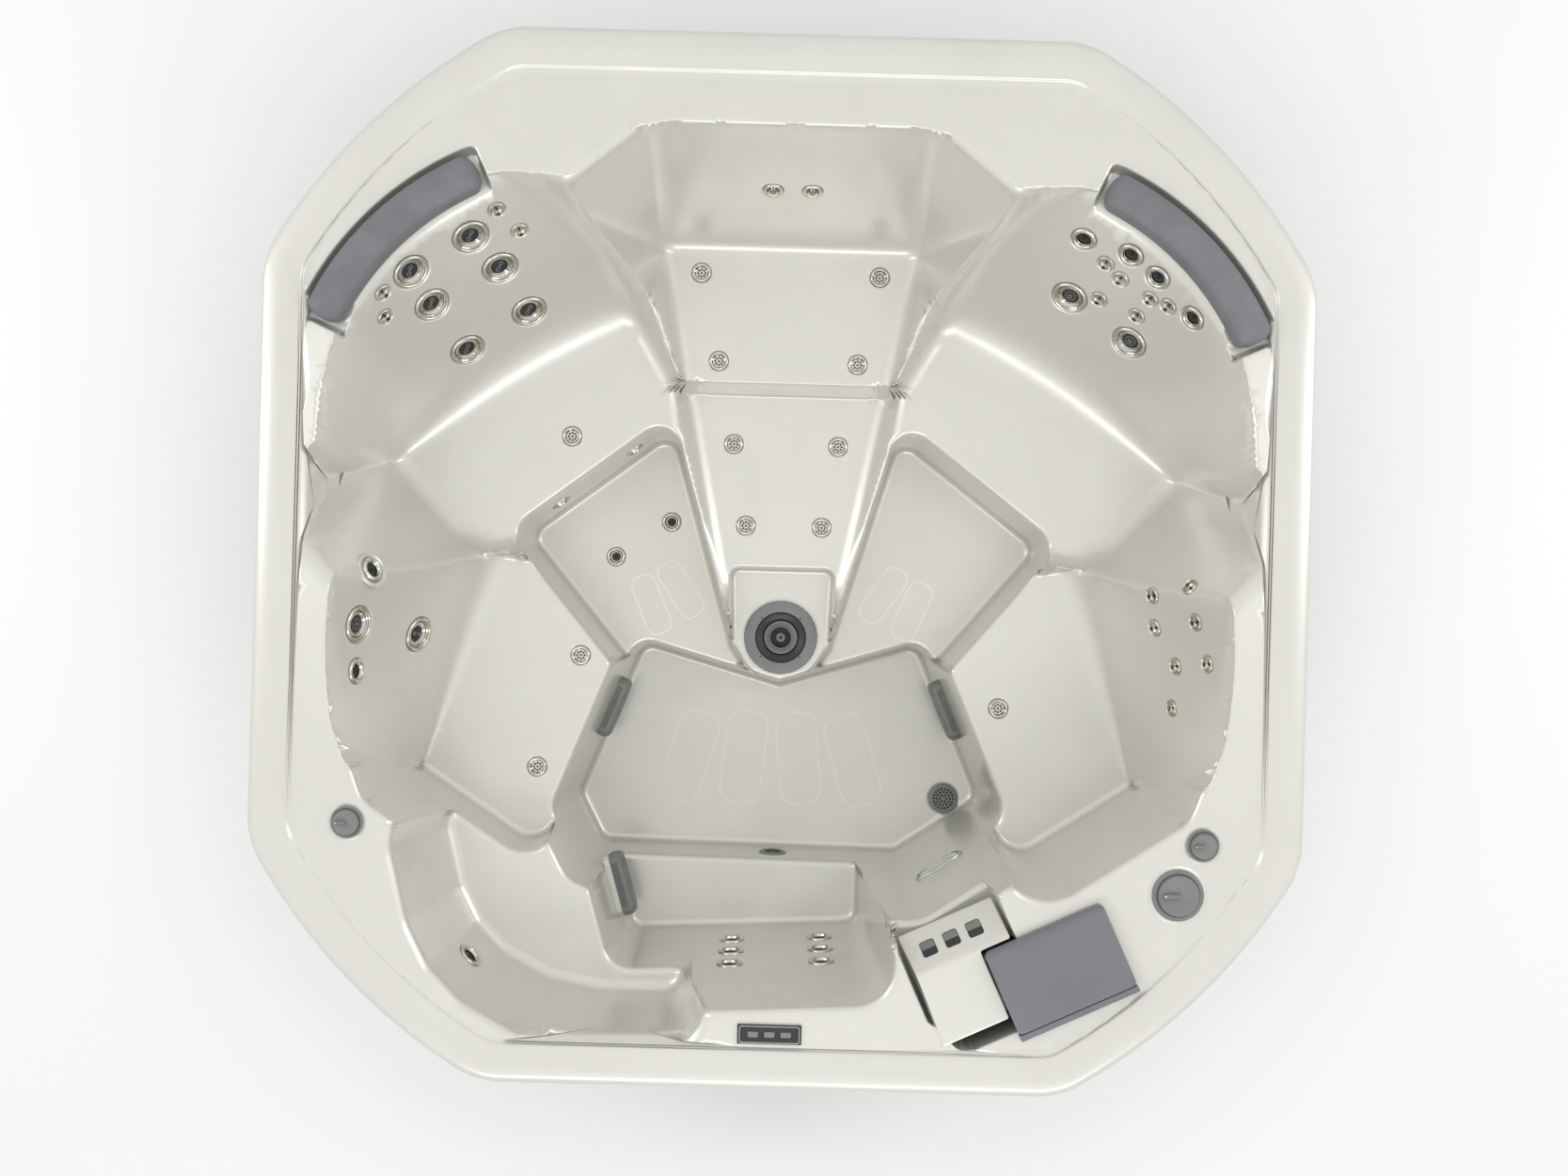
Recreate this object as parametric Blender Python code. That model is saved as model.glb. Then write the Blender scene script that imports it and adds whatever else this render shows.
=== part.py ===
"""Hot tub: a vacuum-formed shell with its cabinet, jets, filter block, controls and water plant.

Metres, +Z up. The origin is the middle of the base; the rear seats are at +Y and the controls at -Y.
"""

import math

import bmesh
import bpy
import numpy as np
from mathutils import Matrix, Vector
from mathutils.geometry import delaunay_2d_cdt

# Driving dimensions of the whole tub
SIDE = 2.31
HEIGHT = 0.95
HALF = SIDE / 2
CORNER_REACH = HALF * 1.142
CORNER_RADIUS = 0.2

# Shell: wall, lip round the rim, raised bead
SHELL_WALL = 0.008
LIP_ROUND = 0.022
LIP_DROP = 0.06
BEAD_HEIGHT = 0.009
BEAD_INSET = 0.094
BEAD_SLOPE_RUN = 0.008

# Levels of the moulded surfaces above the ground, the upper ones measured down from the deck
DECK_Z = HEIGHT - BEAD_HEIGHT
LIP_SEAT_Z = DECK_Z - 0.041
LIP_BLEND = 0.025
SEAT_Z = 0.47
COOL_SEAT_Z = 0.62
RIDGE_Z = 0.40
DOME_Z = 0.36
STEP_Z = 0.26
FRONT_STEP_Z = 0.27
FLOOR_Z = 0.12
PILLOW_SEAT_Z = DECK_Z - 0.041
WELL_Z = DECK_Z - 0.441
CHANNEL_Z = DECK_Z - 0.141

# Fit between neighbouring pieces, and how far a cut runs past a face
FIT = 0.0004
SMALLEST = 1e-9

# Fillets and draft of the walls: base radius, top radius, rise over run
FIRM_WALL = (0.018, 0.018, 12.0)
DOME_WALL = (0.012, 0.01, 12.0)
SOFT_WALL = (0.06, 0.05, 2.2)
BACK_WALL = (0.03, 0.03, 5.0)
CRISP_WALL = (0.008, 0.006, 12.0)
WELL_WALL = (0.008, 0.006, 30.0)


def planned(shares):
    """Places given as shares of the half side, in metres."""
    return [(x * HALF, y * HALF) for x, y in shares]


def mirrored(shares):
    """The same outline on the other side, still counter-clockwise."""
    return [(-x, y) for x, y in reversed(shares)]


# Outlines of the moulded pockets where their base fillets begin, counter-clockwise
REAR_SEAT_SHARES = [(0.215, 0.27), (0.6, 0.05), (0.672, 0.075), (0.79, 0.2), (0.82, 0.33), (0.83, 0.5),
                    (0.72, 0.67), (0.55, 0.72), (0.43, 0.62), (0.345, 0.49)]
SIDE_SEAT_SHARES = [(0.33, -0.2), (0.5, -0.6), (0.76, -0.43), (0.84, -0.34), (0.845, -0.04), (0.81, 0.03),
                    (0.62, 0.0), (0.54, -0.02)]
WEDGE_SHARES = [(-0.235, 0.81), (-0.235, 0.66), (-0.182, 0.37), (-0.1, -0.045), (0.1, -0.045),
                (0.182, 0.37), (0.235, 0.66), (0.235, 0.81)]
DOME_SHARES = [(-0.1, -0.02), (-0.094, -0.19), (-0.06, -0.238), (0.0, -0.252), (0.06, -0.238),
               (0.094, -0.19), (0.1, -0.02)]
STEP_SHARES = [(0.258, 0.268), (0.122, -0.19), (0.06, -0.285), (0.31, -0.23), (0.545, 0.05)]
FRONT_STEP_SHARES = [(-0.36, -0.6), (-0.3, -0.8), (0.17, -0.775), (0.172, -0.6)]
FLOOR_SHARES = [(-0.305, -0.2), (-0.435, -0.53), (-0.385, -0.625), (0.27, -0.632), (0.445, -0.515),
                (0.305, -0.19), (0.0, -0.285)]
COOL_SEAT_SHARES = [(-0.66, -0.53), (-0.642, -0.6), (-0.623, -0.676), (-0.59, -0.74), (-0.542, -0.79),
                    (-0.45, -0.84), (-0.34, -0.86), (-0.2, -0.86), (-0.2, -0.5)]
BLOCK_TURN = math.radians(25)

# Seats: share of the front edge's middle, direction outwards, bend, lip circle
REAR_SEAT_FRONT_SHARES = (0.425, 0.184)
REAR_SEAT_AIM = math.radians(60.5)
REAR_SEAT_BEND = 0.235
REAR_LIP_CENTRE_SHARES = (0.367, 0.206)
SIDE_SEAT_FRONT_SHARES = (0.404, -0.352)
SIDE_SEAT_AIM = math.radians(23)
SIDE_SEAT_BEND = 0.325
SIDE_LIP_CENTRE_SHARES = (0.178, -0.18)
SIDE_LIP_TO_RIM = 0.1694
SIDE_LIP_RADIUS = HALF * (1 - SIDE_LIP_CENTRE_SHARES[0]) - SIDE_LIP_TO_RIM
BACK_EASE_SHARE = 0.35
WEDGE_STEP_SHARE = 0.388
WEDGE_BEND_SHARE = 0.655
WEDGE_LIP_SHARE = 0.82
WEDGE_STEP_RUN = 0.03

# Pillows lie on an arc about each rear seat's lip circle, a set distance in from the rim's corner
PILLOW_SPAN = math.radians(42)
PILLOW_DEPTH = 0.085
PILLOW_TO_RIM = 0.1494
PILLOW_THICKNESS = 0.075
PILLOW_GAP = 0.003
PILLOW_ARC_STEPS = 6


def corner_distance(centre_shares):
    """Distance from a place in plan to the rim's corner arc, along the diagonal."""
    x, y = (share * HALF for share in centre_shares)
    along = (x + y) / math.sqrt(2)
    return math.sqrt(along ** 2 + CORNER_REACH ** 2 - x ** 2 - y ** 2) - along


REAR_LIP_RADIUS = corner_distance(REAR_LIP_CENTRE_SHARES) - PILLOW_DEPTH - PILLOW_TO_RIM


def polygon_distance(x, y, points):
    """Signed distance in plan to a closed outline, negative inside."""
    best = np.full(x.shape, np.inf)
    inside = np.zeros(x.shape, bool)
    for (ax, ay), (bx, by) in zip(points, points[1:] + points[:1]):
        ex, ey = bx - ax, by - ay
        px, py = x - ax, y - ay
        along = np.clip((px * ex + py * ey) / (ex * ex + ey * ey), 0, 1)
        best = np.minimum(best, np.hypot(px - along * ex, py - along * ey))
        crosses = (ay > y) != (by > y)
        edge_x = ax + (y - ay) * ex / (ey if ey else SMALLEST)
        inside ^= crosses & (x < edge_x)
    return np.where(inside, -best, best)


def inset(points, amount):
    """A counter-clockwise outline with every edge moved inwards."""
    result = []
    count = len(points)
    for i in range(count):
        before, here, after = (Vector(points[(i + k) % count]) for k in (-1, 0, 1))
        e1 = (here - before).normalized()
        e2 = (after - here).normalized()
        n1, n2 = Vector((-e1.y, e1.x)), Vector((-e2.y, e2.x))
        middle = (n1 + n2) / (1 + n1.dot(n2))
        result.append(tuple(here + middle * amount))
    return result


def wall_rise(d, height, wall):
    """Height above a pocket's floor at distance d from its outline: fillet, drafted wall, round edge."""
    base, top, slope = wall
    cosine = 1 / math.hypot(1, slope)
    sine = slope * cosine
    scale = np.minimum(1, height / ((base + top) * (1 - cosine)))
    a, b = base * scale, top * scale
    straight = np.maximum(height - (a + b) * (1 - cosine), 0) / slope
    d = np.clip(d, 0, (a + b) * sine + straight)
    in_base = np.minimum(d, a * sine)
    in_top = np.clip(d - a * sine - straight, 0, b * sine)
    in_line = np.clip(d - a * sine, 0, straight)
    round_top = np.sqrt(np.maximum(b * b - (b * sine - in_top) ** 2, 0)) - b * cosine
    return a - np.sqrt(np.maximum(a * a - in_base ** 2, 0)) + in_line * slope + round_top


def wall_runs(height, wall):
    """Distances from a pocket's outline of the fillet's end, the round edge's start and its end."""
    base, top, slope = wall
    cosine = 1 / math.hypot(1, slope)
    sine = slope * cosine
    scale = min(1, height / ((base + top) * (1 - cosine)))
    straight = max(height - (base + top) * scale * (1 - cosine), 0) / slope
    first = base * scale * sine
    return first, first + straight, first + straight + top * scale * sine


def outline_ring(inward, steps):
    """The rim's plan, moved inwards: straight sides, and a wide arc in each corner with tight ends."""
    half, reach = HALF - inward, CORNER_REACH - inward
    small = max(CORNER_RADIUS - inward, CORNER_RADIUS / 4)
    x0 = half - small
    y0 = math.sqrt((reach - small) ** 2 - x0 ** 2)
    turn = math.atan2(y0, x0)
    corner = [(x0 + small * math.cos(turn * i / steps), y0 + small * math.sin(turn * i / steps))
              for i in range(steps)]
    for i in range(steps + 1):
        angle = turn + (math.pi / 2 - 2 * turn) * i / steps
        corner.append((reach * math.cos(angle), reach * math.sin(angle)))
    corner += [(y, x) for x, y in reversed(corner[:steps])]
    ring = []
    for quarter in range(4):
        c, s = round(math.cos(quarter * math.pi / 2)), round(math.sin(quarter * math.pi / 2))
        ring += [(x * c - y * s, x * s + y * c) for x, y in corner]
    return ring


def rim_distance(x, y):
    """Distance inwards from the rim's edge."""
    ax, ay = np.abs(x), np.abs(y)
    ax, ay = np.maximum(ax, ay), np.minimum(ax, ay)
    x0 = HALF - CORNER_RADIUS
    y0 = math.sqrt((CORNER_REACH - CORNER_RADIUS) ** 2 - x0 ** 2)
    to_side = HALF - ax
    to_wide = CORNER_REACH - np.hypot(ax, ay)
    to_small = CORNER_RADIUS - np.hypot(ax - x0, ay - y0)
    in_small = (ay > y0) & (ay * x0 < ax * y0 + SMALLEST)
    result = np.where(ay <= y0, to_side, np.where(in_small, to_small, to_wide))
    return result


def deck_height(x, y):
    """The rim: a flat deck with a raised bead near its edge and a rounded lip."""
    d = rim_distance(x, y)
    rise = np.clip((BEAD_INSET - d) / BEAD_SLOPE_RUN, 0, 1)
    return DECK_Z + BEAD_HEIGHT * rise


def seat_place(x, y, front_shares, aim, side):
    """Distance outwards from a seat's front edge and along it."""
    px, py = x * side - front_shares[0] * HALF, y - front_shares[1] * HALF
    return px * math.cos(aim) + py * math.sin(aim), -px * math.sin(aim) + py * math.cos(aim)


def back_curve(share):
    """Rise of a backrest as a share of its height: a hollow at the bend, then straight."""
    ease = BACK_EASE_SHARE
    share = np.maximum(share, 0)
    hollow = share ** 2 / (2 * ease)
    return np.where(share < ease, hollow, share - ease / 2) / (1 - ease / 2)


def seat_height(x, y, side, front_shares, aim, bend, lip_centre_shares, lip_radius):
    """A seat pan that bends into a backrest, which wraps round the bather to a circular lip."""
    u, v = seat_place(x, y, front_shares, aim, side)
    cu, cv = seat_place(side * lip_centre_shares[0] * HALF, lip_centre_shares[1] * HALF, front_shares, aim, side)
    lip_u = cu + np.sqrt(np.maximum(lip_radius ** 2 - (v - cv) ** 2, (lip_radius / 3) ** 2))
    share = (u - bend) / np.maximum(lip_u - bend, bend / 4)
    return SEAT_Z + (LIP_SEAT_Z - SEAT_Z) * back_curve(share)


def rear_seat(side):
    return lambda x, y: seat_height(x, y, side, REAR_SEAT_FRONT_SHARES, REAR_SEAT_AIM, REAR_SEAT_BEND,
                                    REAR_LIP_CENTRE_SHARES, REAR_LIP_RADIUS)


def side_seat(side):
    return lambda x, y: seat_height(x, y, side, SIDE_SEAT_FRONT_SHARES, SIDE_SEAT_AIM, SIDE_SEAT_BEND,
                                    SIDE_LIP_CENTRE_SHARES, SIDE_LIP_RADIUS)


def wedge_height(x, y):
    """The lounge down the middle: backrest, seat, then a step down to the ridge."""
    bend, lip = WEDGE_BEND_SHARE * HALF, WEDGE_LIP_SHARE * HALF
    back = (LIP_SEAT_Z - SEAT_Z) * back_curve((y - bend) / (lip - bend))
    step = np.clip((WEDGE_STEP_SHARE * HALF - y) / WEDGE_STEP_RUN, 0, 1)
    step = step * step * (3 - 2 * step)
    return SEAT_Z + back - (SEAT_Z - RIDGE_Z) * step


def level(z):
    return lambda x, y: np.full(x.shape, z)


# Filter block: the well under the lid, and the channel that the skimmer cover closes
BLOCK_CORNER_SHARES = (0.397, -0.723)
LID_LENGTH = 0.28
LID_DEPTH = 0.212
COVER_LEFT = -0.16
COVER_RIGHT = 0.068
COVER_RUN = 0.078
WELL_LEFT = -0.12
WELL_RIGHT = 0.242
WELL_FRONT = 0.035
WELL_BACK = 0.172
CHANNEL_LEFT = -0.158
CHANNEL_RIGHT = 0.066
CHANNEL_REACH = 0.25


def block_point(along, back):
    """A place by the filter block: along its front edge, and back from it."""
    x, y = BLOCK_CORNER_SHARES[0] * HALF, BLOCK_CORNER_SHARES[1] * HALF
    c, s = math.cos(BLOCK_TURN), math.sin(BLOCK_TURN)
    return x + along * c + back * s, y + along * s - back * c


def block_rectangle(left, right, front, back):
    """A rectangle square to the filter block, counter-clockwise."""
    return [block_point(*place) for place in ((left, front), (left, back), (right, back), (right, front))]


def pillow_outline(side, grow):
    """The curved recess that a pillow sits in, counter-clockwise."""
    cx, cy = REAR_LIP_CENTRE_SHARES[0] * HALF, REAR_LIP_CENTRE_SHARES[1] * HALF
    inner, outer = REAR_LIP_RADIUS - grow, REAR_LIP_RADIUS + PILLOW_DEPTH + grow
    span = PILLOW_SPAN + 2 * grow / REAR_LIP_RADIUS
    steps = PILLOW_ARC_STEPS
    angles = [math.pi / 4 + span * (i / steps - 1 / 2) for i in range(steps + 1)]
    arc = [(cx + outer * math.cos(a), cy + outer * math.sin(a)) for a in angles]
    arc += [(cx + inner * math.cos(a), cy + inner * math.sin(a)) for a in reversed(angles)]
    return arc if side > 0 else [(-x, y) for x, y in reversed(arc)]


# Corner radii of the pockets in plan
CRISP_CORNER = 0.01
PILLOW_CORNER = 0.012
NARROW_CORNER = 0.02
STEP_CORNER = 0.025
COOL_SEAT_CORNER = 0.03
SIDE_SEAT_CORNER = 0.05
REAR_SEAT_CORNER = 0.06

# Spacing of the facets' rows along a pocket's outline
SEAT_SPACING = 0.14
STEP_SPACING = 0.17
FLOOR_SPACING = 0.2
FRONT_SPACING = 0.2
STRAIGHT_SPACING = 0.3

# The pockets in the order in which they are pressed in, each by its name
POCKET_ORDER = ("pillow_left", "pillow_right", "cool_seat", "rear_right", "rear_left", "side_right", "side_left",
                "wedge", "channel", "well", "dome", "step_right", "step_left", "front_step", "floor")
COOL_SEAT, STEP_LEFT, FRONT_STEP, FLOOR, WEDGE = (
    POCKET_ORDER.index(name) for name in ("cool_seat", "step_left", "front_step", "floor", "wedge"))
REAR_SEATS = ((1, POCKET_ORDER.index("rear_right")), (-1, POCKET_ORDER.index("rear_left")))
SIDE_SEATS = ((1, POCKET_ORDER.index("side_right")), (-1, POCKET_ORDER.index("side_left")))

# Which edge of a pocket's outline carries a fitting
EDGE_NAMES = ("first", "second", "third", "fourth", "fifth")
COOL_SEAT_BACK = EDGE_NAMES.index("fourth")
STEP_RISER = EDGE_NAMES.index("fifth")
FRONT_STEP_LEFT, FRONT_STEP_BACK, FRONT_STEP_RIGHT = (EDGE_NAMES.index(n) for n in ("first", "second", "third"))
FLOOR_LEFT, FLOOR_FRONT, FLOOR_FRONT_RIGHT, FLOOR_RIGHT = (
    EDGE_NAMES.index(n) for n in ("first", "third", "fourth", "fifth"))


def pockets():
    """Every moulded pocket, highest first: outline, corner radius, floor, wall, sample spacing."""
    rear_left, side_left = mirrored(REAR_SEAT_SHARES), mirrored(SIDE_SEAT_SHARES)
    well = block_rectangle(WELL_LEFT, WELL_RIGHT, WELL_FRONT, WELL_BACK)
    channel = block_rectangle(CHANNEL_LEFT, CHANNEL_RIGHT, -CHANNEL_REACH, (WELL_FRONT + WELL_BACK) / 2)
    pillow = level(PILLOW_SEAT_Z)
    return [
        (pillow_outline(-1, PILLOW_GAP), PILLOW_CORNER, pillow, CRISP_WALL, STEP_SPACING),
        (pillow_outline(1, PILLOW_GAP), PILLOW_CORNER, pillow, CRISP_WALL, STEP_SPACING),
        (planned(COOL_SEAT_SHARES), COOL_SEAT_CORNER, level(COOL_SEAT_Z), BACK_WALL, STEP_SPACING),
        (planned(REAR_SEAT_SHARES), REAR_SEAT_CORNER, rear_seat(1), SOFT_WALL, SEAT_SPACING),
        (planned(rear_left), REAR_SEAT_CORNER, rear_seat(-1), SOFT_WALL, SEAT_SPACING),
        (planned(SIDE_SEAT_SHARES), SIDE_SEAT_CORNER, side_seat(1), FIRM_WALL, SEAT_SPACING),
        (planned(side_left), SIDE_SEAT_CORNER, side_seat(-1), FIRM_WALL, SEAT_SPACING),
        (planned(WEDGE_SHARES), NARROW_CORNER, wedge_height, SOFT_WALL, STEP_SPACING),
        (channel, CRISP_CORNER, level(CHANNEL_Z), WELL_WALL, STRAIGHT_SPACING),
        (well, NARROW_CORNER, level(WELL_Z), WELL_WALL, STRAIGHT_SPACING),
        (planned(DOME_SHARES), CRISP_CORNER, level(DOME_Z), DOME_WALL, STRAIGHT_SPACING),
        (planned(STEP_SHARES), STEP_CORNER, level(STEP_Z), FIRM_WALL, STEP_SPACING),
        (planned(mirrored(STEP_SHARES)), STEP_CORNER, level(STEP_Z), FIRM_WALL, STEP_SPACING),
        (planned(FRONT_STEP_SHARES), NARROW_CORNER, level(FRONT_STEP_Z), FIRM_WALL, FRONT_SPACING),
        (planned(FLOOR_SHARES), STEP_CORNER, level(FLOOR_Z), FIRM_WALL, FLOOR_SPACING),
    ]


def smooth_min(a, b, blend):
    """The lower of two heights, with a rounded crease."""
    share = np.clip(0.5 + 0.5 * (b - a) / blend, 0, 1)
    return b * (1 - share) + a * share - blend * share * (1 - share)


def carved(z, x, y, pocket):
    """The mould's height after one more pocket is pressed into it."""
    outline, radius, floor, wall, _ = pocket
    distance = polygon_distance(x, y, inset(outline, radius)) - radius
    base = smooth_min(floor(x, y), z, LIP_BLEND)
    base = np.where(floor(x, y) < z - LIP_BLEND, floor(x, y), base)
    return base + wall_rise(distance, np.maximum(z - base, 0), wall)


def mould_height(x, y, chosen):
    """Height of the shell's wet side over the plan."""
    z = deck_height(x, y)
    for pocket in chosen:
        z = carved(z, x, y, pocket)
    return z


# How finely the shell is faceted
RIM_STEPS = 3
HIDDEN_STEPS = 2
ARC_NORMALS = 2
RING_TOLERANCE = 0.002
LEVEL_TOLERANCE = 0.0008
LOWEST_WALL = 0.006
PLAN_EPSILON = 1e-5
REFINING_ROUNDS = 4
FACET_ERROR = 0.02
LEAST_SPACING = 0.04
ROW_SPACING = 0.12
ROW_HALF_COUNT = 4
WEDGE_ROW_SHARES = (-0.97, -0.8, -0.55, 0, 0.55, 0.8, 0.97)
SLOPE_STEP = 0.004


def outline_samples(points, spacing):
    """Places round an outline with the directions that face outwards from it."""
    result = []
    count = len(points)
    normals = []
    for i in range(count):
        edge = (Vector(points[(i + 1) % count]) - Vector(points[i])).normalized()
        normals.append(Vector((edge.y, -edge.x)))
    for i in range(count):
        here, after = Vector(points[i]), Vector(points[(i + 1) % count])
        n_before, n = normals[i - 1], normals[i]
        if n_before.x * n.y - n_before.y * n.x > SMALLEST:
            for step in range(1, ARC_NORMALS):
                result.append((here, n_before.slerp(n, step / ARC_NORMALS)))
        pieces = max(1, math.ceil((after - here).length / spacing))
        for step in range(pieces + 1):
            result.append((here.lerp(after, step / pieces), n))
    return result


def kept_points(points, own, everything, floor_only):
    """Which places still lie on their own pocket once the later ones are pressed in."""
    x, y = (np.array([p[k] for p in points]) for k in (0, 1))
    inside = rim_distance(x, y) > BEAD_INSET
    return inside & (np.abs(mould_height(x, y, own) - mould_height(x, y, everything)) < floor_only)


def ring_lines(index, everything):
    """The lines along a pocket's wall where its curvature changes, broken where a later pocket cuts them."""
    outline, radius, floor, wall, spacing = everything[index]
    core = inset(outline, radius)
    samples = outline_samples(core, spacing)
    before = everything[:index]
    runs = []
    for place, normal in samples:
        out = FIT
        for _ in range(4):
            q = place + normal * (radius + out)
            x, y = np.array([q.x]), np.array([q.y])
            height = float((mould_height(x, y, before) - floor(x, y))[0])
            steps = wall_runs(max(height, SMALLEST), wall)
            out = steps[2]
        runs.append((height, steps))
    lines = []
    for ring in range(4):
        points, good = [], []
        for (place, normal), (height, steps) in zip(samples, runs):
            first, second, third = steps
            out = (0.0, first, second, third)[ring]
            q = place + normal * (radius + out)
            points.append((q.x, q.y))
            x, y = np.array([q.x]), np.array([q.y])
            distance = float(polygon_distance(x, y, core)[0]) - radius
            good.append(height > LOWEST_WALL and abs(distance - out) < RING_TOLERANCE)
        kept = kept_points(points, everything[:index + 1], everything, LEVEL_TOLERANCE)
        lines.append([p if ok and keep else None for p, ok, keep in zip(points, good, kept)])
    return lines


def lip_shares():
    """Shares of a backrest's run at which its rows lie: the bend, the straight back and the blended lip."""
    deck = (DECK_Z - SEAT_Z) / (LIP_SEAT_Z - SEAT_Z) * (1 - BACK_EASE_SHARE / 2) + BACK_EASE_SHARE / 2
    blend = LIP_BLEND / (LIP_SEAT_Z - SEAT_Z)
    return [0, BACK_EASE_SHARE / 2, BACK_EASE_SHARE, (BACK_EASE_SHARE + 1) / 2, deck - blend, deck, deck + blend]


def kept_row(row, index, everything):
    """A row's places inside its own pocket that no later pocket cuts away."""
    x, y = (np.array([p[k] for p in row]) for k in (0, 1))
    outline, radius = everything[index][:2]
    within = polygon_distance(x, y, inset(outline, radius)) - radius < 0
    kept = within & kept_points(row, everything[:index + 1], everything, LEVEL_TOLERANCE)
    return [p if ok else None for p, ok in zip(row, kept)]


def seat_rows(side, front_shares, aim, bend, lip_centre_shares, lip_radius, index, everything):
    """Rows along a seat where its backrest starts to bend, runs straight and meets the lip."""
    cu, cv = seat_place(lip_centre_shares[0] * HALF, lip_centre_shares[1] * HALF, front_shares, aim, 1)
    rows = []
    for share in lip_shares():
        row = []
        for step in range(-ROW_HALF_COUNT, ROW_HALF_COUNT + 1):
            v = cv + step * ROW_SPACING
            lip_u = cu + math.sqrt(max(lip_radius ** 2 - (v - cv) ** 2, (lip_radius / 3) ** 2))
            u = bend + share * (lip_u - bend)
            px = u * math.cos(aim) - v * math.sin(aim) + front_shares[0] * HALF
            row.append((px * side, u * math.sin(aim) + v * math.cos(aim) + front_shares[1] * HALF))
        rows.append(kept_row(row, index, everything))
    return rows


def wedge_rows(index, everything):
    """Rows across the lounge at its bends and its step."""
    bend, lip = WEDGE_BEND_SHARE * HALF, WEDGE_LIP_SHARE * HALF
    step = WEDGE_STEP_SHARE * HALF
    places = [bend + share * (lip - bend) for share in lip_shares()]
    places += [step, step - WEDGE_STEP_RUN / 2, step - WEDGE_STEP_RUN]
    width = WEDGE_SHARES[-1][0] * HALF
    rows = [[(share * width, place) for share in WEDGE_ROW_SHARES] for place in places]
    return [kept_row(row, index, everything) for row in rows]


def shell_plan(everything):
    """Points and fixed edges in plan that every crease of the mould follows."""
    points, edges = [], []

    def add_line(line, closed):
        start = len(points)
        kept = [p for p in line if p is not None]
        index = {}
        for i, p in enumerate(line):
            if p is not None:
                index[i] = start + len(index)
        points.extend(kept)
        count = len(line)
        for i in range(count if closed else count - 1):
            j = (i + 1) % count
            if i in index and j in index and math.dist(line[i], line[j]) > SMALLEST:
                edges.append((index[i], index[j]))

    for inward in (LIP_ROUND, BEAD_INSET - BEAD_SLOPE_RUN, BEAD_INSET):
        add_line(outline_ring(inward, RIM_STEPS), True)
    for index in range(len(everything)):
        for line in ring_lines(index, everything):
            add_line(line, True)
    for side, index in REAR_SEATS:
        for row in seat_rows(side, REAR_SEAT_FRONT_SHARES, REAR_SEAT_AIM, REAR_SEAT_BEND,
                             REAR_LIP_CENTRE_SHARES, REAR_LIP_RADIUS, index, everything):
            add_line(row, False)
    for side, index in SIDE_SEATS:
        for row in seat_rows(side, SIDE_SEAT_FRONT_SHARES, SIDE_SEAT_AIM, SIDE_SEAT_BEND,
                             SIDE_LIP_CENTRE_SHARES, SIDE_LIP_RADIUS, index, everything):
            add_line(row, False)
    for row in wedge_rows(WEDGE, everything):
        add_line(row, False)
    for side in (-1, 1):
        add_line(pillow_outline(side, FIT), True)
    for f, length, height, _ in flat_fittings(everything).values():
        for v in (-height, height):
            add_line([tuple((f @ Vector((u, v, RECESS))).xy) for u in (-length, length)], False)
    return points, edges


def strayed(flat, faces, everything):
    """The middles of the facets and edges that lie too far from the mould's surface."""
    x, y = (np.array([p[k] for p in flat]) for k in (0, 1))
    z = mould_height(x, y, everything)
    corners = np.array(faces)
    found = []
    for weights in ((1, 1, 1), (1, 1, 0), (0, 1, 1), (1, 0, 1)):
        share = np.array(weights) / sum(weights)
        mx, my, mz = ((c[corners] * share).sum(1) for c in (x, y, z))
        error = np.abs(mould_height(mx, my, everything) - mz)
        size = np.hypot(x[corners] - mx[:, None], y[corners] - my[:, None]).max(1)
        bad = (error > FACET_ERROR) & (size > LEAST_SPACING)
        found += [(-e, px, py) for e, px, py in zip(error[bad], mx[bad], my[bad])]
    chosen = []
    for _, px, py in sorted(found):
        if all(math.dist((px, py), other) > LEAST_SPACING for other in chosen):
            chosen.append((px, py))
    return chosen


def triangulated(everything):
    """The plan cut into triangles, finer where the mould curves."""
    points, edges = shell_plan(everything)
    for _ in range(REFINING_ROUNDS):
        flat, _, faces, *_ = delaunay_2d_cdt([Vector(p) for p in points], edges, [], 0, PLAN_EPSILON)
        points = points + strayed(flat, faces, everything)
    flat, _, faces, *_ = delaunay_2d_cdt([Vector(p) for p in points], edges, [], 0, PLAN_EPSILON)
    return flat, faces


def shell_mesh(everything):
    """The formed sheet as a closed solid: wet side, dry side one wall below it, and the rolled lip."""
    flat, faces = triangulated(everything)
    x, y = (np.array([p[k] for p in flat]) for k in (0, 1))
    z = mould_height(x, y, everything)
    dx = (mould_height(x + SLOPE_STEP, y, everything) - mould_height(x - SLOPE_STEP, y, everything))
    dy = (mould_height(x, y + SLOPE_STEP, everything) - mould_height(x, y - SLOPE_STEP, everything))
    normal = np.stack([-dx, -dy, np.full(x.shape, 2 * SLOPE_STEP)], 1)
    normal /= np.linalg.norm(normal, axis=1)[:, None]
    top = np.stack([x, y, z], 1)
    bottom = top - normal * SHELL_WALL
    bm = bmesh.new()
    wet = [bm.verts.new(p) for p in top]
    dry = [bm.verts.new(p) for p in bottom]
    for face in faces:
        a, b, c = face
        area = (x[b] - x[a]) * (y[c] - y[a]) - (x[c] - x[a]) * (y[b] - y[a])
        a, b, c = (a, b, c) if area > 0 else (a, c, b)
        bm.faces.new((wet[a], wet[b], wet[c]))
        bm.faces.new((dry[c], dry[b], dry[a]))
    close_lip(bm, wet, dry)
    bmesh.ops.recalc_face_normals(bm, faces=bm.faces)
    mesh = bpy.data.meshes.new("shell")
    bm.to_mesh(mesh)
    bm.free()
    return mesh


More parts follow.
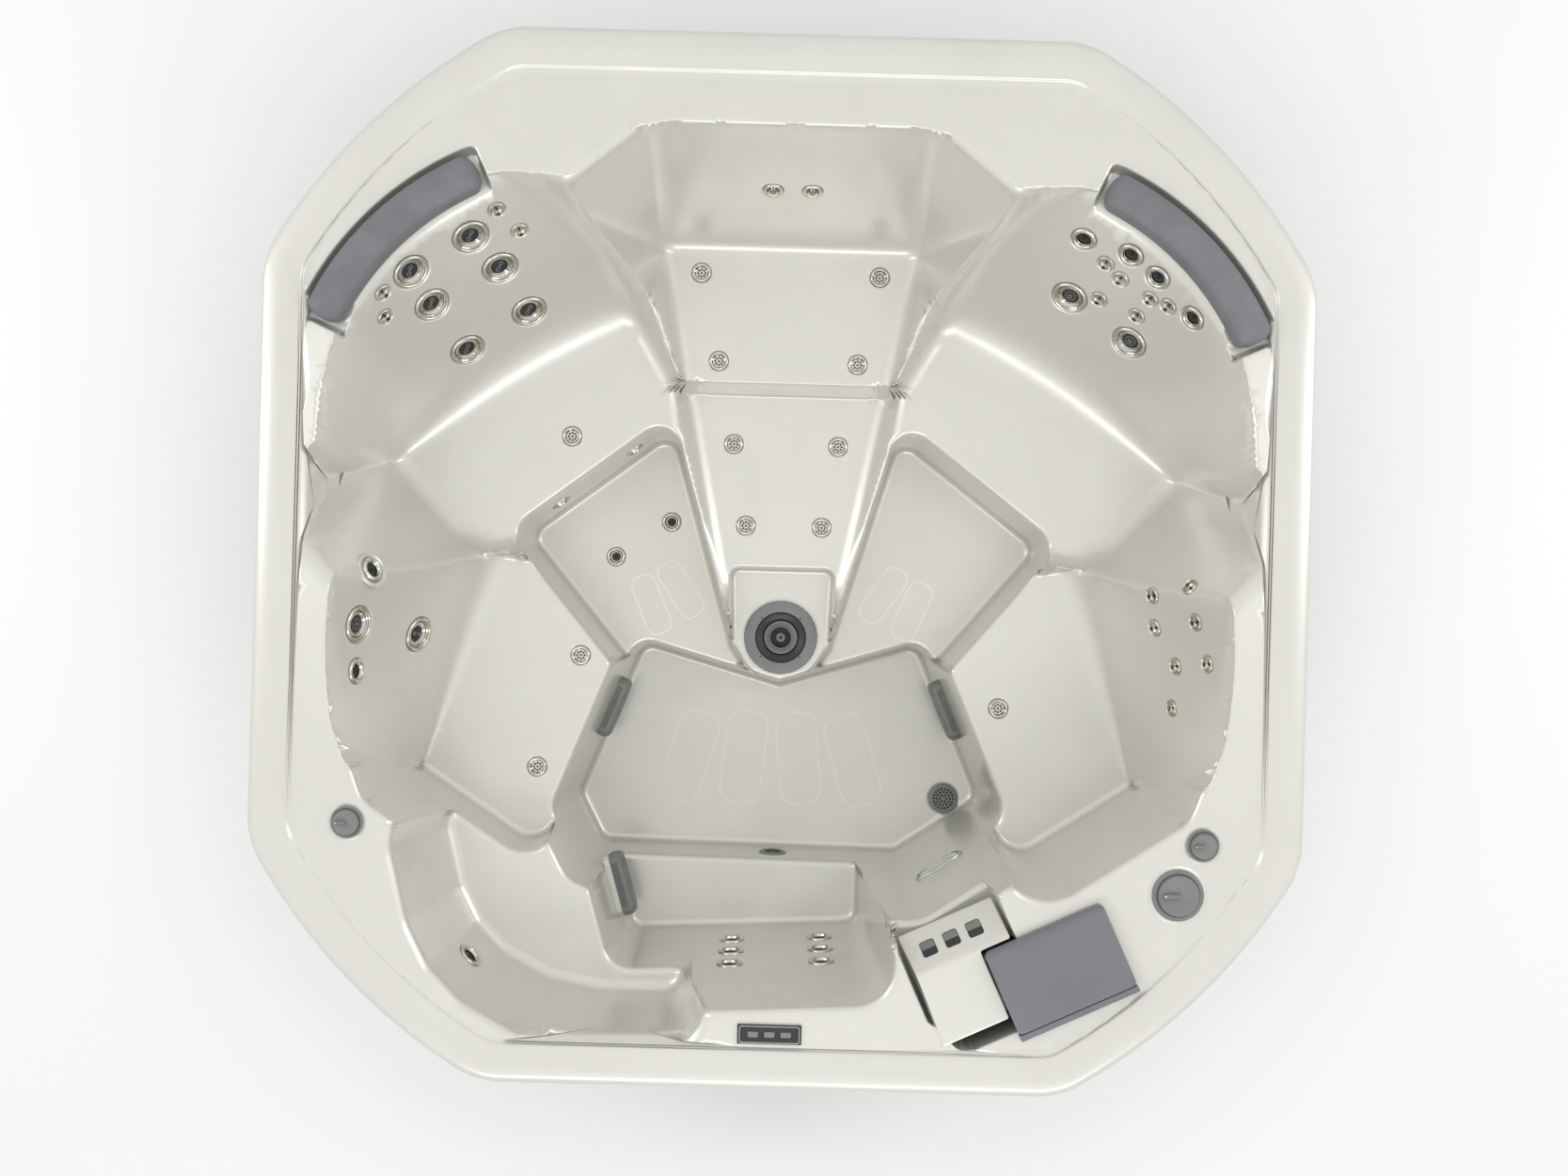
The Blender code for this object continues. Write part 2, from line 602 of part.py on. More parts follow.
def lip_profile():
    """The rim's section from the deck outwards and down, and back up inside: inset and height."""
    quarter = [(LIP_ROUND * (1 - math.sin(math.radians(a))), HEIGHT - LIP_ROUND * (1 - math.cos(math.radians(a))))
               for a in (30, 60, 90)]
    low = HEIGHT - LIP_DROP
    inner = LIP_ROUND - SHELL_WALL
    back = [(SHELL_WALL + inner * (1 - math.sin(math.radians(a))),
             HEIGHT - LIP_ROUND + inner * math.cos(math.radians(a))) for a in (90, 45)]
    return quarter + [(0.0, low), (SHELL_WALL, low)] + back


def close_lip(bm, wet, dry):
    """Joins the wet and the dry side round the rim with the rolled lip."""
    count = len(outline_ring(LIP_ROUND, RIM_STEPS))
    rings = [wet[:count]]
    for inward, z in lip_profile():
        rings.append([bm.verts.new((px, py, z)) for px, py in outline_ring(inward, RIM_STEPS)])
    rings.append(dry[:count])
    for upper, lower in zip(rings, rings[1:]):
        for i in range(count):
            j = (i + 1) % count
            bm.faces.new((upper[j], upper[i], lower[i], lower[j]))


# How a fitting sits in the shell: the recess under its flange, and its bezel and dished nozzle
RECESS = 0.003
FLANGE = 0.005
BORE_CLEARANCE = 0.001
DISH_SHARE = 0.4
BEZEL_SHARE = 0.93
SHARP_EDGE = math.radians(35)

# Fittings set in the shell: flange radius, barrel radius, depth behind the surface, steps round it.
# Where flange and barrel are alike the fitting is a straight plug in a straight bore.
LARGE_JET = (0.042, 0.042, 0.065, 8)
MIDDLE_JET = (0.029, 0.029, 0.06, 8)
SEAT_JET = (0.0235, 0.0235, 0.055, 6)
SMALL_JET = (0.0195, 0.0195, 0.055, 6)
WALL_JET = (0.03, 0.03, 0.06, 6)
FLOOR_DRAIN = (0.039, 0.026, 0.045, 12)
RETURN_FITTING = (0.034, 0.02, 0.045, 10)
SENSOR_FITTING = (0.01, 0.006, 0.03, 6)
FOOT_JET = (0.0927, 0.07, 0.11, 14)
DIVERTER = (0.057, 0.03, 0.09, 12)
AIR_CONTROL = (0.036, 0.018, 0.06, 10)

# The water pipes that join the jets of one seat behind the shell
JET_PIPE_RADIUS = 0.01
JET_PIPE_DEPTH = 0.045
JET_PIPE_STEPS = 4
JET_PIPE_SPACING = 0.09

# Large jets: the turning face and its two nozzle holes
FACE_SHARE = 0.68
FACE_DEPTH = 0.01
FACE_RISE = 0.004
FACE_HOLE_SHARE = 0.22
FACE_HOLE_PLACE_SHARE = 0.36
FACE_HOLE_STEPS = 4

# Jets in steep walls: heights and places along the wall
FRONT_JET_FIRST = 0.13
FRONT_JET_PITCH = 0.1
FRONT_JET_ROWS = 3
FRONT_JET_WALL_SHARES = (0.45, 0.853)
RISER_JET_WALL_SHARES = (0.2, 0.75)
COOL_JET_RISE = 0.13
COOL_JET_WALL_SHARE = 0.5

# Foot jet on the dome
FOOT_RING_WIDTH = 0.03
FOOT_NOZZLE_RADIUS = 0.042
FOOT_BORE = 0.026
FOOT_RISE = 0.009
FOOT_SEAT_DEPTH = 0.03
FOOT_BALL_RADIUS = 0.013

# Suction grilles, light and the small fittings of the footwell
GRILLE_LENGTH = 0.16
GRILLE_HEIGHT = 0.07
GRILLE_DEPTH = 0.03
GRILLE_CORNER = 0.014
GRILLE_HOLES = 5
GRILLE_BAR = 0.009
GRILLE_RISE = 0.12
STEP_GRILLE_RISE = 0.11
COLLAR_DEPTH = 0.016
GRILLE_WALL_SHARES = (0.4, 0.6, 0.5)
RETURN_WALL_SHARE = 0.58
SENSOR_WALL_SHARE = 0.3
LIGHT_WALL_SHARE = 0.32
LIGHT_Z = 0.5
LIGHT_LENGTH = 0.13
LIGHT_HEIGHT = 0.05
LIGHT_DEPTH = 0.016
LIGHT_STEPS = 12

# Filter lid, its hinge, and the skimmer cover, measured from the lid's front corner
LID_THICKNESS = 0.028
LID_NOSE = 0.02
LID_NOSE_STEPS = 4
LID_SETBACK = 0.006
HINGE_STRIP = 0.014
COVER_THICKNESS = 0.004
COVER_LOW_Z = DECK_Z - 0.096
COVER_TOP_RIGHT = -0.004
COVER_BACK = 0.16
WINDOW_WIDTH = 0.036
WINDOW_HEIGHT = 0.046
WINDOW_PITCH = 0.055
WINDOW_FIRST = -0.105
WINDOW_COUNT = 3
WEIR_GAP = 0.0015
WEIR_THICKNESS = 0.003
CARTRIDGE_RADIUS = 0.062
CARTRIDGE_PITCH = 0.16
CARTRIDGE_HEIGHT = 0.33
CARTRIDGE_PLEATS = 12
CARTRIDGE_PLEAT_DEPTH = 0.006
SPIGOT_RADIUS = 0.022
SPIGOT_HEIGHT = 0.04
SPIGOT_STEPS = 10
WATER_BOX_HEIGHT = 0.02

# Pillows: the section is half widths across and thicknesses up, drawn in towards both ends
PILLOW_STEPS = 14
PILLOW_SECTION_SHARES = [(-0.8, 0.0), (0.8, 0.0), (0.97, 0.3), (1.0, 0.6), (0.8, 0.86), (0.3, 1.0),
                         (-0.3, 0.97), (-0.8, 0.8), (-1.0, 0.5), (-0.97, 0.25)]
PILLOW_END_SHARE = 0.35
PILLOW_WIDTH_DRAW_SHARE = 0.4
PILLOW_HEIGHT_DRAW_SHARE = 0.25

# Knobs and the control panel with its push buttons
KNOB_HEIGHT = 0.018
KNOB_GRIP = 0.006
KNOB_SHARE = 0.8
KNOB_GRIP_SHARE = 0.12
PANEL_LENGTH = 0.14
PANEL_DEPTH = 0.042
PANEL_THICKNESS = 0.006
PANEL_Y_SHARE = -0.893
BUTTON_LENGTH = 0.024
BUTTON_DEPTH = 0.014
BUTTON_PITCH = 0.036
BUTTON_CLEARANCE = 0.0008
BUTTON_REST = 0.0016
BUTTON_PROUD = 0.002
BUTTON_COUNT = 3

# Base, cabinet and the frame that carries the rim
BASE_HEIGHT = 0.04
BASE_INSET = 0.03
CABINET_INSET = 0.02
BOARD_THICKNESS = 0.012
CABINET_LAP = 0.015
PLANK_COUNT = 7
GROOVE = 0.004
SEAM = 0.003
RAIL_INSET = 0.044
RAIL_WIDTH = 0.024
RAIL_HEIGHT = 0.05
POST_WIDTH = 0.06

# Water plant in the cabinet
PUMP_STEPS = 14
MOTOR_RADIUS = 0.075
MOTOR_LENGTH = 0.22
WET_END_RADIUS = 0.085
WET_END_LENGTH = 0.08
PUMP_FOOT = 0.06
PUMP_CLEARANCE = 0.021
PUMP_SHARES = ((-0.7, -0.7), (-0.72, -0.34))
HEATER_RADIUS = 0.035
HEATER_LENGTH = 0.36
HEATER_STEPS = 10
CONTROL_BOX_SHARES = (0.62, -0.7)
CONTROL_BOX = (0.26, 0.12, 0.3)
MAIN_PIPE_RADIUS = 0.025
MAIN_PIPE_Z = 0.3
MAIN_PIPE_STEPS = 6

# Places of the jets as shares of the half side, in the order in which their seat's pipe reaches them
REAR_LEFT_JET_SHARES = [
    (SEAT_JET, -0.456, 0.261), (LARGE_JET, -0.537, 0.506), (LARGE_JET, -0.58, 0.573), (SMALL_JET, -0.535, 0.638),
    (SMALL_JET, -0.571, 0.665), (LARGE_JET, -0.624, 0.616), (LARGE_JET, -0.735, 0.542),
    (SMALL_JET, -0.785, 0.498), (SMALL_JET, -0.789, 0.458), (LARGE_JET, -0.71, 0.493), (LARGE_JET, -0.662, 0.423)]
REAR_RIGHT_JET_SHARES = [
    (MIDDLE_JET, 0.569, 0.645), (MIDDLE_JET, 0.657, 0.612), (MIDDLE_JET, 0.71, 0.57),
    (MIDDLE_JET, 0.78, 0.494), (SMALL_JET, 0.738, 0.52), (SMALL_JET, 0.706, 0.536), (SMALL_JET, 0.69, 0.51),
    (LARGE_JET, 0.687, 0.465), (LARGE_JET, 0.564, 0.552), (SMALL_JET, 0.618, 0.545), (SMALL_JET, 0.648, 0.575),
    (SMALL_JET, 0.617, 0.603)]
SIDE_LEFT_JET_SHARES = [
    (SEAT_JET, -0.425, -0.205), (SEAT_JET, -0.511, -0.445), (LARGE_JET, -0.742, -0.166),
    (MIDDLE_JET, -0.8, -0.035), (LARGE_JET, -0.822, -0.144), (MIDDLE_JET, -0.825, -0.235)]
SIDE_RIGHT_JET_SHARES = [
    (SEAT_JET, 0.468, -0.294), (SMALL_JET, 0.79, -0.27), (SMALL_JET, 0.83, -0.175), (SMALL_JET, 0.79, -0.185),
    (SMALL_JET, 0.755, -0.11), (SMALL_JET, 0.81, -0.095), (SMALL_JET, 0.8, -0.025), (SMALL_JET, 0.745, -0.045)]
LOUNGE_JET_SHARES = [
    (SEAT_JET, -0.19, 0.617), (SEAT_JET, -0.148, 0.43), (SEAT_JET, -0.113, 0.259), (SEAT_JET, -0.082, 0.083),
    (SEAT_JET, 0.082, 0.083), (SEAT_JET, 0.113, 0.259), (SEAT_JET, 0.148, 0.43), (SEAT_JET, 0.19, 0.617),
    (SEAT_JET, 0.04, 0.752), (SEAT_JET, -0.04, 0.752)]
STEP_JET_SHARES = [(SEAT_JET, -0.251, 0.091), (SEAT_JET, -0.373, 0.01)]
FOOT_JET_SHARES = (0.0, -0.158)
DRAIN_SHARES = (0.385, -0.525)
DIVERTER_SHARES = (0.765, -0.61)
AIR_CONTROL_SHARES = (0.81, -0.515)


def lathe(profile, steps, turn=0.0):
    """A closed solid turned about Z from (radius, height) points that start and end on the axis."""
    verts, faces = [], []
    rows = []
    for radius, z in profile:
        if radius < SMALLEST:
            rows.append([len(verts)])
            verts.append((0.0, 0.0, z))
            continue
        rows.append(list(range(len(verts), len(verts) + steps)))
        for i in range(steps):
            angle = 2 * math.pi * i / steps + turn
            verts.append((radius * math.cos(angle), radius * math.sin(angle), z))
    for lower, upper in zip(rows, rows[1:]):
        for i in range(steps):
            j = (i + 1) % steps
            ring = [lower[i % len(lower)], lower[j % len(lower)], upper[j % len(upper)], upper[i % len(upper)]]
            faces.append(list(dict.fromkeys(ring)))
    return verts, faces


def prism(points, low, high):
    """A plan outline raised between two heights."""
    count = len(points)
    verts = [(x, y, low) for x, y in points] + [(x, y, high) for x, y in points]
    faces = [list(range(count))[::-1], list(range(count, 2 * count))]
    faces += [[i, (i + 1) % count, count + (i + 1) % count, count + i] for i in range(count)]
    return verts, faces


def box(low, high):
    (x0, y0, z0), (x1, y1, z1) = low, high
    return prism([(x0, y0), (x1, y0), (x1, y1), (x0, y1)], z0, z1)


def grid_plate(columns, rows, missing, place):
    """A plate of cells with some left out. place(u, v, side) gives a point; side is 0 below, 1 above."""
    index, verts, faces = {}, [], []

    def corner(i, j, side):
        if (i, j, side) not in index:
            index[i, j, side] = len(verts)
            verts.append(tuple(place(columns[i], rows[j], side)))
        return index[i, j, side]

    cells = {(i, j) for i in range(len(columns) - 1) for j in range(len(rows) - 1)} - set(missing)
    for i, j in sorted(cells):
        loop = [(i, j), (i + 1, j), (i + 1, j + 1), (i, j + 1)]
        faces.append([corner(a, b, 1) for a, b in loop])
        faces.append([corner(a, b, 0) for a, b in reversed(loop)])
        for k, neighbour in enumerate(((i, j - 1), (i + 1, j), (i, j + 1), (i - 1, j))):
            if neighbour not in cells:
                (a, b), (c, d) = loop[k], loop[(k + 1) % 4]
                faces.append([corner(a, b, 0), corner(c, d, 0), corner(c, d, 1), corner(a, b, 1)])
    return verts, faces


def tube(path, radius, steps):
    """A pipe of even bore along a path in space, with flat ends."""
    verts, faces = [], []
    points = [Vector(p) for p in path]
    side = None
    for i, point in enumerate(points):
        before, after = points[max(i - 1, 0)], points[min(i + 1, len(points) - 1)]
        along = (after - before).normalized()
        side = along.orthogonal().normalized() if side is None else (side - along * side.dot(along)).normalized()
        other = along.cross(side)
        for k in range(steps):
            angle = 2 * math.pi * k / steps
            verts.append(tuple(point + radius * (math.cos(angle) * side + math.sin(angle) * other)))
    for i in range(len(points) - 1):
        for k in range(steps):
            a, b = i * steps + k, i * steps + (k + 1) % steps
            faces.append([a, b, b + steps, a + steps])
    faces += [list(range(steps))[::-1], list(range(len(verts) - steps, len(verts)))]
    return verts, faces


def material(name, colour, roughness, metallic):
    found = bpy.data.materials.get(name)
    if found:
        return found
    found = bpy.data.materials.new(name)
    found.use_nodes = True
    shader = found.node_tree.nodes["Principled BSDF"]
    shader.inputs["Base Color"].default_value = (*colour, 1)
    shader.inputs["Roughness"].default_value = roughness
    shader.inputs["Metallic"].default_value = metallic
    return found


def acrylic():
    return material("pearl_acrylic", (0.62, 0.61, 0.54), 0.25, 0.1)


def grey_plastic():
    return material("grey_plastic", (0.19, 0.2, 0.19), 0.45, 0.0)


def violet_plastic():
    return material("grey_violet_plastic", (0.2, 0.195, 0.23), 0.4, 0.0)


def pillow_foam():
    return material("grey_violet_foam", (0.2, 0.195, 0.23), 0.7, 0.0)


def chrome():
    return material("jet_chrome", (0.7, 0.68, 0.62), 0.15, 1.0)


def dark_plastic():
    return material("dark_plastic", (0.05, 0.05, 0.055), 0.4, 0.0)


def cabinet_board():
    return material("cabinet_board", (0.12, 0.09, 0.07), 0.6, 0.0)


def frame_steel():
    return material("frame_steel", (0.45, 0.46, 0.47), 0.4, 0.8)


def pipe_plastic():
    return material("white_pipe", (0.75, 0.75, 0.73), 0.4, 0.0)


def filter_paper():
    return material("filter_fabric", (0.75, 0.77, 0.8), 0.9, 0.0)


def lens_plastic():
    return material("clear_lens", (0.8, 0.85, 0.88), 0.1, 0.0)


def make(name, pieces, finish, frame=None):
    """One object from (shape, matrix) pieces in its own frame, smooth but for its sharp edges."""
    bm = bmesh.new()
    for (verts, faces), matrix in pieces:
        made = [bm.verts.new(matrix @ Vector(v)) for v in verts]
        for face in faces:
            bm.faces.new([made[i] for i in face])
    bmesh.ops.recalc_face_normals(bm, faces=bm.faces)
    mesh = bpy.data.meshes.new(name)
    bm.to_mesh(mesh)
    bm.free()
    mesh.shade_smooth()
    mesh.set_sharp_from_angle(angle=SHARP_EDGE)
    mesh.materials.append(finish)
    obj = bpy.data.objects.new(name, mesh)
    obj.matrix_world = frame or Matrix.Identity(4)
    bpy.context.collection.objects.link(obj)
    return obj


STAY = Matrix.Identity(4)


def fused(name, pieces, finish, frame=None):
    """One object from pieces that overlap, as a single body."""
    first, others = make("first_piece", pieces[:1], finish), make("other_pieces", pieces[1:], finish)
    modifier = first.modifiers.new("union", "BOOLEAN")
    modifier.operation = "UNION"
    modifier.solver = "EXACT"
    modifier.use_self = True
    modifier.object = others
    bpy.context.view_layer.update()
    mesh = bpy.data.meshes.new_from_object(first.evaluated_get(bpy.context.evaluated_depsgraph_get()))
    for helper in (first, others):
        bpy.data.objects.remove(helper, do_unlink=True)
    mesh.name = name
    mesh.set_sharp_from_angle(angle=SHARP_EDGE)
    obj = bpy.data.objects.new(name, mesh)
    obj.matrix_world = frame or STAY
    bpy.context.collection.objects.link(obj)
    return obj


def frame_at(origin, normal, along):
    """A matrix at origin whose Z is the normal and whose X runs nearest to along."""
    z = Vector(normal).normalized()
    x = (Vector(along) - z * z.dot(Vector(along))).normalized()
    y = z.cross(x)
    return Matrix(((x.x, y.x, z.x, origin[0]), (x.y, y.y, z.y, origin[1]), (x.z, y.z, z.z, origin[2]),
                   (0, 0, 0, 1)))


def surface_frame(shares, everything):
    """The frame of a fitting set in the mould at a place in plan, at the floor of its recess."""
    x, y = np.array([shares[0] * HALF]), np.array([shares[1] * HALF])
    reach = LARGE_JET[0] / 2
    dx = (mould_height(x + reach, y, everything) - mould_height(x - reach, y, everything))[0] / (2 * reach)
    dy = (mould_height(x, y + reach, everything) - mould_height(x, y - reach, everything))[0] / (2 * reach)
    normal = Vector((-dx, -dy, 1)).normalized()
    origin = Vector((x[0], y[0], mould_height(x, y, everything)[0])) - normal * RECESS
    along = Vector((-normal.y, normal.x, 0)) if normal.xy.length > SMALLEST else Vector((1, 0, 0))
    return frame_at(origin, normal, along)


def wall_frame(pocket, edge, share, z):
    """The frame of a fitting on the straight part of a pocket's wall, at a height above the ground."""
    outline, _, floor, (base, _, slope), _ = pocket
    a, b = Vector(outline[edge]), Vector(outline[(edge + 1) % len(outline)])
    place = a.lerp(b, share)
    low = float(floor(np.array([place.x]), np.array([place.y]))[0])
    out = (b - a).normalized()
    outward = Vector((out.y, -out.x))
    cosine = 1 / math.hypot(1, slope)
    distance = base * slope * cosine + (z - low - base * (1 - cosine)) / slope
    q = place + outward * distance
    normal = Vector((-outward.x * slope, -outward.y * slope, 1)).normalized()
    return frame_at(Vector((q.x, q.y, z)) - normal * RECESS, normal, (out.x, out.y, 0))


def cutter_shape(kind):
    """The hole that a fitting needs: a bore through the wall, and a recess for a wider flange."""
    flange, barrel, depth, steps = kind
    deep, high = -SHELL_WALL - depth / 2, 2 * FLANGE
    if flange == barrel:
        bore = barrel + FIT
        return lathe([(0, deep), (bore, deep), (bore, high), (0, high)], steps)
    bore, seat = barrel + BORE_CLEARANCE, flange + BORE_CLEARANCE
    return lathe([(0, deep), (bore, deep), (bore, 0), (seat, 0), (seat, high), (0, high)], steps)


def jet_shape(kind):
    """A fixed jet: its barrel behind the shell, a bezel above it and a dished nozzle."""
    flange, barrel, depth, steps = kind
    front = [(flange * BEZEL_SHARE, FLANGE), (flange * DISH_SHARE, 0), (0, 0)]
    if flange == barrel:
        return lathe([(0, -depth), (barrel, -depth)] + front, steps)
    return lathe([(0, -depth), (barrel, -depth), (barrel, FIT), (flange, FIT)] + front, steps)


def turning_bore(radius, steps):
    """The radius of a faceted bore in which a faceted pin of this radius turns freely."""
    return (radius + FIT) / math.cos(math.pi / steps)


def large_body_shape():
    """The body of a large jet: barrel, bezel, and the round seat of its turning face."""
    flange, barrel, depth, steps = LARGE_JET
    seat = turning_bore(flange * FACE_SHARE, steps)
    return lathe([(0, -depth), (barrel, -depth), (flange, RECESS), (flange * BEZEL_SHARE, FLANGE),
                  (seat, RECESS), (seat, -FACE_DEPTH), (0, -FACE_DEPTH)], steps)


def large_face_mesh():
    """The turning face of a large jet, with its two nozzle holes."""
    radius = LARGE_JET[0] * FACE_SHARE
    low = FIT - FACE_DEPTH
    disc = lathe([(0, low), (radius, low), (radius, 0), (radius * FACE_SHARE, FACE_RISE), (0, FACE_RISE)],
                 LARGE_JET[3])
    face = make("face_blank", [(disc, STAY)], dark_plastic())
    bore, floor = radius * FACE_HOLE_SHARE, low / 2
    hole = lathe([(0, floor), (bore, floor), (bore, 2 * FACE_RISE), (0, 2 * FACE_RISE)], FACE_HOLE_STEPS)
    reach = radius * FACE_HOLE_PLACE_SHARE
    holes = make("face_holes", [(hole, Matrix.Translation((side * reach, 0, 0))) for side in (-1, 1)],
                 dark_plastic())
    cut(face, holes)
    bpy.context.view_layer.update()
    mesh = bpy.data.meshes.new_from_object(face.evaluated_get(bpy.context.evaluated_depsgraph_get()))
    for helper in (face, holes):
        bpy.data.objects.remove(helper, do_unlink=True)
    mesh.set_sharp_from_angle(angle=SHARP_EDGE)
    return mesh


def cut(obj, cutter):
    """Takes the cutter out of the object, and keeps the cutter as a hidden helper."""
    modifier = obj.modifiers.new("cut_" + cutter.name, "BOOLEAN")
    modifier.operation = "DIFFERENCE"
    modifier.solver = "EXACT"
    modifier.object = cutter
    cutter.hide_render = True
    cutter.display_type = "WIRE"


def pipe_run(start, end, everything):
    """A pipe between two jets, following the shell's dry side where it bends."""
    count = max(1, math.ceil(math.dist(start, end) * HALF / JET_PIPE_SPACING))
    path = []
    for step in range(count + 1):
        share = step / count
        place = [a + (b - a) * share for a, b in zip(start, end)]
        path.append(behind(surface_frame(place, everything)))
    return tube(path, JET_PIPE_RADIUS, JET_PIPE_STEPS)


def behind(frame):
    """The point behind a fitting at which its pipe meets its barrel."""
    return frame @ Vector((0, 0, RECESS - JET_PIPE_DEPTH))


def straight_runs(points):
    """Straight pipes from each point to the next."""
    return [(tube(pair, JET_PIPE_RADIUS, JET_PIPE_STEPS), STAY) for pair in zip(points, points[1:])]


def jet_chain(shares, everything, frames):
    """The jets of one seat and the pipes that join them, as pieces of one body; and the large jets' frames."""
    pieces, large = [], []
    for kind, x, y in shares:
        f = surface_frame((x, y), everything)
        frames.append((f, kind))
        pieces.append((large_body_shape() if kind is LARGE_JET else jet_shape(kind), f))
        if kind is LARGE_JET:
            large.append(f)
    for (_, *start), (_, *end) in zip(shares, shares[1:]):
        pieces.append((pipe_run(start, end, everything), STAY))
    return pieces, large


def add_seat_jets(everything, frames):
    """For each seat one body of jets on their pipe, and one node for each large face that turns."""
    large = []
    for name, shares in (("jets_rear_left", REAR_LEFT_JET_SHARES), ("jets_rear_right", REAR_RIGHT_JET_SHARES),
                         ("jets_side_left", SIDE_LEFT_JET_SHARES), ("jets_side_right", SIDE_RIGHT_JET_SHARES),
                         ("jets_lounge", LOUNGE_JET_SHARES)):
        pieces, turning = jet_chain(shares, everything, frames)
        fused(name, pieces, chrome())
        large += turning
    mesh = large_face_mesh()
    for number, f in enumerate(large):
        face = bpy.data.objects.new(f"jet_face_{number + 1:02d}", mesh)
        face.matrix_world = f
        bpy.context.collection.objects.link(face)


def add_wall_jets(everything, frames):
    """The jets of the left step and its riser, of the front wall, and of the cool seat."""
    step, front, cool = everything[STEP_LEFT], everything[FRONT_STEP], everything[COOL_SEAT]
    pieces, _ = jet_chain(STEP_JET_SHARES, everything, frames)
    riser = [wall_frame(step, STEP_RISER, share, (STEP_Z + SEAT_Z) / 2) for share in RISER_JET_WALL_SHARES]
    below = behind(surface_frame(STEP_JET_SHARES[-1][1:], everything))
    turn = behind(riser[0])
    corner = Vector((turn.x, turn.y, below.z))
    pieces += [(jet_shape(SEAT_JET), f) for f in riser]
    pieces += straight_runs([below, corner, turn, behind(riser[1])])
    fused("jets_step", pieces, chrome())
    columns = [[wall_frame(front, FRONT_STEP_BACK, share, FRONT_STEP_Z + FRONT_JET_FIRST + FRONT_JET_PITCH * k)
                for k in range(FRONT_JET_ROWS)] for share in FRONT_JET_WALL_SHARES]
    loop = columns[0] + columns[1][::-1]
    fused("jets_front_wall", [(jet_shape(WALL_JET), f) for f in loop] + straight_runs([behind(f) for f in loop]),
          chrome())
    single = wall_frame(cool, COOL_SEAT_BACK, COOL_JET_WALL_SHARE, COOL_SEAT_Z + COOL_JET_RISE)
    make("jet_cool_seat", [(jet_shape(WALL_JET), single)], chrome())
    frames.extend([(f, SEAT_JET) for f in riser] + [(f, WALL_JET) for f in loop + [single]])


def add_foot_jet(everything, frames):
    """The large jet on the dome: housing, fixed bezel, and a nozzle that turns in it."""
    f = surface_frame(FOOT_JET_SHARES, everything)
    frames.append((f, FOOT_JET))
    flange, barrel, depth, steps = FOOT_JET
    inner, seat = flange - FOOT_RING_WIDTH, -FOOT_SEAT_DEPTH
    housing = lathe([(0, -depth), (barrel, -depth), (barrel, FIT), (flange, FIT), (flange, FOOT_RISE / 2),
                     (flange * BEZEL_SHARE, FOOT_RISE), (inner, FOOT_RISE), (inner, seat), (0, seat)], steps)
    make("foot_jet_housing", [(housing, f)], grey_plastic())
    outer, bore = inner - FIT, turning_bore(FOOT_NOZZLE_RADIUS, steps)
    bezel = lathe([(bore, seat + FIT), (outer, seat + FIT), (outer, FOOT_RISE), (bore, FOOT_RISE / 2),
                   (bore, seat + FIT)], steps)
    make("foot_jet_bezel", [(bezel, f)], grey_plastic())
    radius = FOOT_NOZZLE_RADIUS
    floor = seat / 2
    nozzle = lathe([(0, seat + 2 * FIT), (radius, seat + 2 * FIT), (radius, FOOT_RISE / 2),
                    (FOOT_BORE, FOOT_RISE), (FOOT_BORE, floor), (FOOT_BALL_RADIUS, floor),
                    (FOOT_BALL_RADIUS / 2, 0), (0, 0)], steps)
    make("foot_jet_nozzle", [(nozzle, STAY)], dark_plastic(), f)


def flat_fittings(everything):
    """The fittings that lie flat on a wall: frame, half length and half height of their place, and depth."""
    floor, front = everything[FLOOR], everything[FRONT_STEP]
    left, right, low = GRILLE_WALL_SHARES
    half_x, half_y = (GRILLE_LENGTH + GRILLE_CORNER) / 2, (GRILLE_HEIGHT + GRILLE_CORNER) / 2
    return {
        "grille_left": (wall_frame(floor, FLOOR_LEFT, left, FLOOR_Z + GRILLE_RISE), half_x, half_y, GRILLE_DEPTH),
        "grille_right": (wall_frame(floor, FLOOR_RIGHT, right, FLOOR_Z + GRILLE_RISE), half_x, half_y,
                         GRILLE_DEPTH),
        "grille_front": (wall_frame(front, FRONT_STEP_LEFT, low, FRONT_STEP_Z + STEP_GRILLE_RISE), half_x,
                         half_y, GRILLE_DEPTH + COLLAR_DEPTH),
        "light_lens": (wall_frame(floor, FLOOR_FRONT_RIGHT, LIGHT_WALL_SHARE, LIGHT_Z), LIGHT_LENGTH / 2,
                       LIGHT_HEIGHT / 2, LIGHT_DEPTH),
    }


def grille_shape(depth):
    """A suction grille: a plate with clipped corners and a row of through slots."""
    half_x, half_y = GRILLE_LENGTH / 2, GRILLE_HEIGHT / 2
    pitch = (GRILLE_LENGTH - 2 * GRILLE_CORNER) / GRILLE_HOLES
    columns = [-half_x]
    for k in range(GRILLE_HOLES):
        start = GRILLE_CORNER - half_x + k * pitch
        columns += [start + GRILLE_BAR / 2, start + pitch - GRILLE_BAR / 2]
    columns.append(half_x)
    rows = [-half_y, GRILLE_CORNER - half_y, half_y - GRILLE_CORNER, half_y]
    missing = [(1 + 2 * k, 1) for k in range(GRILLE_HOLES)]

    def place(u, v, side):
        corner = abs(u) > half_x - SMALLEST and abs(v) > half_y - SMALLEST
        clip = math.copysign(GRILLE_CORNER / 2, v) if corner else 0
        return u, v - clip, RECESS + FIT + side * depth

    return grid_plate(columns, rows, missing, place)


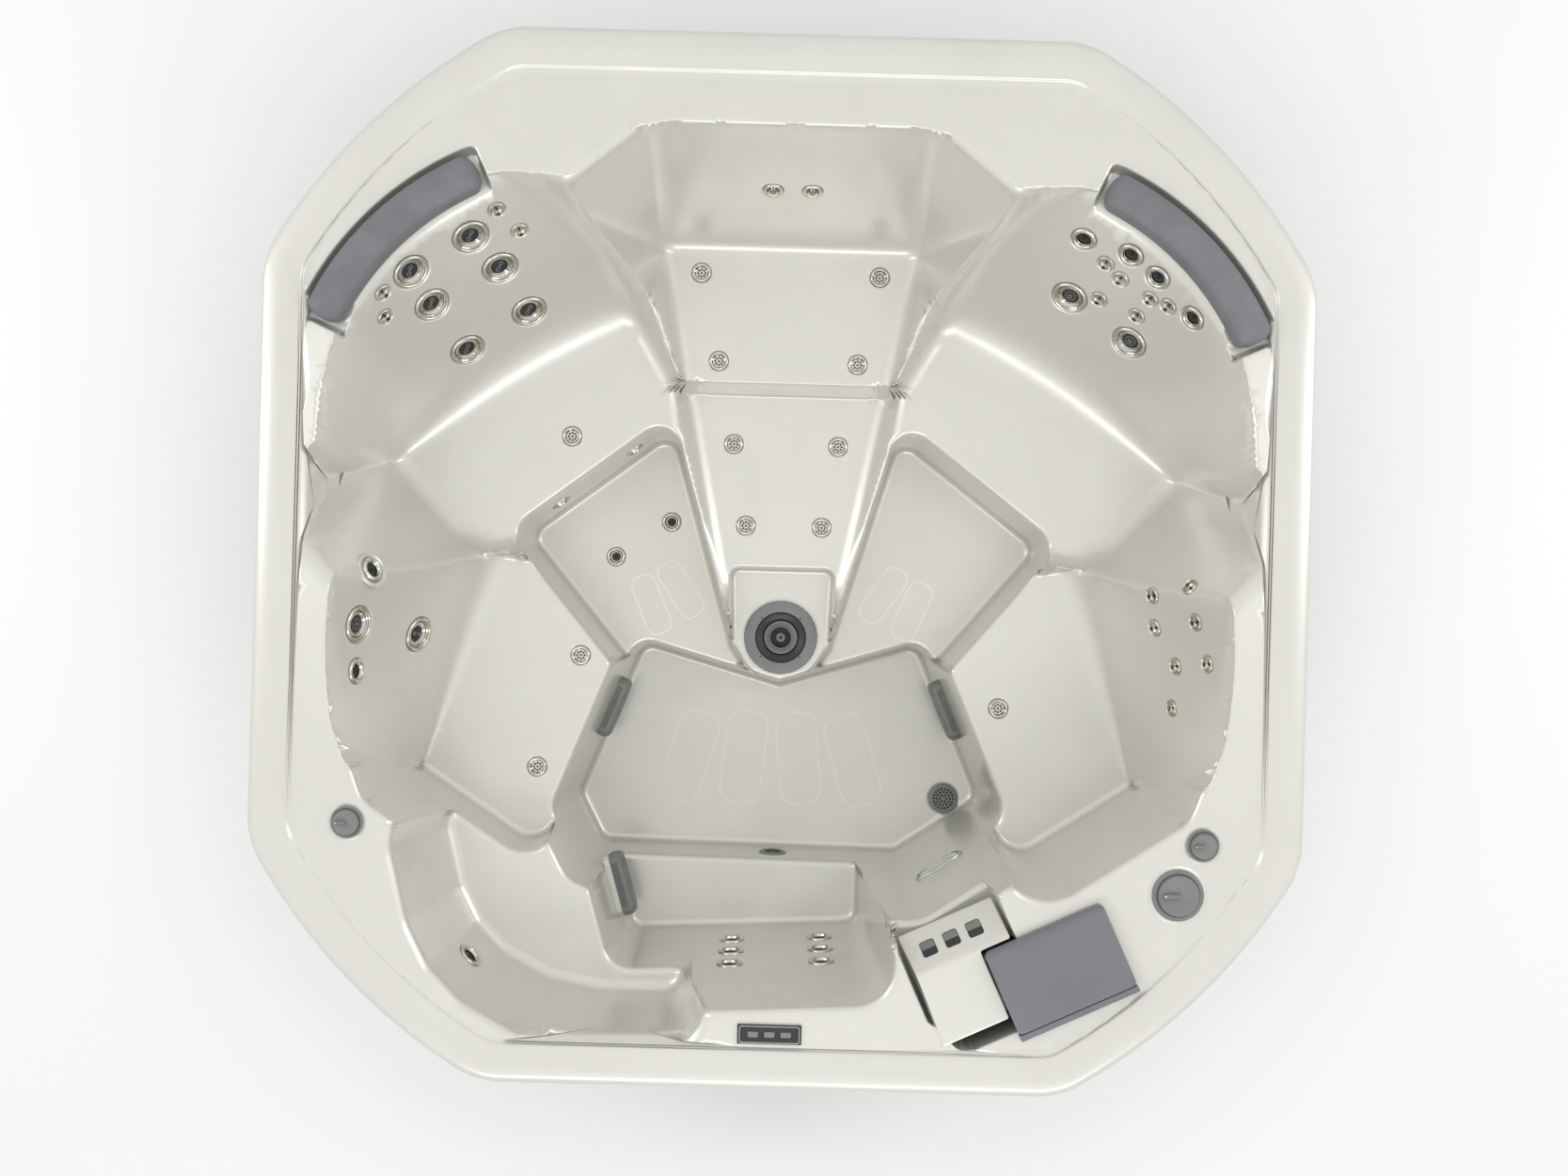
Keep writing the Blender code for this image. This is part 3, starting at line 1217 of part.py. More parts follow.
def add_water_fittings(everything, frames):
    """Suction grilles, the front one deeper, and the drain, return, sensor and light."""
    floor, front = everything[FLOOR], everything[FRONT_STEP]
    flat = flat_fittings(everything)
    for name in ("grille_left", "grille_right", "grille_front"):
        f, _, _, depth = flat[name]
        make(name, [(grille_shape(depth), STAY)], grey_plastic(), f)
    round_fittings = (("floor_drain", surface_frame(DRAIN_SHARES, everything), FLOOR_DRAIN, grey_plastic()),
                      ("front_return", wall_frame(floor, FLOOR_FRONT, RETURN_WALL_SHARE,
                                                  (FLOOR_Z + FRONT_STEP_Z) / 2), RETURN_FITTING, grey_plastic()),
                      ("sensor_fitting", wall_frame(front, FRONT_STEP_RIGHT, SENSOR_WALL_SHARE, SEAT_Z),
                       SENSOR_FITTING, chrome()))
    for name, f, kind, finish in round_fittings:
        frames.append((f, kind))
        make(name, [(jet_shape(kind), f)], finish)
    low, half = RECESS + FIT, LIGHT_HEIGHT / 2
    lens = lathe([(0, low), (half, low), (half * BEZEL_SHARE, low + LIGHT_DEPTH / 2),
                  (half / 2, low + LIGHT_DEPTH), (0, low + LIGHT_DEPTH)], LIGHT_STEPS)
    stretch = Matrix.Diagonal((LIGHT_LENGTH / LIGHT_HEIGHT, 1, 1, 1))
    make("light_lens", [(lens, stretch)], lens_plastic(), flat["light_lens"][0])


def block_frame(along, back, z):
    """Axes of the filter block: X along its front edge, Y towards the tub's middle."""
    x, y = block_point(along, back)
    return frame_at((x, y, z), (0, 0, 1), (math.cos(BLOCK_TURN), math.sin(BLOCK_TURN), 0))


def lid_section():
    """The lid's section across its hinge: a thick plate whose front edge is rounded."""
    nose = []
    for step in range(LID_NOSE_STEPS + 1):
        angle = math.pi / 2 * step / LID_NOSE_STEPS
        nose.append((LID_SETBACK + LID_NOSE * (1 - math.sin(angle)), LID_NOSE * (math.cos(angle) - 1)))
    back = LID_DEPTH - HINGE_STRIP
    return [(back, 0)] + nose + [(LID_SETBACK, -LID_THICKNESS), (back, -LID_THICKNESS)]


def add_filter_lid():
    """The lid over the filter well, hinged at its upper back edge to a fixed strip."""
    top = DECK_Z + FIT + LID_THICKNESS
    hinge = block_frame(0, LID_DEPTH - HINGE_STRIP, top)
    section = [(LID_DEPTH - HINGE_STRIP - back, z) for back, z in lid_section()]
    upright = Matrix(((0, 0, 1, 0), (1, 0, 0, 0), (0, 1, 0, 0), (0, 0, 0, 1)))
    make("filter_lid", [(prism(section, 0, LID_LENGTH), upright)], violet_plastic(), hinge)
    strip = box((0, -HINGE_STRIP, -LID_THICKNESS), (LID_LENGTH, -2 * FIT, 0))
    make("lid_hinge_strip", [(strip, STAY)], violet_plastic(), hinge)


def add_filters():
    """Two pleated cartridges standing on the spigots of their water box in the well."""
    middle, depth = (WELL_LEFT + WELL_RIGHT) / 2, (WELL_FRONT + WELL_BACK) / 2
    ring = []
    for step in range(2 * CARTRIDGE_PLEATS):
        angle = math.pi * step / CARTRIDGE_PLEATS
        radius = CARTRIDGE_RADIUS - (step % 2) * CARTRIDGE_PLEAT_DEPTH
        ring.append((radius * math.cos(angle), radius * math.sin(angle)))
    star = prism(ring, 0, CARTRIDGE_HEIGHT)
    spigot = lathe([(0, WATER_BOX_HEIGHT / 2), (SPIGOT_RADIUS, WATER_BOX_HEIGHT / 2),
                    (SPIGOT_RADIUS, SPIGOT_HEIGHT), (0, SPIGOT_HEIGHT)], SPIGOT_STEPS)
    half_x, half_y = CARTRIDGE_PITCH / 2 + SPIGOT_RADIUS, 2 * SPIGOT_RADIUS
    water_box = box((-half_x, -half_y, FIT), (half_x, half_y, WATER_BOX_HEIGHT))
    pieces = [(water_box, STAY)]
    for side, name in ((-1, "filter_cartridge_left"), (1, "filter_cartridge_right")):
        along = side * CARTRIDGE_PITCH / 2
        pieces.append((spigot, Matrix.Translation((along, 0, 0))))
        make(name, [(star, STAY)], filter_paper(),
             block_frame(middle + along, depth, WELL_Z + SPIGOT_HEIGHT + FIT))
    fused("filter_water_box", pieces, grey_plastic(), block_frame(middle, depth, WELL_Z))


def cover_place(along, run, below):
    """A point of the skimmer cover, at a run up its tilted front (below 0) or over the flat deck (above 0).

    below is the depth under its outer face."""
    rise = DECK_Z - COVER_LOW_Z
    tilt = math.atan2(rise, COVER_RUN)
    slope_length = math.hypot(COVER_RUN, rise)
    top = FIT + COVER_THICKNESS
    if run < -SMALLEST:
        back = run * COVER_RUN / slope_length + below * math.sin(tilt)
        z = DECK_Z + run * rise / slope_length + top - below * math.cos(tilt)
    elif run < SMALLEST:
        back, z = below * math.tan(tilt / 2), DECK_Z + top - below
    else:
        back, z = run, DECK_Z + top - below
    x, y = block_point(along, back)
    return x, y, z


def add_skimmer():
    """The moulded cover: a tilted front with three windows, each closed by a weir, and a flat top."""
    slope = math.hypot(COVER_RUN, DECK_Z - COVER_LOW_Z)
    low = -(slope + WINDOW_HEIGHT) / 2
    starts = [WINDOW_FIRST + k * WINDOW_PITCH - WINDOW_WIDTH / 2 for k in range(WINDOW_COUNT)]
    columns = sorted([COVER_LEFT, COVER_RIGHT, COVER_TOP_RIGHT] + starts + [s + WINDOW_WIDTH for s in starts])
    rows = [-slope, low, low + WINDOW_HEIGHT, 0, COVER_BACK]
    missing = [(i, 1) for i, column in enumerate(columns)
               if any(start - SMALLEST < column < start + WINDOW_WIDTH - SMALLEST for start in starts)]
    missing += [(i, 3) for i in range(columns.index(COVER_TOP_RIGHT), len(columns) - 1)]
    plate = grid_plate(columns, rows, missing, lambda u, v, side: cover_place(u, v, (1 - side) * COVER_THICKNESS))
    make("skimmer_cover", [(plate, STAY)], acrylic())
    along = Vector((math.cos(BLOCK_TURN), math.sin(BLOCK_TURN), 0))
    half, thick = WINDOW_WIDTH / 2 - WEIR_GAP, WEIR_THICKNESS / 2
    for number, start in enumerate(starts):
        middle = start + WINDOW_WIDTH / 2
        hinge = Vector(cover_place(middle, low + WEIR_GAP + thick, COVER_THICKNESS / 2))
        above = Vector(cover_place(middle, low + WINDOW_HEIGHT - WEIR_GAP, COVER_THICKNESS / 2))
        up = (above - hinge).normalized()
        flap = box((-half, -thick, -thick), (half, (above - hinge).length, thick))
        make(f"weir_{number + 1}", [(flap, STAY)], grey_plastic(), frame_at(hinge, along.cross(up), along))


def pillow_shape(side):
    """A curved cushion: a crowned section swept round the rim, its ends drawn in."""
    cx, cy = side * REAR_LIP_CENTRE_SHARES[0] * HALF, REAR_LIP_CENTRE_SHARES[1] * HALF
    middle, half = REAR_LIP_RADIUS + PILLOW_DEPTH / 2, PILLOW_DEPTH / 2
    width_kept, height_kept = 1 - PILLOW_WIDTH_DRAW_SHARE, 1 - PILLOW_HEIGHT_DRAW_SHARE
    verts, faces = [], []
    for step in range(PILLOW_STEPS + 1):
        share = 2 * step / PILLOW_STEPS - 1
        draw = max(math.sqrt(1 - abs(share) ** 6), PILLOW_END_SHARE)
        angle = math.pi / 4 + PILLOW_SPAN / 2 * share
        for across, up in PILLOW_SECTION_SHARES:
            radius = middle + across * half * (width_kept + PILLOW_WIDTH_DRAW_SHARE * draw)
            rise = up * PILLOW_THICKNESS * (height_kept + PILLOW_HEIGHT_DRAW_SHARE * draw)
            verts.append((cx + side * radius * math.cos(angle), cy + radius * math.sin(angle),
                          PILLOW_SEAT_Z + FIT + rise))
    count = len(PILLOW_SECTION_SHARES)
    for step in range(PILLOW_STEPS):
        for k in range(count):
            a, b = step * count + k, step * count + (k + 1) % count
            faces.append([a, b, b + count, a + count])
    faces += [list(range(count))[::-1], list(range(len(verts) - count, len(verts)))]
    return verts, faces


def stem_shape(kind):
    """The fixed part of a valve: its stem through the deck and the collar round the knob."""
    flange, barrel, depth, steps = kind
    wall = turning_bore(flange * KNOB_SHARE, steps)
    seat = FLANGE / 2
    return lathe([(0, -depth), (barrel, -depth), (barrel, FIT), (flange, FIT), (flange * BEZEL_SHARE, FLANGE),
                  (wall, FLANGE), (wall, seat), (0, seat)], steps)


def knob_pieces(kind):
    """The turning part of a valve: a round cap and the raised bar that shows where it points."""
    cap, steps = kind[0] * KNOB_SHARE, kind[3]
    low, edge = FLANGE / 2 + FIT, KNOB_HEIGHT - KNOB_GRIP
    disc = lathe([(0, low), (cap, low), (cap, edge), (cap * BEZEL_SHARE, KNOB_HEIGHT), (0, KNOB_HEIGHT)], steps)
    half = cap * KNOB_GRIP_SHARE
    bar = box((-cap * KNOB_SHARE, -half, edge), (half, half, KNOB_HEIGHT + KNOB_GRIP))
    return [(disc, STAY), (bar, STAY)]


def add_valves(everything, frames):
    """The diverter on the right rim and an air control on each side."""
    mirrored_air = (-AIR_CONTROL_SHARES[0], AIR_CONTROL_SHARES[1])
    for name, shares, kind in (("diverter", DIVERTER_SHARES, DIVERTER),
                               ("air_control_right", AIR_CONTROL_SHARES, AIR_CONTROL),
                               ("air_control_left", mirrored_air, AIR_CONTROL)):
        f = surface_frame(shares, everything)
        frames.append((f, kind))
        make(f"{name}_stem", [(stem_shape(kind), f)], grey_plastic())
        fused(f"{name}_knob", knob_pieces(kind), grey_plastic(), f)


def add_control_panel():
    """The control panel on the front rim with its push buttons."""
    half_x, half_y = PANEL_LENGTH / 2, PANEL_DEPTH / 2
    middles = [(k - (BUTTON_COUNT - 1) / 2) * BUTTON_PITCH for k in range(BUTTON_COUNT)]
    rows = [-half_y, -BUTTON_DEPTH / 2, BUTTON_DEPTH / 2, half_y]
    columns = [-half_x]
    for middle in middles:
        columns += [middle - BUTTON_LENGTH / 2, middle + BUTTON_LENGTH / 2]
    columns.append(half_x)
    missing = [(1 + 2 * k, 1) for k in range(BUTTON_COUNT)]
    f = Matrix.Translation((0, PANEL_Y_SHARE * HALF, DECK_Z + FIT))
    plate = grid_plate(columns, rows, missing, lambda u, v, side: (u, v, side * PANEL_THICKNESS))
    make("control_panel", [(plate, f)], dark_plastic())
    hx, hy = BUTTON_LENGTH / 2 - BUTTON_CLEARANCE, BUTTON_DEPTH / 2 - BUTTON_CLEARANCE
    cap = box((-hx, -hy, BUTTON_REST), (hx, hy, PANEL_THICKNESS + BUTTON_PROUD))
    for number, middle in enumerate(middles):
        make(f"panel_button_{number + 1}", [(cap, STAY)], grey_plastic(), f @ Matrix.Translation((middle, 0, 0)))


def quarter(inward):
    """The corner arc of the rim's plan at +X +Y, as a list of points."""
    ring = outline_ring(inward, RIM_STEPS)
    return ring[:len(ring) // 4]


def quarter_turn(number):
    return Matrix.Rotation(number * math.pi / 2, 4, "Z")


def planked(start, end):
    """The outer face of a straight run of planks in plan, with a groove where two planks meet."""
    run = Vector(end) - Vector(start)
    along = run.normalized()
    inward = Vector((-along.y, along.x))
    points = []
    for k in range(1, PLANK_COUNT):
        middle = Vector(start) + run * (k / PLANK_COUNT)
        points += [middle - along * GROOVE, middle + inward * GROOVE, middle + along * GROOVE]
    return [tuple(p) for p in points]


def add_cabinet():
    """Base pan, the planked cabinet wall round three sides and the corners, and the access panel."""
    make("base_pan", [(prism(outline_ring(BASE_INSET, HIDDEN_STEPS), 0, BASE_HEIGHT), STAY)], dark_plastic())
    low, top = BASE_HEIGHT + FIT, HEIGHT - LIP_DROP + CABINET_LAP
    outer, inner = (outline_ring(inward, RIM_STEPS) for inward in (CABINET_INSET, CABINET_INSET + BOARD_THICKNESS))
    last = 3 * len(outer) // 4
    outer, inner = (ring[last:] + ring[:last] for ring in (outer, inner))
    wall = [outer[0]]
    for start, end in zip(outer, outer[1:]):
        wall += planked(start, end) if math.dist(start, end) > HALF else []
        wall.append(end)
    make("cabinet_wall", [(prism(wall + inner[::-1], low, top), STAY)], cabinet_board())
    face, back = CABINET_INSET - HALF, CABINET_INSET + BOARD_THICKNESS - HALF
    half = min(abs(outer[0][0]), abs(inner[0][0])) - SEAM
    start, end = (-half, face), (half, face)
    panel = [start] + planked(start, end) + [end, (half, back), (-half, back)]
    make("access_panel", [(prism(panel, low, top), STAY)], cabinet_board())


def add_frame():
    """Support frame: a rail under the rim on posts from the base pan."""
    top = HEIGHT - SHELL_WALL - BEAD_HEIGHT - FIT
    outer = outline_ring(RAIL_INSET, HIDDEN_STEPS)
    inner = outline_ring(RAIL_INSET + RAIL_WIDTH, HIDDEN_STEPS)
    count = len(outer)
    verts = [(x, y, z) for z in (top - RAIL_HEIGHT, top) for ring in (outer, inner) for x, y in ring]
    faces = []
    for i in range(count):
        j = (i + 1) % count
        faces += [[i, j, 2 * count + j, 2 * count + i], [count + j, count + i, 3 * count + i, 3 * count + j],
                  [2 * count + i, 2 * count + j, 3 * count + j, 3 * count + i], [j, i, count + i, count + j]]
    edge = HALF - RAIL_INSET
    y = quarter(RAIL_INSET)[0][1] - POST_WIDTH
    posts = [box((edge - RAIL_WIDTH, side * y - POST_WIDTH / 2, BASE_HEIGHT + FIT),
                 (edge, side * y + POST_WIDTH / 2, top - RAIL_HEIGHT / 2)) for side in (-1, 1)]
    standing = [(post, quarter_turn(turn)) for turn in range(4) for post in posts]
    fused("support_frame", [((verts, faces), STAY)] + standing, frame_steel())


def add_pump(name, shares):
    """A pump lying along X on its foot: motor and wet end turned as one."""
    x, y = shares[0] * HALF, shares[1] * HALF
    half = MOTOR_LENGTH / 2
    body = lathe([(0, -half), (MOTOR_RADIUS, -half), (MOTOR_RADIUS, half), (WET_END_RADIUS, half),
                  (WET_END_RADIUS, half + WET_END_LENGTH / 2), (WET_END_RADIUS / 2, half + WET_END_LENGTH),
                  (0, half + WET_END_LENGTH)], PUMP_STEPS)
    axis_z = BASE_HEIGHT + WET_END_RADIUS + PUMP_CLEARANCE
    lying = Matrix.Translation((x, y, axis_z)) @ Matrix.Rotation(math.pi / 2, 4, "Y")
    plinth = box((x - PUMP_FOOT, y - PUMP_FOOT, BASE_HEIGHT + FIT),
                 (x + PUMP_FOOT, y + PUMP_FOOT, axis_z - MOTOR_RADIUS / 2))
    fused(name, [(body, lying), (plinth, STAY)], dark_plastic())


def add_spa_pack():
    """The electric box with the heater tube that passes through its foot."""
    width, depth, height = CONTROL_BOX
    x, y = CONTROL_BOX_SHARES[0] * HALF, CONTROL_BOX_SHARES[1] * HALF
    low = BASE_HEIGHT + FIT
    case = box((x - width / 2, y - depth / 2, low), (x + width / 2, y + depth / 2, low + height))
    half = HEATER_LENGTH / 2
    heater = lathe([(0, -half), (HEATER_RADIUS, -half), (HEATER_RADIUS, half), (0, half)], HEATER_STEPS)
    lying = Matrix.Translation((x, y, low + 2 * HEATER_RADIUS)) @ Matrix.Rotation(math.pi / 2, 4, "Y")
    fused("spa_pack", [(case, STAY), (heater, lying)], frame_steel())


def add_plant():
    """The water plant on the base pan: pumps, electric box with its heater, and the main pipe."""
    for number, shares in enumerate(PUMP_SHARES):
        add_pump(f"jet_pump_{number + 1}", shares)
    add_spa_pack()
    ring = outline_ring(RAIL_INSET + RAIL_WIDTH + MAIN_PIPE_RADIUS + FIT, HIDDEN_STEPS)
    start = len(ring) // 4
    path = [(px, py, MAIN_PIPE_Z) for px, py in ring[start:3 * start + 1]]
    make("main_pipe", [(tube(path, MAIN_PIPE_RADIUS, MAIN_PIPE_STEPS), STAY)], pipe_plastic())


def main():
    for obj in list(bpy.data.objects):
        bpy.data.objects.remove(obj, do_unlink=True)
    everything = pockets()
    frames = []
    mesh = shell_mesh(everything)
    mesh.shade_smooth()
    mesh.set_sharp_from_angle(angle=SHARP_EDGE)
    mesh.materials.append(acrylic())
    shell = bpy.data.objects.new("shell", mesh)
    bpy.context.collection.objects.link(shell)
    add_seat_jets(everything, frames)
    add_wall_jets(everything, frames)
    add_foot_jet(everything, frames)
    add_water_fittings(everything, frames)
    add_valves(everything, frames)
    cut(shell, make("shell_holes", [(cutter_shape(kind), f) for f, kind in frames], acrylic()))
    for side, name in ((-1, "pillow_left"), (1, "pillow_right")):
        make(name, [(pillow_shape(side), STAY)], pillow_foam())
    add_filter_lid()
    add_filters()
    add_skimmer()
    add_control_panel()
    add_cabinet()
    add_frame()
    add_plant()


main()
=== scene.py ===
# %% [markdown]
# # A hot tub seen from above
# A hot tub is a sheet of pearl acrylic, warmed and drawn by vacuum over a mould. Everything else is set in
# that sheet: jets, grilles, pillows, valves and a filter block. This script dresses the measured parts of the
# tub in finer shapes and finishes. The measured parts are loaded first, as a fixed frame in metres.

import math

import bmesh
import bpy
import numpy as np
from mathutils import Matrix, Vector
from mathutils.geometry import delaunay_2d_cdt
from mathutils.kdtree import KDTree


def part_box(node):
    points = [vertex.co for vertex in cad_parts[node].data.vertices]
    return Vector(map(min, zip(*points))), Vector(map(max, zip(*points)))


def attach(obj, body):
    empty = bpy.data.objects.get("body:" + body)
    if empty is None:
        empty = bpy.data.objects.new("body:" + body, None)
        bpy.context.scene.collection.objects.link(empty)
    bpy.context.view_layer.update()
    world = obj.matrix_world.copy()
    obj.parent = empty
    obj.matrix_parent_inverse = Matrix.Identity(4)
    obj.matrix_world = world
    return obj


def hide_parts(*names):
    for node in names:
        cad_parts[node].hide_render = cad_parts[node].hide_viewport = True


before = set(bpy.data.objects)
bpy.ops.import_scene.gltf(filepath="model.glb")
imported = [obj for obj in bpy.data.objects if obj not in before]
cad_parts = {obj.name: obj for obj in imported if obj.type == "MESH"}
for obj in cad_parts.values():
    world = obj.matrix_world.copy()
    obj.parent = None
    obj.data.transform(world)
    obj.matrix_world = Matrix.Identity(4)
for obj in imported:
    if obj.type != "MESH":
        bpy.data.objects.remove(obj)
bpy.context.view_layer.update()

# %% [markdown]
# ## Camera
# The photograph looks straight down into the tub from about four and a half metres. A camera needs three
# things to match it: its place, its turn and its lens. The lens follows from the scale of the picture.

# %% Place the camera
PICTURE_WIDTH = 1667
SENSOR_WIDTH = 36
FOCAL_PIXELS = 1800
CAMERA_PLACE = (0.005, -0.0574, 4.6364)
CAMERA_TURN = math.radians(1.6)


def linked(name, data):
    """A new object in the scene."""
    made = bpy.data.objects.new(name, data)
    bpy.context.scene.collection.objects.link(made)
    return made


camera = linked("camera", bpy.data.cameras.new("camera"))
camera.data.sensor_width = SENSOR_WIDTH
camera.data.lens = FOCAL_PIXELS / PICTURE_WIDTH * SENSOR_WIDTH
camera.location = CAMERA_PLACE
camera.rotation_euler = (0, 0, CAMERA_TURN)
bpy.context.scene.camera = camera
print("lens:", round(camera.data.lens, 2), "mm")

# %% [markdown]
# ## Light and floor
# Pearl acrylic shows its form by soft highlights, so the lamps are large and soft: one wide lamp overhead,
# two long ones at the sides that draw bright lines along the ridges, and one in front. The world is plain
# white for what the camera and the reflections see, and dimmer for the light that it casts. Two short
# helpers set the nodes here, and again in every finish.

# %% Make the lamps, the world and the floor
LAMPS = [
    ("overhead_lamp", (0.0, 0.2, 3.8), (1.6, 1.2), 12),
    ("left_lamp", (-3.0, 0.6, 2.6), (0.9, 3.0), 26),
    ("right_lamp", (3.0, 0.6, 2.6), (0.9, 3.0), 26),
    ("front_lamp", (0.2, -2.9, 3.2), (3.0, 0.7), 30),
]
LAMP_AIM = Vector((0, 0, 0.4))
WORLD_LIGHT = 0.8
FLOOR_HALF, FLOOR_TONE, FLOOR_ROUGHNESS = 15, 0.9, 0.9


def wire(target, inputs):
    """Sets a node's inputs, each to a value or to the output of another node."""
    for key, value in dict(inputs).items():
        if isinstance(value, bpy.types.NodeSocket):
            target.id_data.links.new(value, target.inputs[key])
        else:
            target.inputs[key].default_value = value


def node(tree, kind, inputs=(), **settings):
    """A new node of a tree, with its own settings and its inputs."""
    made = tree.nodes.new(kind)
    for name, value in settings.items():
        setattr(made, name, value)
    wire(made, inputs)
    return made


def new_material(name):
    """A plain material, its node tree and its shader."""
    made = bpy.data.materials.new(name)
    made.use_nodes = True
    return made, made.node_tree, made.node_tree.nodes["Principled BSDF"]


for name, place, size, power in LAMPS:
    lamp = linked(name, bpy.data.lights.new(name, "AREA"))
    lamp.data.shape = "RECTANGLE"
    lamp.data.size, lamp.data.size_y = size
    lamp.data.energy = power
    lamp.location = place
    lamp.rotation_euler = (LAMP_AIM - Vector(place)).to_track_quat("-Z", "Y").to_euler()
    lamp.visible_camera = False
    lamp.visible_glossy = name != "overhead_lamp"

world = bpy.data.worlds.new("studio")
world.use_nodes = True
tree = world.node_tree
path = node(tree, "ShaderNodeLightPath").outputs
plain = path["Is Camera Ray"]
for ray in ("Is Glossy Ray", "Is Transmission Ray"):
    plain = node(tree, "ShaderNodeMath", {0: plain, 1: path[ray]}, use_clamp=True).outputs[0]
strength = node(tree, "ShaderNodeMapRange", {"Value": plain, "To Min": WORLD_LIGHT, "To Max": 1})
wire(tree.nodes["Background"], {"Color": (1, 1, 1, 1), "Strength": strength.outputs["Result"]})
bpy.context.scene.world = world
bpy.context.scene.view_settings.view_transform = "Standard"

floor_mesh = bpy.data.meshes.new("floor")
floor_corners = [(x * FLOOR_HALF, y * FLOOR_HALF, 0) for x, y in ((-1, -1), (1, -1), (1, 1), (-1, 1))]
floor_mesh.from_pydata(floor_corners, [], [(0, 1, 2, 3)])
floor_finish, _, shader = new_material("pale_floor")
wire(shader, {"Base Color": (FLOOR_TONE, FLOOR_TONE, FLOOR_TONE, 1), "Roughness": FLOOR_ROUGHNESS})
floor_mesh.materials.append(floor_finish)
linked("floor", floor_mesh)
print("lamps:", len(LAMPS))

# %% [markdown]
# ## Effects that several finishes share
# A shader group is built once and placed in each material with its own values. The first gives the fine
# grain of moulded plastic, the second the slow change of tone that a used surface has.

# %% Shared shader groups
def new_group(name, inputs, outputs):
    """An empty shader group with named sockets, and what it is given."""
    group = bpy.data.node_groups.new(name, "ShaderNodeTree")
    for label, kind, value in inputs:
        socket = group.interface.new_socket(label, in_out="INPUT", socket_type="NodeSocket" + kind)
        socket.default_value = value
    for label, kind in outputs:
        group.interface.new_socket(label, in_out="OUTPUT", socket_type="NodeSocket" + kind)
    return group, node(group, "NodeGroupInput").outputs


def grain_group():
    """Fine even grain in object coordinates, as a height for a bump."""
    group, given = new_group("moulded_grain", [("Scale", "Float", 900.0)], [("Height", "Float")])
    place = {"Vector": node(group, "ShaderNodeTexCoord").outputs["Object"], "Scale": given["Scale"]}
    fine = node(group, "ShaderNodeTexNoise", {**place, "Detail": 3})
    cells = node(group, "ShaderNodeTexVoronoi", place)
    mixed = node(group, "ShaderNodeMath", {0: fine.outputs["Fac"], 1: cells.outputs["Distance"]},
                 operation="MULTIPLY")
    node(group, "NodeGroupOutput", {"Height": mixed.outputs[0]})
    return group


def tone_group():
    """Slow change of tone over a surface: a colour made a little lighter and darker, and a mask."""
    grey = (0.5, 0.5, 0.5, 1)
    group, given = new_group("uneven_tone",
                             [("Color", "Color", grey), ("Darker", "Color", grey), ("Scale", "Float", 6.0)],
                             [("Color", "Color"), ("Mask", "Float")])
    place = node(group, "ShaderNodeTexCoord").outputs["Object"]
    slow = node(group, "ShaderNodeTexNoise",
                {"Vector": place, "Scale": given["Scale"], "Detail": 6, "Roughness": 0.6})
    spread = node(group, "ShaderNodeMapRange",
                  {"Value": slow.outputs["Fac"], "From Min": 0.35, "From Max": 0.65})
    mixed = node(group, "ShaderNodeMix", data_type="RGBA")
    wire(mixed, {"Factor": spread.outputs["Result"], "A": given["Color"], "B": given["Darker"]})
    node(group, "NodeGroupOutput", {"Color": mixed.outputs["Result"], "Mask": spread.outputs["Result"]})
    return group


GRAIN, TONE = grain_group(), tone_group()
print("shader groups:", GRAIN.name, TONE.name)

# %% [markdown]
# ## Finishes
# Each finish is a Principled shader fed by the shared groups: the tone group colours it, the grain group
# roughens it through a bump. Only what differs from finish to finish is written here.

# %% Build the finishes
COAT_ROUGHNESS = 0.08


def finish(name, colour, darker, roughness, rougher, tone_scale=6.0, grain_scale=900.0, bump=0.1,
           depth=0.0001, metallic=0.0, coat=0.0):
    """A material with uneven tone, roughness that follows it, and a fine grain."""
    made, tree, shader = new_material(name)
    tone = node(tree, "ShaderNodeGroup", {"Color": (*colour, 1), "Darker": (*darker, 1), "Scale": tone_scale},
                node_tree=TONE).outputs
    grain = node(tree, "ShaderNodeGroup", {"Scale": grain_scale}, node_tree=GRAIN).outputs
    spread = node(tree, "ShaderNodeMapRange", {"Value": tone["Mask"], "To Min": roughness, "To Max": rougher})
    relief = node(tree, "ShaderNodeBump", {"Height": grain["Height"], "Strength": bump, "Distance": depth})
    wire(shader, {"Base Color": tone["Color"], "Roughness": spread.outputs["Result"],
                  "Normal": relief.outputs["Normal"], "Metallic": metallic, "Coat Weight": coat,
                  "Coat Roughness": COAT_ROUGHNESS})
    return made


PEARL = finish("pearl_acrylic", (0.665, 0.655, 0.6), (0.64, 0.63, 0.575), 0.28, 0.32, tone_scale=5,
               grain_scale=700, bump=0.008, metallic=0.4, coat=0.3)
# Grey plastic, and painted shade in the gap round each jet's bezel
GREY = finish("grey_plastic", (0.2, 0.21, 0.2), (0.16, 0.165, 0.16), 0.38, 0.5, bump=0.25)
# Dark plastic, and painted shade: the same finish darkens door gaps, grille backs, hole spots and bores.
DARK = finish("dark_plastic", (0.022, 0.023, 0.026), (0.014, 0.014, 0.016), 0.3, 0.45, bump=0.15)
VIOLET = finish("grey_violet_plastic", (0.168, 0.164, 0.182), (0.15, 0.146, 0.163), 0.32, 0.42, bump=0.3)
FOAM = finish("grey_violet_foam", (0.172, 0.169, 0.185), (0.15, 0.147, 0.162), 0.55, 0.68, tone_scale=14,
              grain_scale=520, bump=0.5, depth=0.0003)
CHROME = finish("jet_chrome", (0.66, 0.645, 0.585), (0.56, 0.545, 0.49), 0.1, 0.16, grain_scale=600,
                bump=0.05, metallic=1.0)
STEEL = finish("frame_steel", (0.5, 0.51, 0.52), (0.38, 0.39, 0.4), 0.3, 0.5, tone_scale=40, metallic=0.9)
PIPE = finish("white_pipe", (0.76, 0.76, 0.74), (0.68, 0.68, 0.66), 0.35, 0.45)
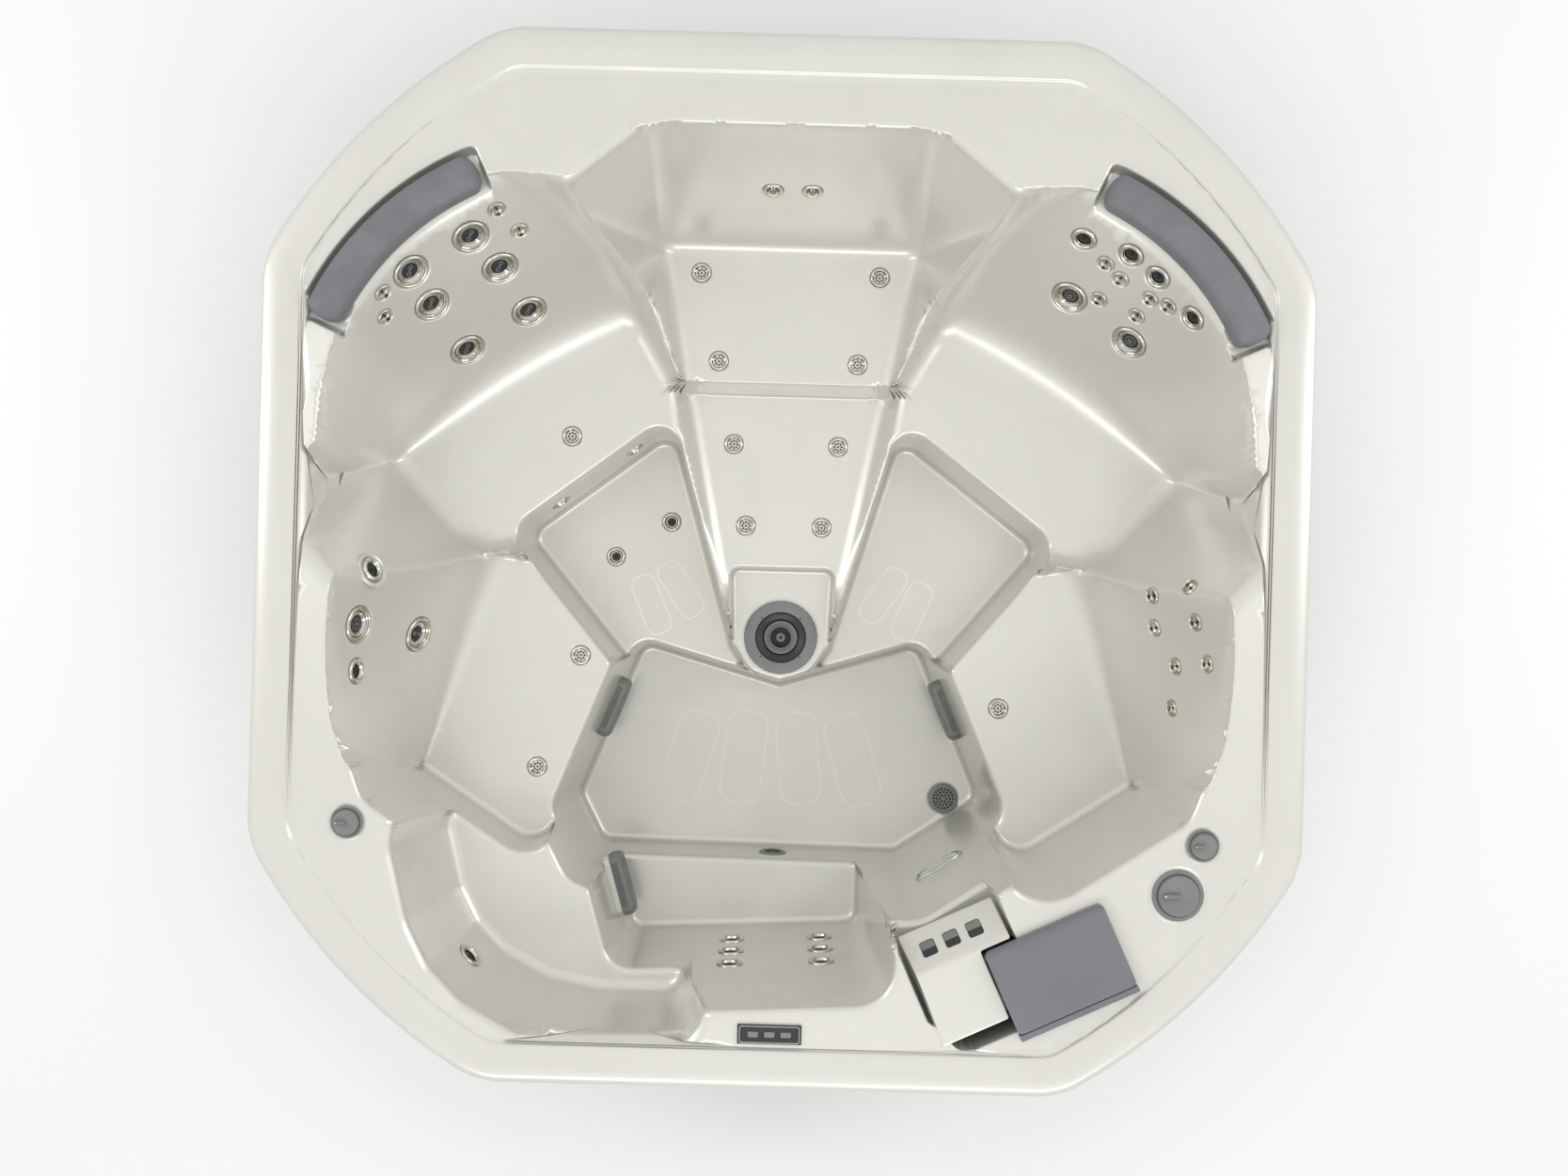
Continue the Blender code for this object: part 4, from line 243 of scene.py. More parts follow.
FILTER = finish("filter_fabric", (0.76, 0.78, 0.81), (0.66, 0.69, 0.74), 0.8, 0.95, tone_scale=30,
                grain_scale=1500, bump=0.6, depth=0.0004)
print("finishes:", len(bpy.data.materials))

# %% [markdown]
# ## The mould
# The shell is drawn over one mould, so one rule can describe it: the height of the sheet over each place in
# plan. It starts as a flat rim. Each seat, step and well is a pocket pressed into it, with a rounded edge,
# a drafted wall and a rounded foot. The same rule shapes the measured shell, so the two agree.

# %% Sizes of the mould
SIDE = 2.31
HEIGHT = 0.95
HALF = SIDE / 2
CORNER_REACH = HALF * 1.142
CORNER_RADIUS = 0.2
SHELL_WALL = 0.008
LIP_ROUND = 0.022
LIP_DROP = 0.06
BEAD_HEIGHT = 0.009
BEAD_INSET = 0.094
BEAD_SLOPE_RUN = 0.008
DECK_Z = HEIGHT - BEAD_HEIGHT
LIP_SEAT_Z = 0.9
LIP_BLEND = 0.025
SEAT_Z = 0.47
COOL_SEAT_Z = 0.62
RIDGE_Z = 0.40
DOME_Z = 0.36
STEP_Z = 0.26
FRONT_STEP_Z = 0.27
FLOOR_Z = 0.12
PILLOW_SEAT_Z = 0.9
WELL_Z = 0.5
CHANNEL_Z = 0.8
FIT = 0.0004
SMALLEST = 1e-9

# Walls of the pockets: foot radius, edge radius, rise over run
FIRM_WALL = (0.018, 0.018, 12.0)
DOME_WALL = (0.012, 0.01, 12.0)
SOFT_WALL = (0.06, 0.05, 2.2)
BACK_WALL = (0.03, 0.03, 5.0)
CRISP_WALL = (0.008, 0.006, 12.0)
WELL_WALL = (0.008, 0.006, 30.0)

# Outlines of the pockets as shares of the half side, counter-clockwise
REAR_SEAT_SHARES = [(0.215, 0.27), (0.6, 0.05), (0.672, 0.075), (0.79, 0.2), (0.82, 0.33), (0.83, 0.5),
                    (0.72, 0.67), (0.55, 0.72), (0.43, 0.62), (0.345, 0.49)]
SIDE_SEAT_SHARES = [(0.33, -0.2), (0.5, -0.6), (0.76, -0.43), (0.84, -0.34), (0.845, -0.04), (0.81, 0.03),
                    (0.62, 0.0), (0.54, -0.02)]
WEDGE_SHARES = [(-0.235, 0.81), (-0.235, 0.66), (-0.182, 0.37), (-0.1, -0.045), (0.1, -0.045),
                (0.182, 0.37), (0.235, 0.66), (0.235, 0.81)]
DOME_SHARES = [(-0.1, -0.02), (-0.094, -0.19), (-0.06, -0.238), (0.0, -0.252), (0.06, -0.238),
               (0.094, -0.19), (0.1, -0.02)]
STEP_SHARES = [(0.258, 0.268), (0.122, -0.19), (0.06, -0.285), (0.31, -0.23), (0.545, 0.05)]
FRONT_STEP_SHARES = [(-0.36, -0.6), (-0.3, -0.8), (0.17, -0.775), (0.172, -0.6)]
FLOOR_SHARES = [(-0.305, -0.2), (-0.435, -0.53), (-0.385, -0.625), (0.27, -0.632), (0.445, -0.515),
                (0.305, -0.19), (0.0, -0.285)]
COOL_SEAT_SHARES = [(-0.66, -0.53), (-0.642, -0.6), (-0.623, -0.676), (-0.59, -0.74), (-0.542, -0.79),
                    (-0.45, -0.84), (-0.34, -0.86), (-0.2, -0.86), (-0.2, -0.5)]

# Seats: middle of the front edge, direction outwards, bend, radius and centre of the lip
REAR_SEAT = ((0.425, 0.184), math.radians(60.5), 0.235, (0.367, 0.206), 0.61)
SIDE_SEAT = ((0.404, -0.352), math.radians(23), 0.325, (0.178, -0.18), 0.78)
BACK_EASE_SHARE = 0.35
WEDGE_STEP_SHARE = 0.388
WEDGE_BEND_SHARE = 0.655
WEDGE_LIP_SHARE = 0.82
WEDGE_STEP_RUN = 0.03
PILLOW_SPAN = math.radians(42)
PILLOW_DEPTH = 0.085
PILLOW_THICKNESS = 0.075
PILLOW_GAP = 0.003

# Filter block: its front corner, its turn, and the well and channel behind that corner
BLOCK_CORNER_SHARES = (0.397, -0.723)
BLOCK_TURN = math.radians(25)
WELL_PLACE = (-0.12, 0.242, 0.035, 0.172)
CHANNEL_PLACE = (-0.158, 0.066, -0.25, 0.1035)
print("tub:", SIDE, "m square,", HEIGHT, "m high")

# %% [markdown]
# ### The rule for height
# Every helper works on whole arrays of places at once, which keeps tens of thousands of points quick.
# A pocket is known by its signed distance in plan: inside is floor, outside the wall climbs to what was
# there before.

# %% Height of the mould over the plan
def planned(shares):
    return [(x * HALF, y * HALF) for x, y in shares]


def mirrored(shares):
    return [(-x, y) for x, y in reversed(shares)]


def path_distance(x, y, points):
    """Distance in plan to a chain of straight runs."""
    best = np.full(x.shape, np.inf)
    for (ax, ay), (bx, by) in zip(points, points[1:]):
        ex, ey = bx - ax, by - ay
        px, py = x - ax, y - ay
        along = np.clip((px * ex + py * ey) / (ex * ex + ey * ey), 0, 1)
        best = np.minimum(best, np.hypot(px - along * ex, py - along * ey))
    return best


def in_loop(x, y, loop):
    """Whether places lie inside a closed loop of points."""
    inside = np.zeros(x.shape, bool)
    for (ax, ay), (bx, by) in zip(loop, np.roll(loop, -1, axis=0)):
        rise = by - ay if by != ay else SMALLEST
        inside ^= ((ay > y) != (by > y)) & (x < ax + (y - ay) * (bx - ax) / rise)
    return inside


def polygon_distance(x, y, points):
    """Signed distance in plan to a closed outline, negative inside."""
    distance = path_distance(x, y, points + points[:1])
    return np.where(in_loop(x, y, points), -distance, distance)


def inset(points, amount):
    """A counter-clockwise outline with every edge moved inwards."""
    result = []
    count = len(points)
    for i in range(count):
        before, here, after = (Vector(points[(i + k) % count]) for k in (-1, 0, 1))
        e1, e2 = (here - before).normalized(), (after - here).normalized()
        n1, n2 = Vector((-e1.y, e1.x)), Vector((-e2.y, e2.x))
        result.append(tuple(here + (n1 + n2) / (1 + n1.dot(n2)) * amount))
    return result


def wall_parts(height, wall):
    """Foot radius, edge radius and length of the straight part of a wall of some height, with its slope."""
    foot, edge, slope = wall
    cosine = 1 / math.hypot(1, slope)
    scale = np.minimum(1, height / ((foot + edge) * (1 - cosine)))
    a, b = foot * scale, edge * scale
    return a, b, np.maximum(height - (a + b) * (1 - cosine), 0) / slope, slope * cosine, cosine


def wall_rise(d, height, wall):
    """Height above a pocket's floor at a distance from its outline."""
    a, b, straight, sine, cosine = wall_parts(height, wall)
    d = np.clip(d, 0, (a + b) * sine + straight)
    in_foot = np.minimum(d, a * sine)
    in_edge = np.clip(d - a * sine - straight, 0, b * sine)
    in_line = np.clip(d - a * sine, 0, straight)
    round_edge = np.sqrt(np.maximum(b * b - (b * sine - in_edge) ** 2, 0)) - b * cosine
    return a - np.sqrt(np.maximum(a * a - in_foot ** 2, 0)) + in_line * wall[2] + round_edge


def outline_ring(inward, steps):
    """The rim's plan, moved inwards: straight sides, and a wide arc in each corner with tight ends."""
    half, reach = HALF - inward, CORNER_REACH - inward
    small = max(CORNER_RADIUS - inward, CORNER_RADIUS / 4)
    x0 = half - small
    y0 = math.sqrt((reach - small) ** 2 - x0 ** 2)
    turn = math.atan2(y0, x0)
    corner = [(x0 + small * math.cos(turn * i / steps), y0 + small * math.sin(turn * i / steps))
              for i in range(steps)]
    for i in range(steps + 1):
        angle = turn + (math.pi / 2 - 2 * turn) * i / steps
        corner.append((reach * math.cos(angle), reach * math.sin(angle)))
    corner += [(y, x) for x, y in reversed(corner[:steps])]
    ring = []
    for quarter in range(4):
        c, s = round(math.cos(quarter * math.pi / 2)), round(math.sin(quarter * math.pi / 2))
        ring += [(x * c - y * s, x * s + y * c) for x, y in corner]
    return ring


def rim_distance(x, y):
    """Distance inwards from the rim's edge."""
    ax, ay = np.abs(x), np.abs(y)
    ax, ay = np.maximum(ax, ay), np.minimum(ax, ay)
    x0 = HALF - CORNER_RADIUS
    y0 = math.sqrt((CORNER_REACH - CORNER_RADIUS) ** 2 - x0 ** 2)
    to_small = CORNER_RADIUS - np.hypot(ax - x0, ay - y0)
    in_small = (ay > y0) & (ay * x0 < ax * y0 + SMALLEST)
    return np.where(ay <= y0, HALF - ax, np.where(in_small, to_small, CORNER_REACH - np.hypot(ax, ay)))


def deck_height(x, y):
    return DECK_Z + BEAD_HEIGHT * smooth_step((BEAD_INSET - rim_distance(x, y)) / BEAD_SLOPE_RUN)


def back_curve(share):
    """Rise of a backrest as a share of its height: a hollow at the bend, then straight."""
    share = np.maximum(share, 0)
    ease = BACK_EASE_SHARE
    return np.where(share < ease, share ** 2 / (2 * ease), share - ease / 2) / (1 - ease / 2)


def seat(kind, side):
    """The height rule of a seat pan that bends into a backrest with a circular lip."""
    front, aim, bend, lip_centre, lip_radius = kind

    def turned(x, y):
        px, py = x * side - front[0] * HALF, y - front[1] * HALF
        return px * math.cos(aim) + py * math.sin(aim), -px * math.sin(aim) + py * math.cos(aim)

    def height(x, y):
        u, v = turned(x, y)
        cu, cv = turned(side * lip_centre[0] * HALF, lip_centre[1] * HALF)
        lip_u = cu + np.sqrt(np.maximum(lip_radius ** 2 - (v - cv) ** 2, (lip_radius / 3) ** 2))
        share = (u - bend) / np.maximum(lip_u - bend, bend / 4)
        return SEAT_Z + (LIP_SEAT_Z - SEAT_Z) * back_curve(share)

    return height


def wedge(x, y):
    """The lounge down the middle: backrest, seat, then a step down to the ridge."""
    bend, lip = WEDGE_BEND_SHARE * HALF, WEDGE_LIP_SHARE * HALF
    step = smooth_step((WEDGE_STEP_SHARE * HALF - y) / WEDGE_STEP_RUN)
    return SEAT_Z + (LIP_SEAT_Z - SEAT_Z) * back_curve((y - bend) / (lip - bend)) - (SEAT_Z - RIDGE_Z) * step


def level(z):
    return lambda x, y: np.full(x.shape, z)


def block_point(along, back):
    """A place by the filter block: along its front edge, and back from it."""
    c, s = math.cos(BLOCK_TURN), math.sin(BLOCK_TURN)
    return (BLOCK_CORNER_SHARES[0] * HALF + along * c + back * s,
            BLOCK_CORNER_SHARES[1] * HALF + along * s - back * c)


def block_rectangle(left, right, front, back):
    return [block_point(*place) for place in ((left, front), (left, back), (right, back), (right, front))]


def pillow_outline(side, grow, steps=24):
    """The curved recess that a pillow sits in, counter-clockwise."""
    cx, cy, radius = REAR_SEAT[3][0] * HALF, REAR_SEAT[3][1] * HALF, REAR_SEAT[4]
    span = PILLOW_SPAN + 2 * grow / radius
    angles = [math.pi / 4 + span * (i / steps - 1 / 2) for i in range(steps + 1)]
    outer, inner = radius + PILLOW_DEPTH + grow, radius - grow
    arc = [(cx + outer * math.cos(a), cy + outer * math.sin(a)) for a in angles]
    arc += [(cx + inner * math.cos(a), cy + inner * math.sin(a)) for a in reversed(angles)]
    return arc if side > 0 else mirrored(arc)


# Each pocket: its outline, the radius of its corners in plan, the rule for its floor, and its wall
POCKETS = [
    (pillow_outline(-1, PILLOW_GAP), 0.006, level(PILLOW_SEAT_Z), CRISP_WALL),
    (pillow_outline(1, PILLOW_GAP), 0.006, level(PILLOW_SEAT_Z), CRISP_WALL),
    (planned(COOL_SEAT_SHARES), 0.03, level(COOL_SEAT_Z), BACK_WALL),
    (planned(REAR_SEAT_SHARES), 0.06, seat(REAR_SEAT, 1), SOFT_WALL),
    (planned(mirrored(REAR_SEAT_SHARES)), 0.06, seat(REAR_SEAT, -1), SOFT_WALL),
    (planned(SIDE_SEAT_SHARES), 0.05, seat(SIDE_SEAT, 1), FIRM_WALL),
    (planned(mirrored(SIDE_SEAT_SHARES)), 0.05, seat(SIDE_SEAT, -1), FIRM_WALL),
    (planned(WEDGE_SHARES), 0.02, wedge, SOFT_WALL),
    (block_rectangle(*CHANNEL_PLACE), 0.01, level(CHANNEL_Z), WELL_WALL),
    (block_rectangle(*WELL_PLACE), 0.02, level(WELL_Z), WELL_WALL),
    (planned(DOME_SHARES), 0.01, level(DOME_Z), DOME_WALL),
    (planned(STEP_SHARES), 0.025, level(STEP_Z), FIRM_WALL),
    (planned(mirrored(STEP_SHARES)), 0.025, level(STEP_Z), FIRM_WALL),
    (planned(FRONT_STEP_SHARES), 0.02, level(FRONT_STEP_Z), FIRM_WALL),
    (planned(FLOOR_SHARES), 0.025, level(FLOOR_Z), FIRM_WALL),
]
COOL_SEAT, STEP_RIGHT, STEP_LEFT, FRONT_STEP, FOOTWELL = 2, 11, 12, 13, 14


def smooth_step(value):
    value = np.clip(value, 0, 1)
    return value * value * (3 - 2 * value)


def smooth_min(a, b, blend):
    share = np.clip(0.5 + 0.5 * (b - a) / blend, 0, 1)
    return b * (1 - share) + a * share - blend * share * (1 - share)


def carved(z, x, y, pocket):
    """The mould's height after one more pocket is pressed into it."""
    outline, radius, low, wall = pocket
    distance = polygon_distance(x, y, inset(outline, radius)) - radius
    bottom = low(x, y)
    base = np.where(bottom < z - LIP_BLEND, bottom, smooth_min(bottom, z, LIP_BLEND))
    return base + wall_rise(distance, np.maximum(z - base, 0), wall)


def mould_height(x, y, chosen=None):
    """Height of the shell's wet side over the plan."""
    z = deck_height(x, y)
    for pocket in POCKETS if chosen is None else chosen:
        z = carved(z, x, y, pocket)
    return z


def mould_normals(x, y, step=0.0015):
    """Directions that face out of the wet side."""
    dx = mould_height(x + step, y) - mould_height(x - step, y)
    dy = mould_height(x, y + step) - mould_height(x, y - step)
    normals = np.stack([-dx, -dy, np.full(x.shape, 2 * step)], 1)
    return normals / np.linalg.norm(normals, axis=1)[:, None]


print("pockets:", len(POCKETS), "footwell floor at", mould_height(np.array([0.0]), np.array([-0.5]))[0])

# %% [markdown]
# ## Where the fittings sit
# A fitting is set square to the sheet. Its frame is a matrix: the origin lies on the floor of the small
# recess round it and Z points out of the sheet. Fittings in steep walls are placed along the wall and by
# their height.

# %% Frames of the fittings
RECESS = 0.003
LARGE, MIDDLE, SEATED, SMALL, WALLED = 0.042, 0.029, 0.0235, 0.0195, 0.03
DRAIN, RETURN, SENSOR, FOOT, DIVERTER, AIR = 0.039, 0.034, 0.01, 0.0927, 0.057, 0.036
REAR_LEFT_JET_SHARES = [
    (SEATED, -0.456, 0.261), (LARGE, -0.537, 0.506), (LARGE, -0.58, 0.573), (SMALL, -0.535, 0.638),
    (SMALL, -0.571, 0.665), (LARGE, -0.624, 0.616), (LARGE, -0.735, 0.542), (SMALL, -0.785, 0.498),
    (SMALL, -0.789, 0.458), (LARGE, -0.71, 0.493), (LARGE, -0.662, 0.423)]
REAR_RIGHT_JET_SHARES = [
    (MIDDLE, 0.569, 0.645), (MIDDLE, 0.657, 0.612), (MIDDLE, 0.71, 0.57), (MIDDLE, 0.78, 0.494),
    (SMALL, 0.738, 0.52), (SMALL, 0.706, 0.536), (SMALL, 0.69, 0.51), (LARGE, 0.687, 0.465),
    (LARGE, 0.564, 0.552), (SMALL, 0.618, 0.545), (SMALL, 0.648, 0.575), (SMALL, 0.617, 0.603)]
SIDE_LEFT_JET_SHARES = [
    (SEATED, -0.425, -0.205), (SEATED, -0.511, -0.445), (LARGE, -0.742, -0.166), (MIDDLE, -0.8, -0.035),
    (LARGE, -0.822, -0.144), (MIDDLE, -0.825, -0.235)]
SIDE_RIGHT_JET_SHARES = [
    (SEATED, 0.468, -0.294), (SMALL, 0.79, -0.27), (SMALL, 0.83, -0.175), (SMALL, 0.79, -0.185),
    (SMALL, 0.755, -0.11), (SMALL, 0.81, -0.095), (SMALL, 0.8, -0.025), (SMALL, 0.745, -0.045)]
LOUNGE_SIDE_SHARES = ((0.19, 0.617), (0.148, 0.43), (0.113, 0.259), (0.082, 0.083))
LOUNGE_JET_SHARES = ([(SEATED, -x, y) for x, y in LOUNGE_SIDE_SHARES]
                     + [(SEATED, x, y) for x, y in reversed(LOUNGE_SIDE_SHARES)]
                     + [(SEATED, 0.04, 0.752), (SEATED, -0.04, 0.752)])
STEP_JET_SHARES = [(SEATED, -0.251, 0.091), (SEATED, -0.373, 0.01)]


def frame_at(origin, normal, along):
    """A matrix at origin whose Z is the normal and whose X runs nearest to along."""
    z = Vector(normal).normalized()
    x = (Vector(along) - z * z.dot(Vector(along))).normalized()
    y = z.cross(x)
    return Matrix([(x[k], y[k], z[k], origin[k]) for k in range(3)] + [(0, 0, 0, 1)])


def surface_frame(x_share, y_share):
    """The frame of a fitting set in the mould at a place in plan."""
    x, y = np.array([x_share * HALF]), np.array([y_share * HALF])
    reach = LARGE / 2
    dx = (mould_height(x + reach, y) - mould_height(x - reach, y))[0] / (2 * reach)
    dy = (mould_height(x, y + reach) - mould_height(x, y - reach))[0] / (2 * reach)
    normal = Vector((-dx, -dy, 1)).normalized()
    origin = Vector((x[0], y[0], mould_height(x, y)[0])) - normal * RECESS
    along = Vector((-normal.y, normal.x, 0)) if normal.xy.length > SMALLEST else Vector((1, 0, 0))
    return frame_at(origin, normal, along)


def wall_frame(pocket, edge, share, z):
    """The frame of a fitting on the straight part of a pocket's wall."""
    outline, _, low, (foot, _, slope) = POCKETS[pocket]
    a, b = Vector(outline[edge]), Vector(outline[(edge + 1) % len(outline)])
    place = a.lerp(b, share)
    bottom = float(low(np.array([place.x]), np.array([place.y]))[0])
    out = (b - a).normalized()
    outward = Vector((out.y, -out.x))
    cosine = 1 / math.hypot(1, slope)
    q = place + outward * (foot * slope * cosine + (z - bottom - foot * (1 - cosine)) / slope)
    normal = Vector((-outward.x * slope, -outward.y * slope, 1)).normalized()
    return frame_at(Vector((q.x, q.y, z)) - normal * RECESS, normal, (out.x, out.y, 0))


def seat_jets(shares):
    return [(radius, surface_frame(x, y)) for radius, x, y in shares]


JETS = {
    "jets_rear_left": seat_jets(REAR_LEFT_JET_SHARES),
    "jets_rear_right": seat_jets(REAR_RIGHT_JET_SHARES),
    "jets_side_left": seat_jets(SIDE_LEFT_JET_SHARES),
    "jets_side_right": seat_jets(SIDE_RIGHT_JET_SHARES),
    "jets_lounge": seat_jets(LOUNGE_JET_SHARES),
    "jets_step": seat_jets(STEP_JET_SHARES) + [
        (SEATED, wall_frame(STEP_LEFT, 4, share, (STEP_Z + SEAT_Z) / 2)) for share in (0.2, 0.75)],
    "jets_front_wall": [(WALLED, wall_frame(FRONT_STEP, 1, share, FRONT_STEP_Z + rise))
                        for share in (0.45, 0.853) for rise in (0.13, 0.23, 0.33)],
    "jet_cool_seat": [(WALLED, wall_frame(COOL_SEAT, 3, 0.5, COOL_SEAT_Z + 0.13))],
}
FITTINGS = {
    "floor_drain": (DRAIN, surface_frame(0.385, -0.525)),
    "front_return": (RETURN, wall_frame(FOOTWELL, 2, 0.58, (FLOOR_Z + FRONT_STEP_Z) / 2)),
    "sensor_fitting": (SENSOR, wall_frame(FRONT_STEP, 2, 0.3, SEAT_Z)),
    "foot_jet": (FOOT, surface_frame(0.0, -0.158)),
    "diverter": (DIVERTER, surface_frame(0.765, -0.61)),
    "air_control_right": (AIR, surface_frame(0.81, -0.515)),
    "air_control_left": (AIR, surface_frame(-0.81, -0.515)),
}
ROUND_FITTINGS = [place for group in JETS.values() for place in group] + list(FITTINGS.values())
print("round fittings:", len(ROUND_FITTINGS))

# %% [markdown]
# ## The shell as a fine mesh
# A height rule could be sampled on a square grid, but steep walls would come out ragged. So the mesh
# follows the creases instead: rings of points run round every pocket, closer where the sheet bends, and a
# Delaunay triangulation joins them. Loose points fill the broad faces, and more are added where a flat
# facet would stray from the rule.

# %% Points that follow the creases
RING_SPACING = 0.02
GRID_SPACING = 0.022
ARC_STEP = math.radians(9)
RIM_STEPS = 10
REACH_ROUNDS = 5
BEND_SHARES = (0.0, 0.3, 0.6, 1.0)
OWN_EDGE, LEAST_WALL, SAME_HEIGHT, RIM_CLEARANCE = 0.001, 0.006, 0.0008, 0.004
HOLE_SHARE = 0.86
PAD_FLAT_SHARE, PAD_END_SHARE = 1.02, 1.2
CIRCLE_SHARES = (HOLE_SHARE, 0.95, PAD_FLAT_SHARE, 1.1, PAD_END_SHARE)
HOLE_STEPS, DROP_ROUNDS, LONGEST_DROP = 28, 12, 0.05


def ring_samples(core):
    """Places round an outline and the directions that face outwards from it."""
    places, normals = [], []
    count = len(core)
    corners = [Vector(corner) for corner in core]
    runs = [(corners[(i + 1) % count] - corners[i]).normalized() for i in range(count)]
    outward = [Vector((run.y, -run.x)) for run in runs]
    for i in range(count):
        here, after, before, n = corners[i], corners[(i + 1) % count], outward[i - 1], outward[i]
        turn = math.atan2(before.x * n.y - before.y * n.x, before.dot(n))
        steps = max(1, round(turn / ARC_STEP))
        if turn > SMALLEST:
            for step in range(1, steps):
                places.append(here)
                normals.append(before.slerp(n, step / steps))
        pieces = max(1, math.ceil((after - here).length / RING_SPACING))
        for step in range(pieces + 1):
            places.append(here.lerp(after, step / pieces))
            normals.append(n)
    return np.array(places), np.array(normals)


def pocket_rings(index):
    """Rings of points round one pocket, from its floor over its wall to its edge, and which of them count."""
    outline, radius, low, wall = POCKETS[index]
    core = inset(outline, radius)
    places, normals = ring_samples(core)
    reach = np.full(len(places), FIT)
    for _ in range(REACH_ROUNDS):
        q = places + normals * (radius + reach)[:, None]
        height = np.maximum(mould_height(q[:, 0], q[:, 1], POCKETS[:index]) - low(q[:, 0], q[:, 1]), SMALLEST)
        a, b, straight, sine, _ = wall_parts(height, wall)
        reach = (a + b) * sine + straight
    rings = []
    offsets = [a * sine * share for share in BEND_SHARES]
    offsets += [a * sine + straight / 2] + [a * sine + straight + b * sine * share for share in BEND_SHARES]
    for offset in offsets:
        q = places + normals * (radius + offset)[:, None]
        x, y = q.T
        z_own = mould_height(x, y, POCKETS[:index + 1])
        kept = (height > LEAST_WALL) & (rim_distance(x, y) > BEAD_INSET + RIM_CLEARANCE)
        kept &= np.abs(polygon_distance(x, y, core) - radius - offset) < OWN_EDGE
        kept &= np.abs(mould_height(x, y) - z_own) < SAME_HEIGHT
        rings.append((q, kept))
    return rings


def fitting_circle(radius, place):
    """A circle round a fitting, dropped on to the mould."""
    turns = 2 * np.pi * np.arange(HOLE_STEPS) / HOLE_STEPS
    ax, ay, normal, centre = np.array(place)[:3].T
    circle = centre + radius * (np.cos(turns)[:, None] * ax + np.sin(turns)[:, None] * ay)
    rise = np.full(HOLE_STEPS, RECESS)
    for _ in range(DROP_ROUNDS):
        q = circle + rise[:, None] * normal
        drop = mould_height(q[:, 0], q[:, 1]) - q[:, 2]
        rise = rise + np.clip(drop, -LONGEST_DROP, LONGEST_DROP) * normal[2]
    return (circle + rise[:, None] * normal)[:, :2]


rings = [ring for index in range(len(POCKETS)) for ring in pocket_rings(index)]
circles = [[fitting_circle(radius * share, place) for share in CIRCLE_SHARES]
           for radius, place in ROUND_FITTINGS]
print("rings:", len(rings), "points on them:", int(sum(kept.sum() for _, kept in rings)))

# %% [markdown]
# The plan is cut into triangles that follow the creases of the mould, so each rounded edge gets rows of its
# own and the flat floors stay light.

# %% Triangulate the plan
LEAST_EDGE = 1e-6
LOOSE_SHARE = 0.42
STRAY_HEIGHT, STRAY_SIZE, STRAY_ROUNDS = 0.0006, 0.007, 2


def clear_of_fittings(points, share_index):
    """Which points lie outside every fitting's circle."""
    clear = np.ones(len(points), bool)
    for group in circles:
        loop = group[share_index]
        low, high = loop.min(0) - FIT, loop.max(0) + FIT
        spots = np.flatnonzero(clear & (points >= low).all(1) & (points <= high).all(1))
        if len(spots):
            clear[spots] = ~in_loop(points[spots, 0], points[spots, 1], loop)
    return clear


def clear_except(loop, own):
    """Points of one fitting's circle that lie outside every other fitting's hole and pad."""
    clear = np.ones(len(loop), bool)
    for group in circles:
        other = group[-2]
        if group is not own and (loop.max(0) > other.min(0)).all() and (loop.min(0) < other.max(0)).all():
            clear &= ~in_loop(loop[:, 0], loop[:, 1], other)
    return clear


def plan_layout():
    """Points on creases, the edges that are fixed between them, and loose points for the broad faces."""
    points, edges = [], []

    def add(loop, kept):
        index = np.full(len(loop), -1)
        index[kept] = len(points) + np.arange(int(kept.sum()))
        points.extend(map(tuple, loop[kept]))
        for i in range(len(loop)):
            j = (i + 1) % len(loop)
            if index[i] >= 0 and index[j] >= 0 and np.hypot(*(loop[i] - loop[j])) > LEAST_EDGE:
                edges.append((int(index[i]), int(index[j])))

    for inward in (LIP_ROUND, BEAD_INSET - BEAD_SLOPE_RUN, BEAD_INSET - BEAD_SLOPE_RUN / 2, BEAD_INSET):
        rim = np.array(outline_ring(inward, RIM_STEPS))
        add(rim, np.ones(len(rim), bool))
    for group in circles:
        for loop in group:
            add(loop, clear_except(loop, group))
    for loop, kept in rings:
        add(loop, kept & clear_of_fittings(loop, -1))
    tree = KDTree(len(points))
    for i, (px, py) in enumerate(points):
        tree.insert((px, py, 0), i)
    tree.balance()
    steps = np.arange(-HALF, HALF, GRID_SPACING)
    gx, gy = np.meshgrid(steps, steps)
    gx = gx + (np.arange(len(steps)) % 2)[:, None] * GRID_SPACING / 2
    grid = np.stack([gx.ravel(), gy.ravel()], 1)
    grid = grid[rim_distance(grid[:, 0], grid[:, 1]) > BEAD_INSET + GRID_SPACING / 3]
    grid = grid[clear_of_fittings(grid, -1)]
    loose = [tuple(p) for p in grid if tree.find((p[0], p[1], 0))[2] > GRID_SPACING * LOOSE_SHARE]
    return points, edges, loose


def triangulate(points, edges):
    """Corners in plan and triangles, with the triangles over the holes left out."""
    flat, _, faces, *_ = delaunay_2d_cdt([Vector(p) for p in points], edges, [], 0, LEAST_EDGE)
    flat, faces = np.array([tuple(p) for p in flat]), np.array(faces)
    middles = flat[faces].mean(1)
    on_sheet = rim_distance(middles[:, 0], middles[:, 1]) > LIP_ROUND - FIT
    return flat, faces[clear_of_fittings(middles, 0) & on_sheet]


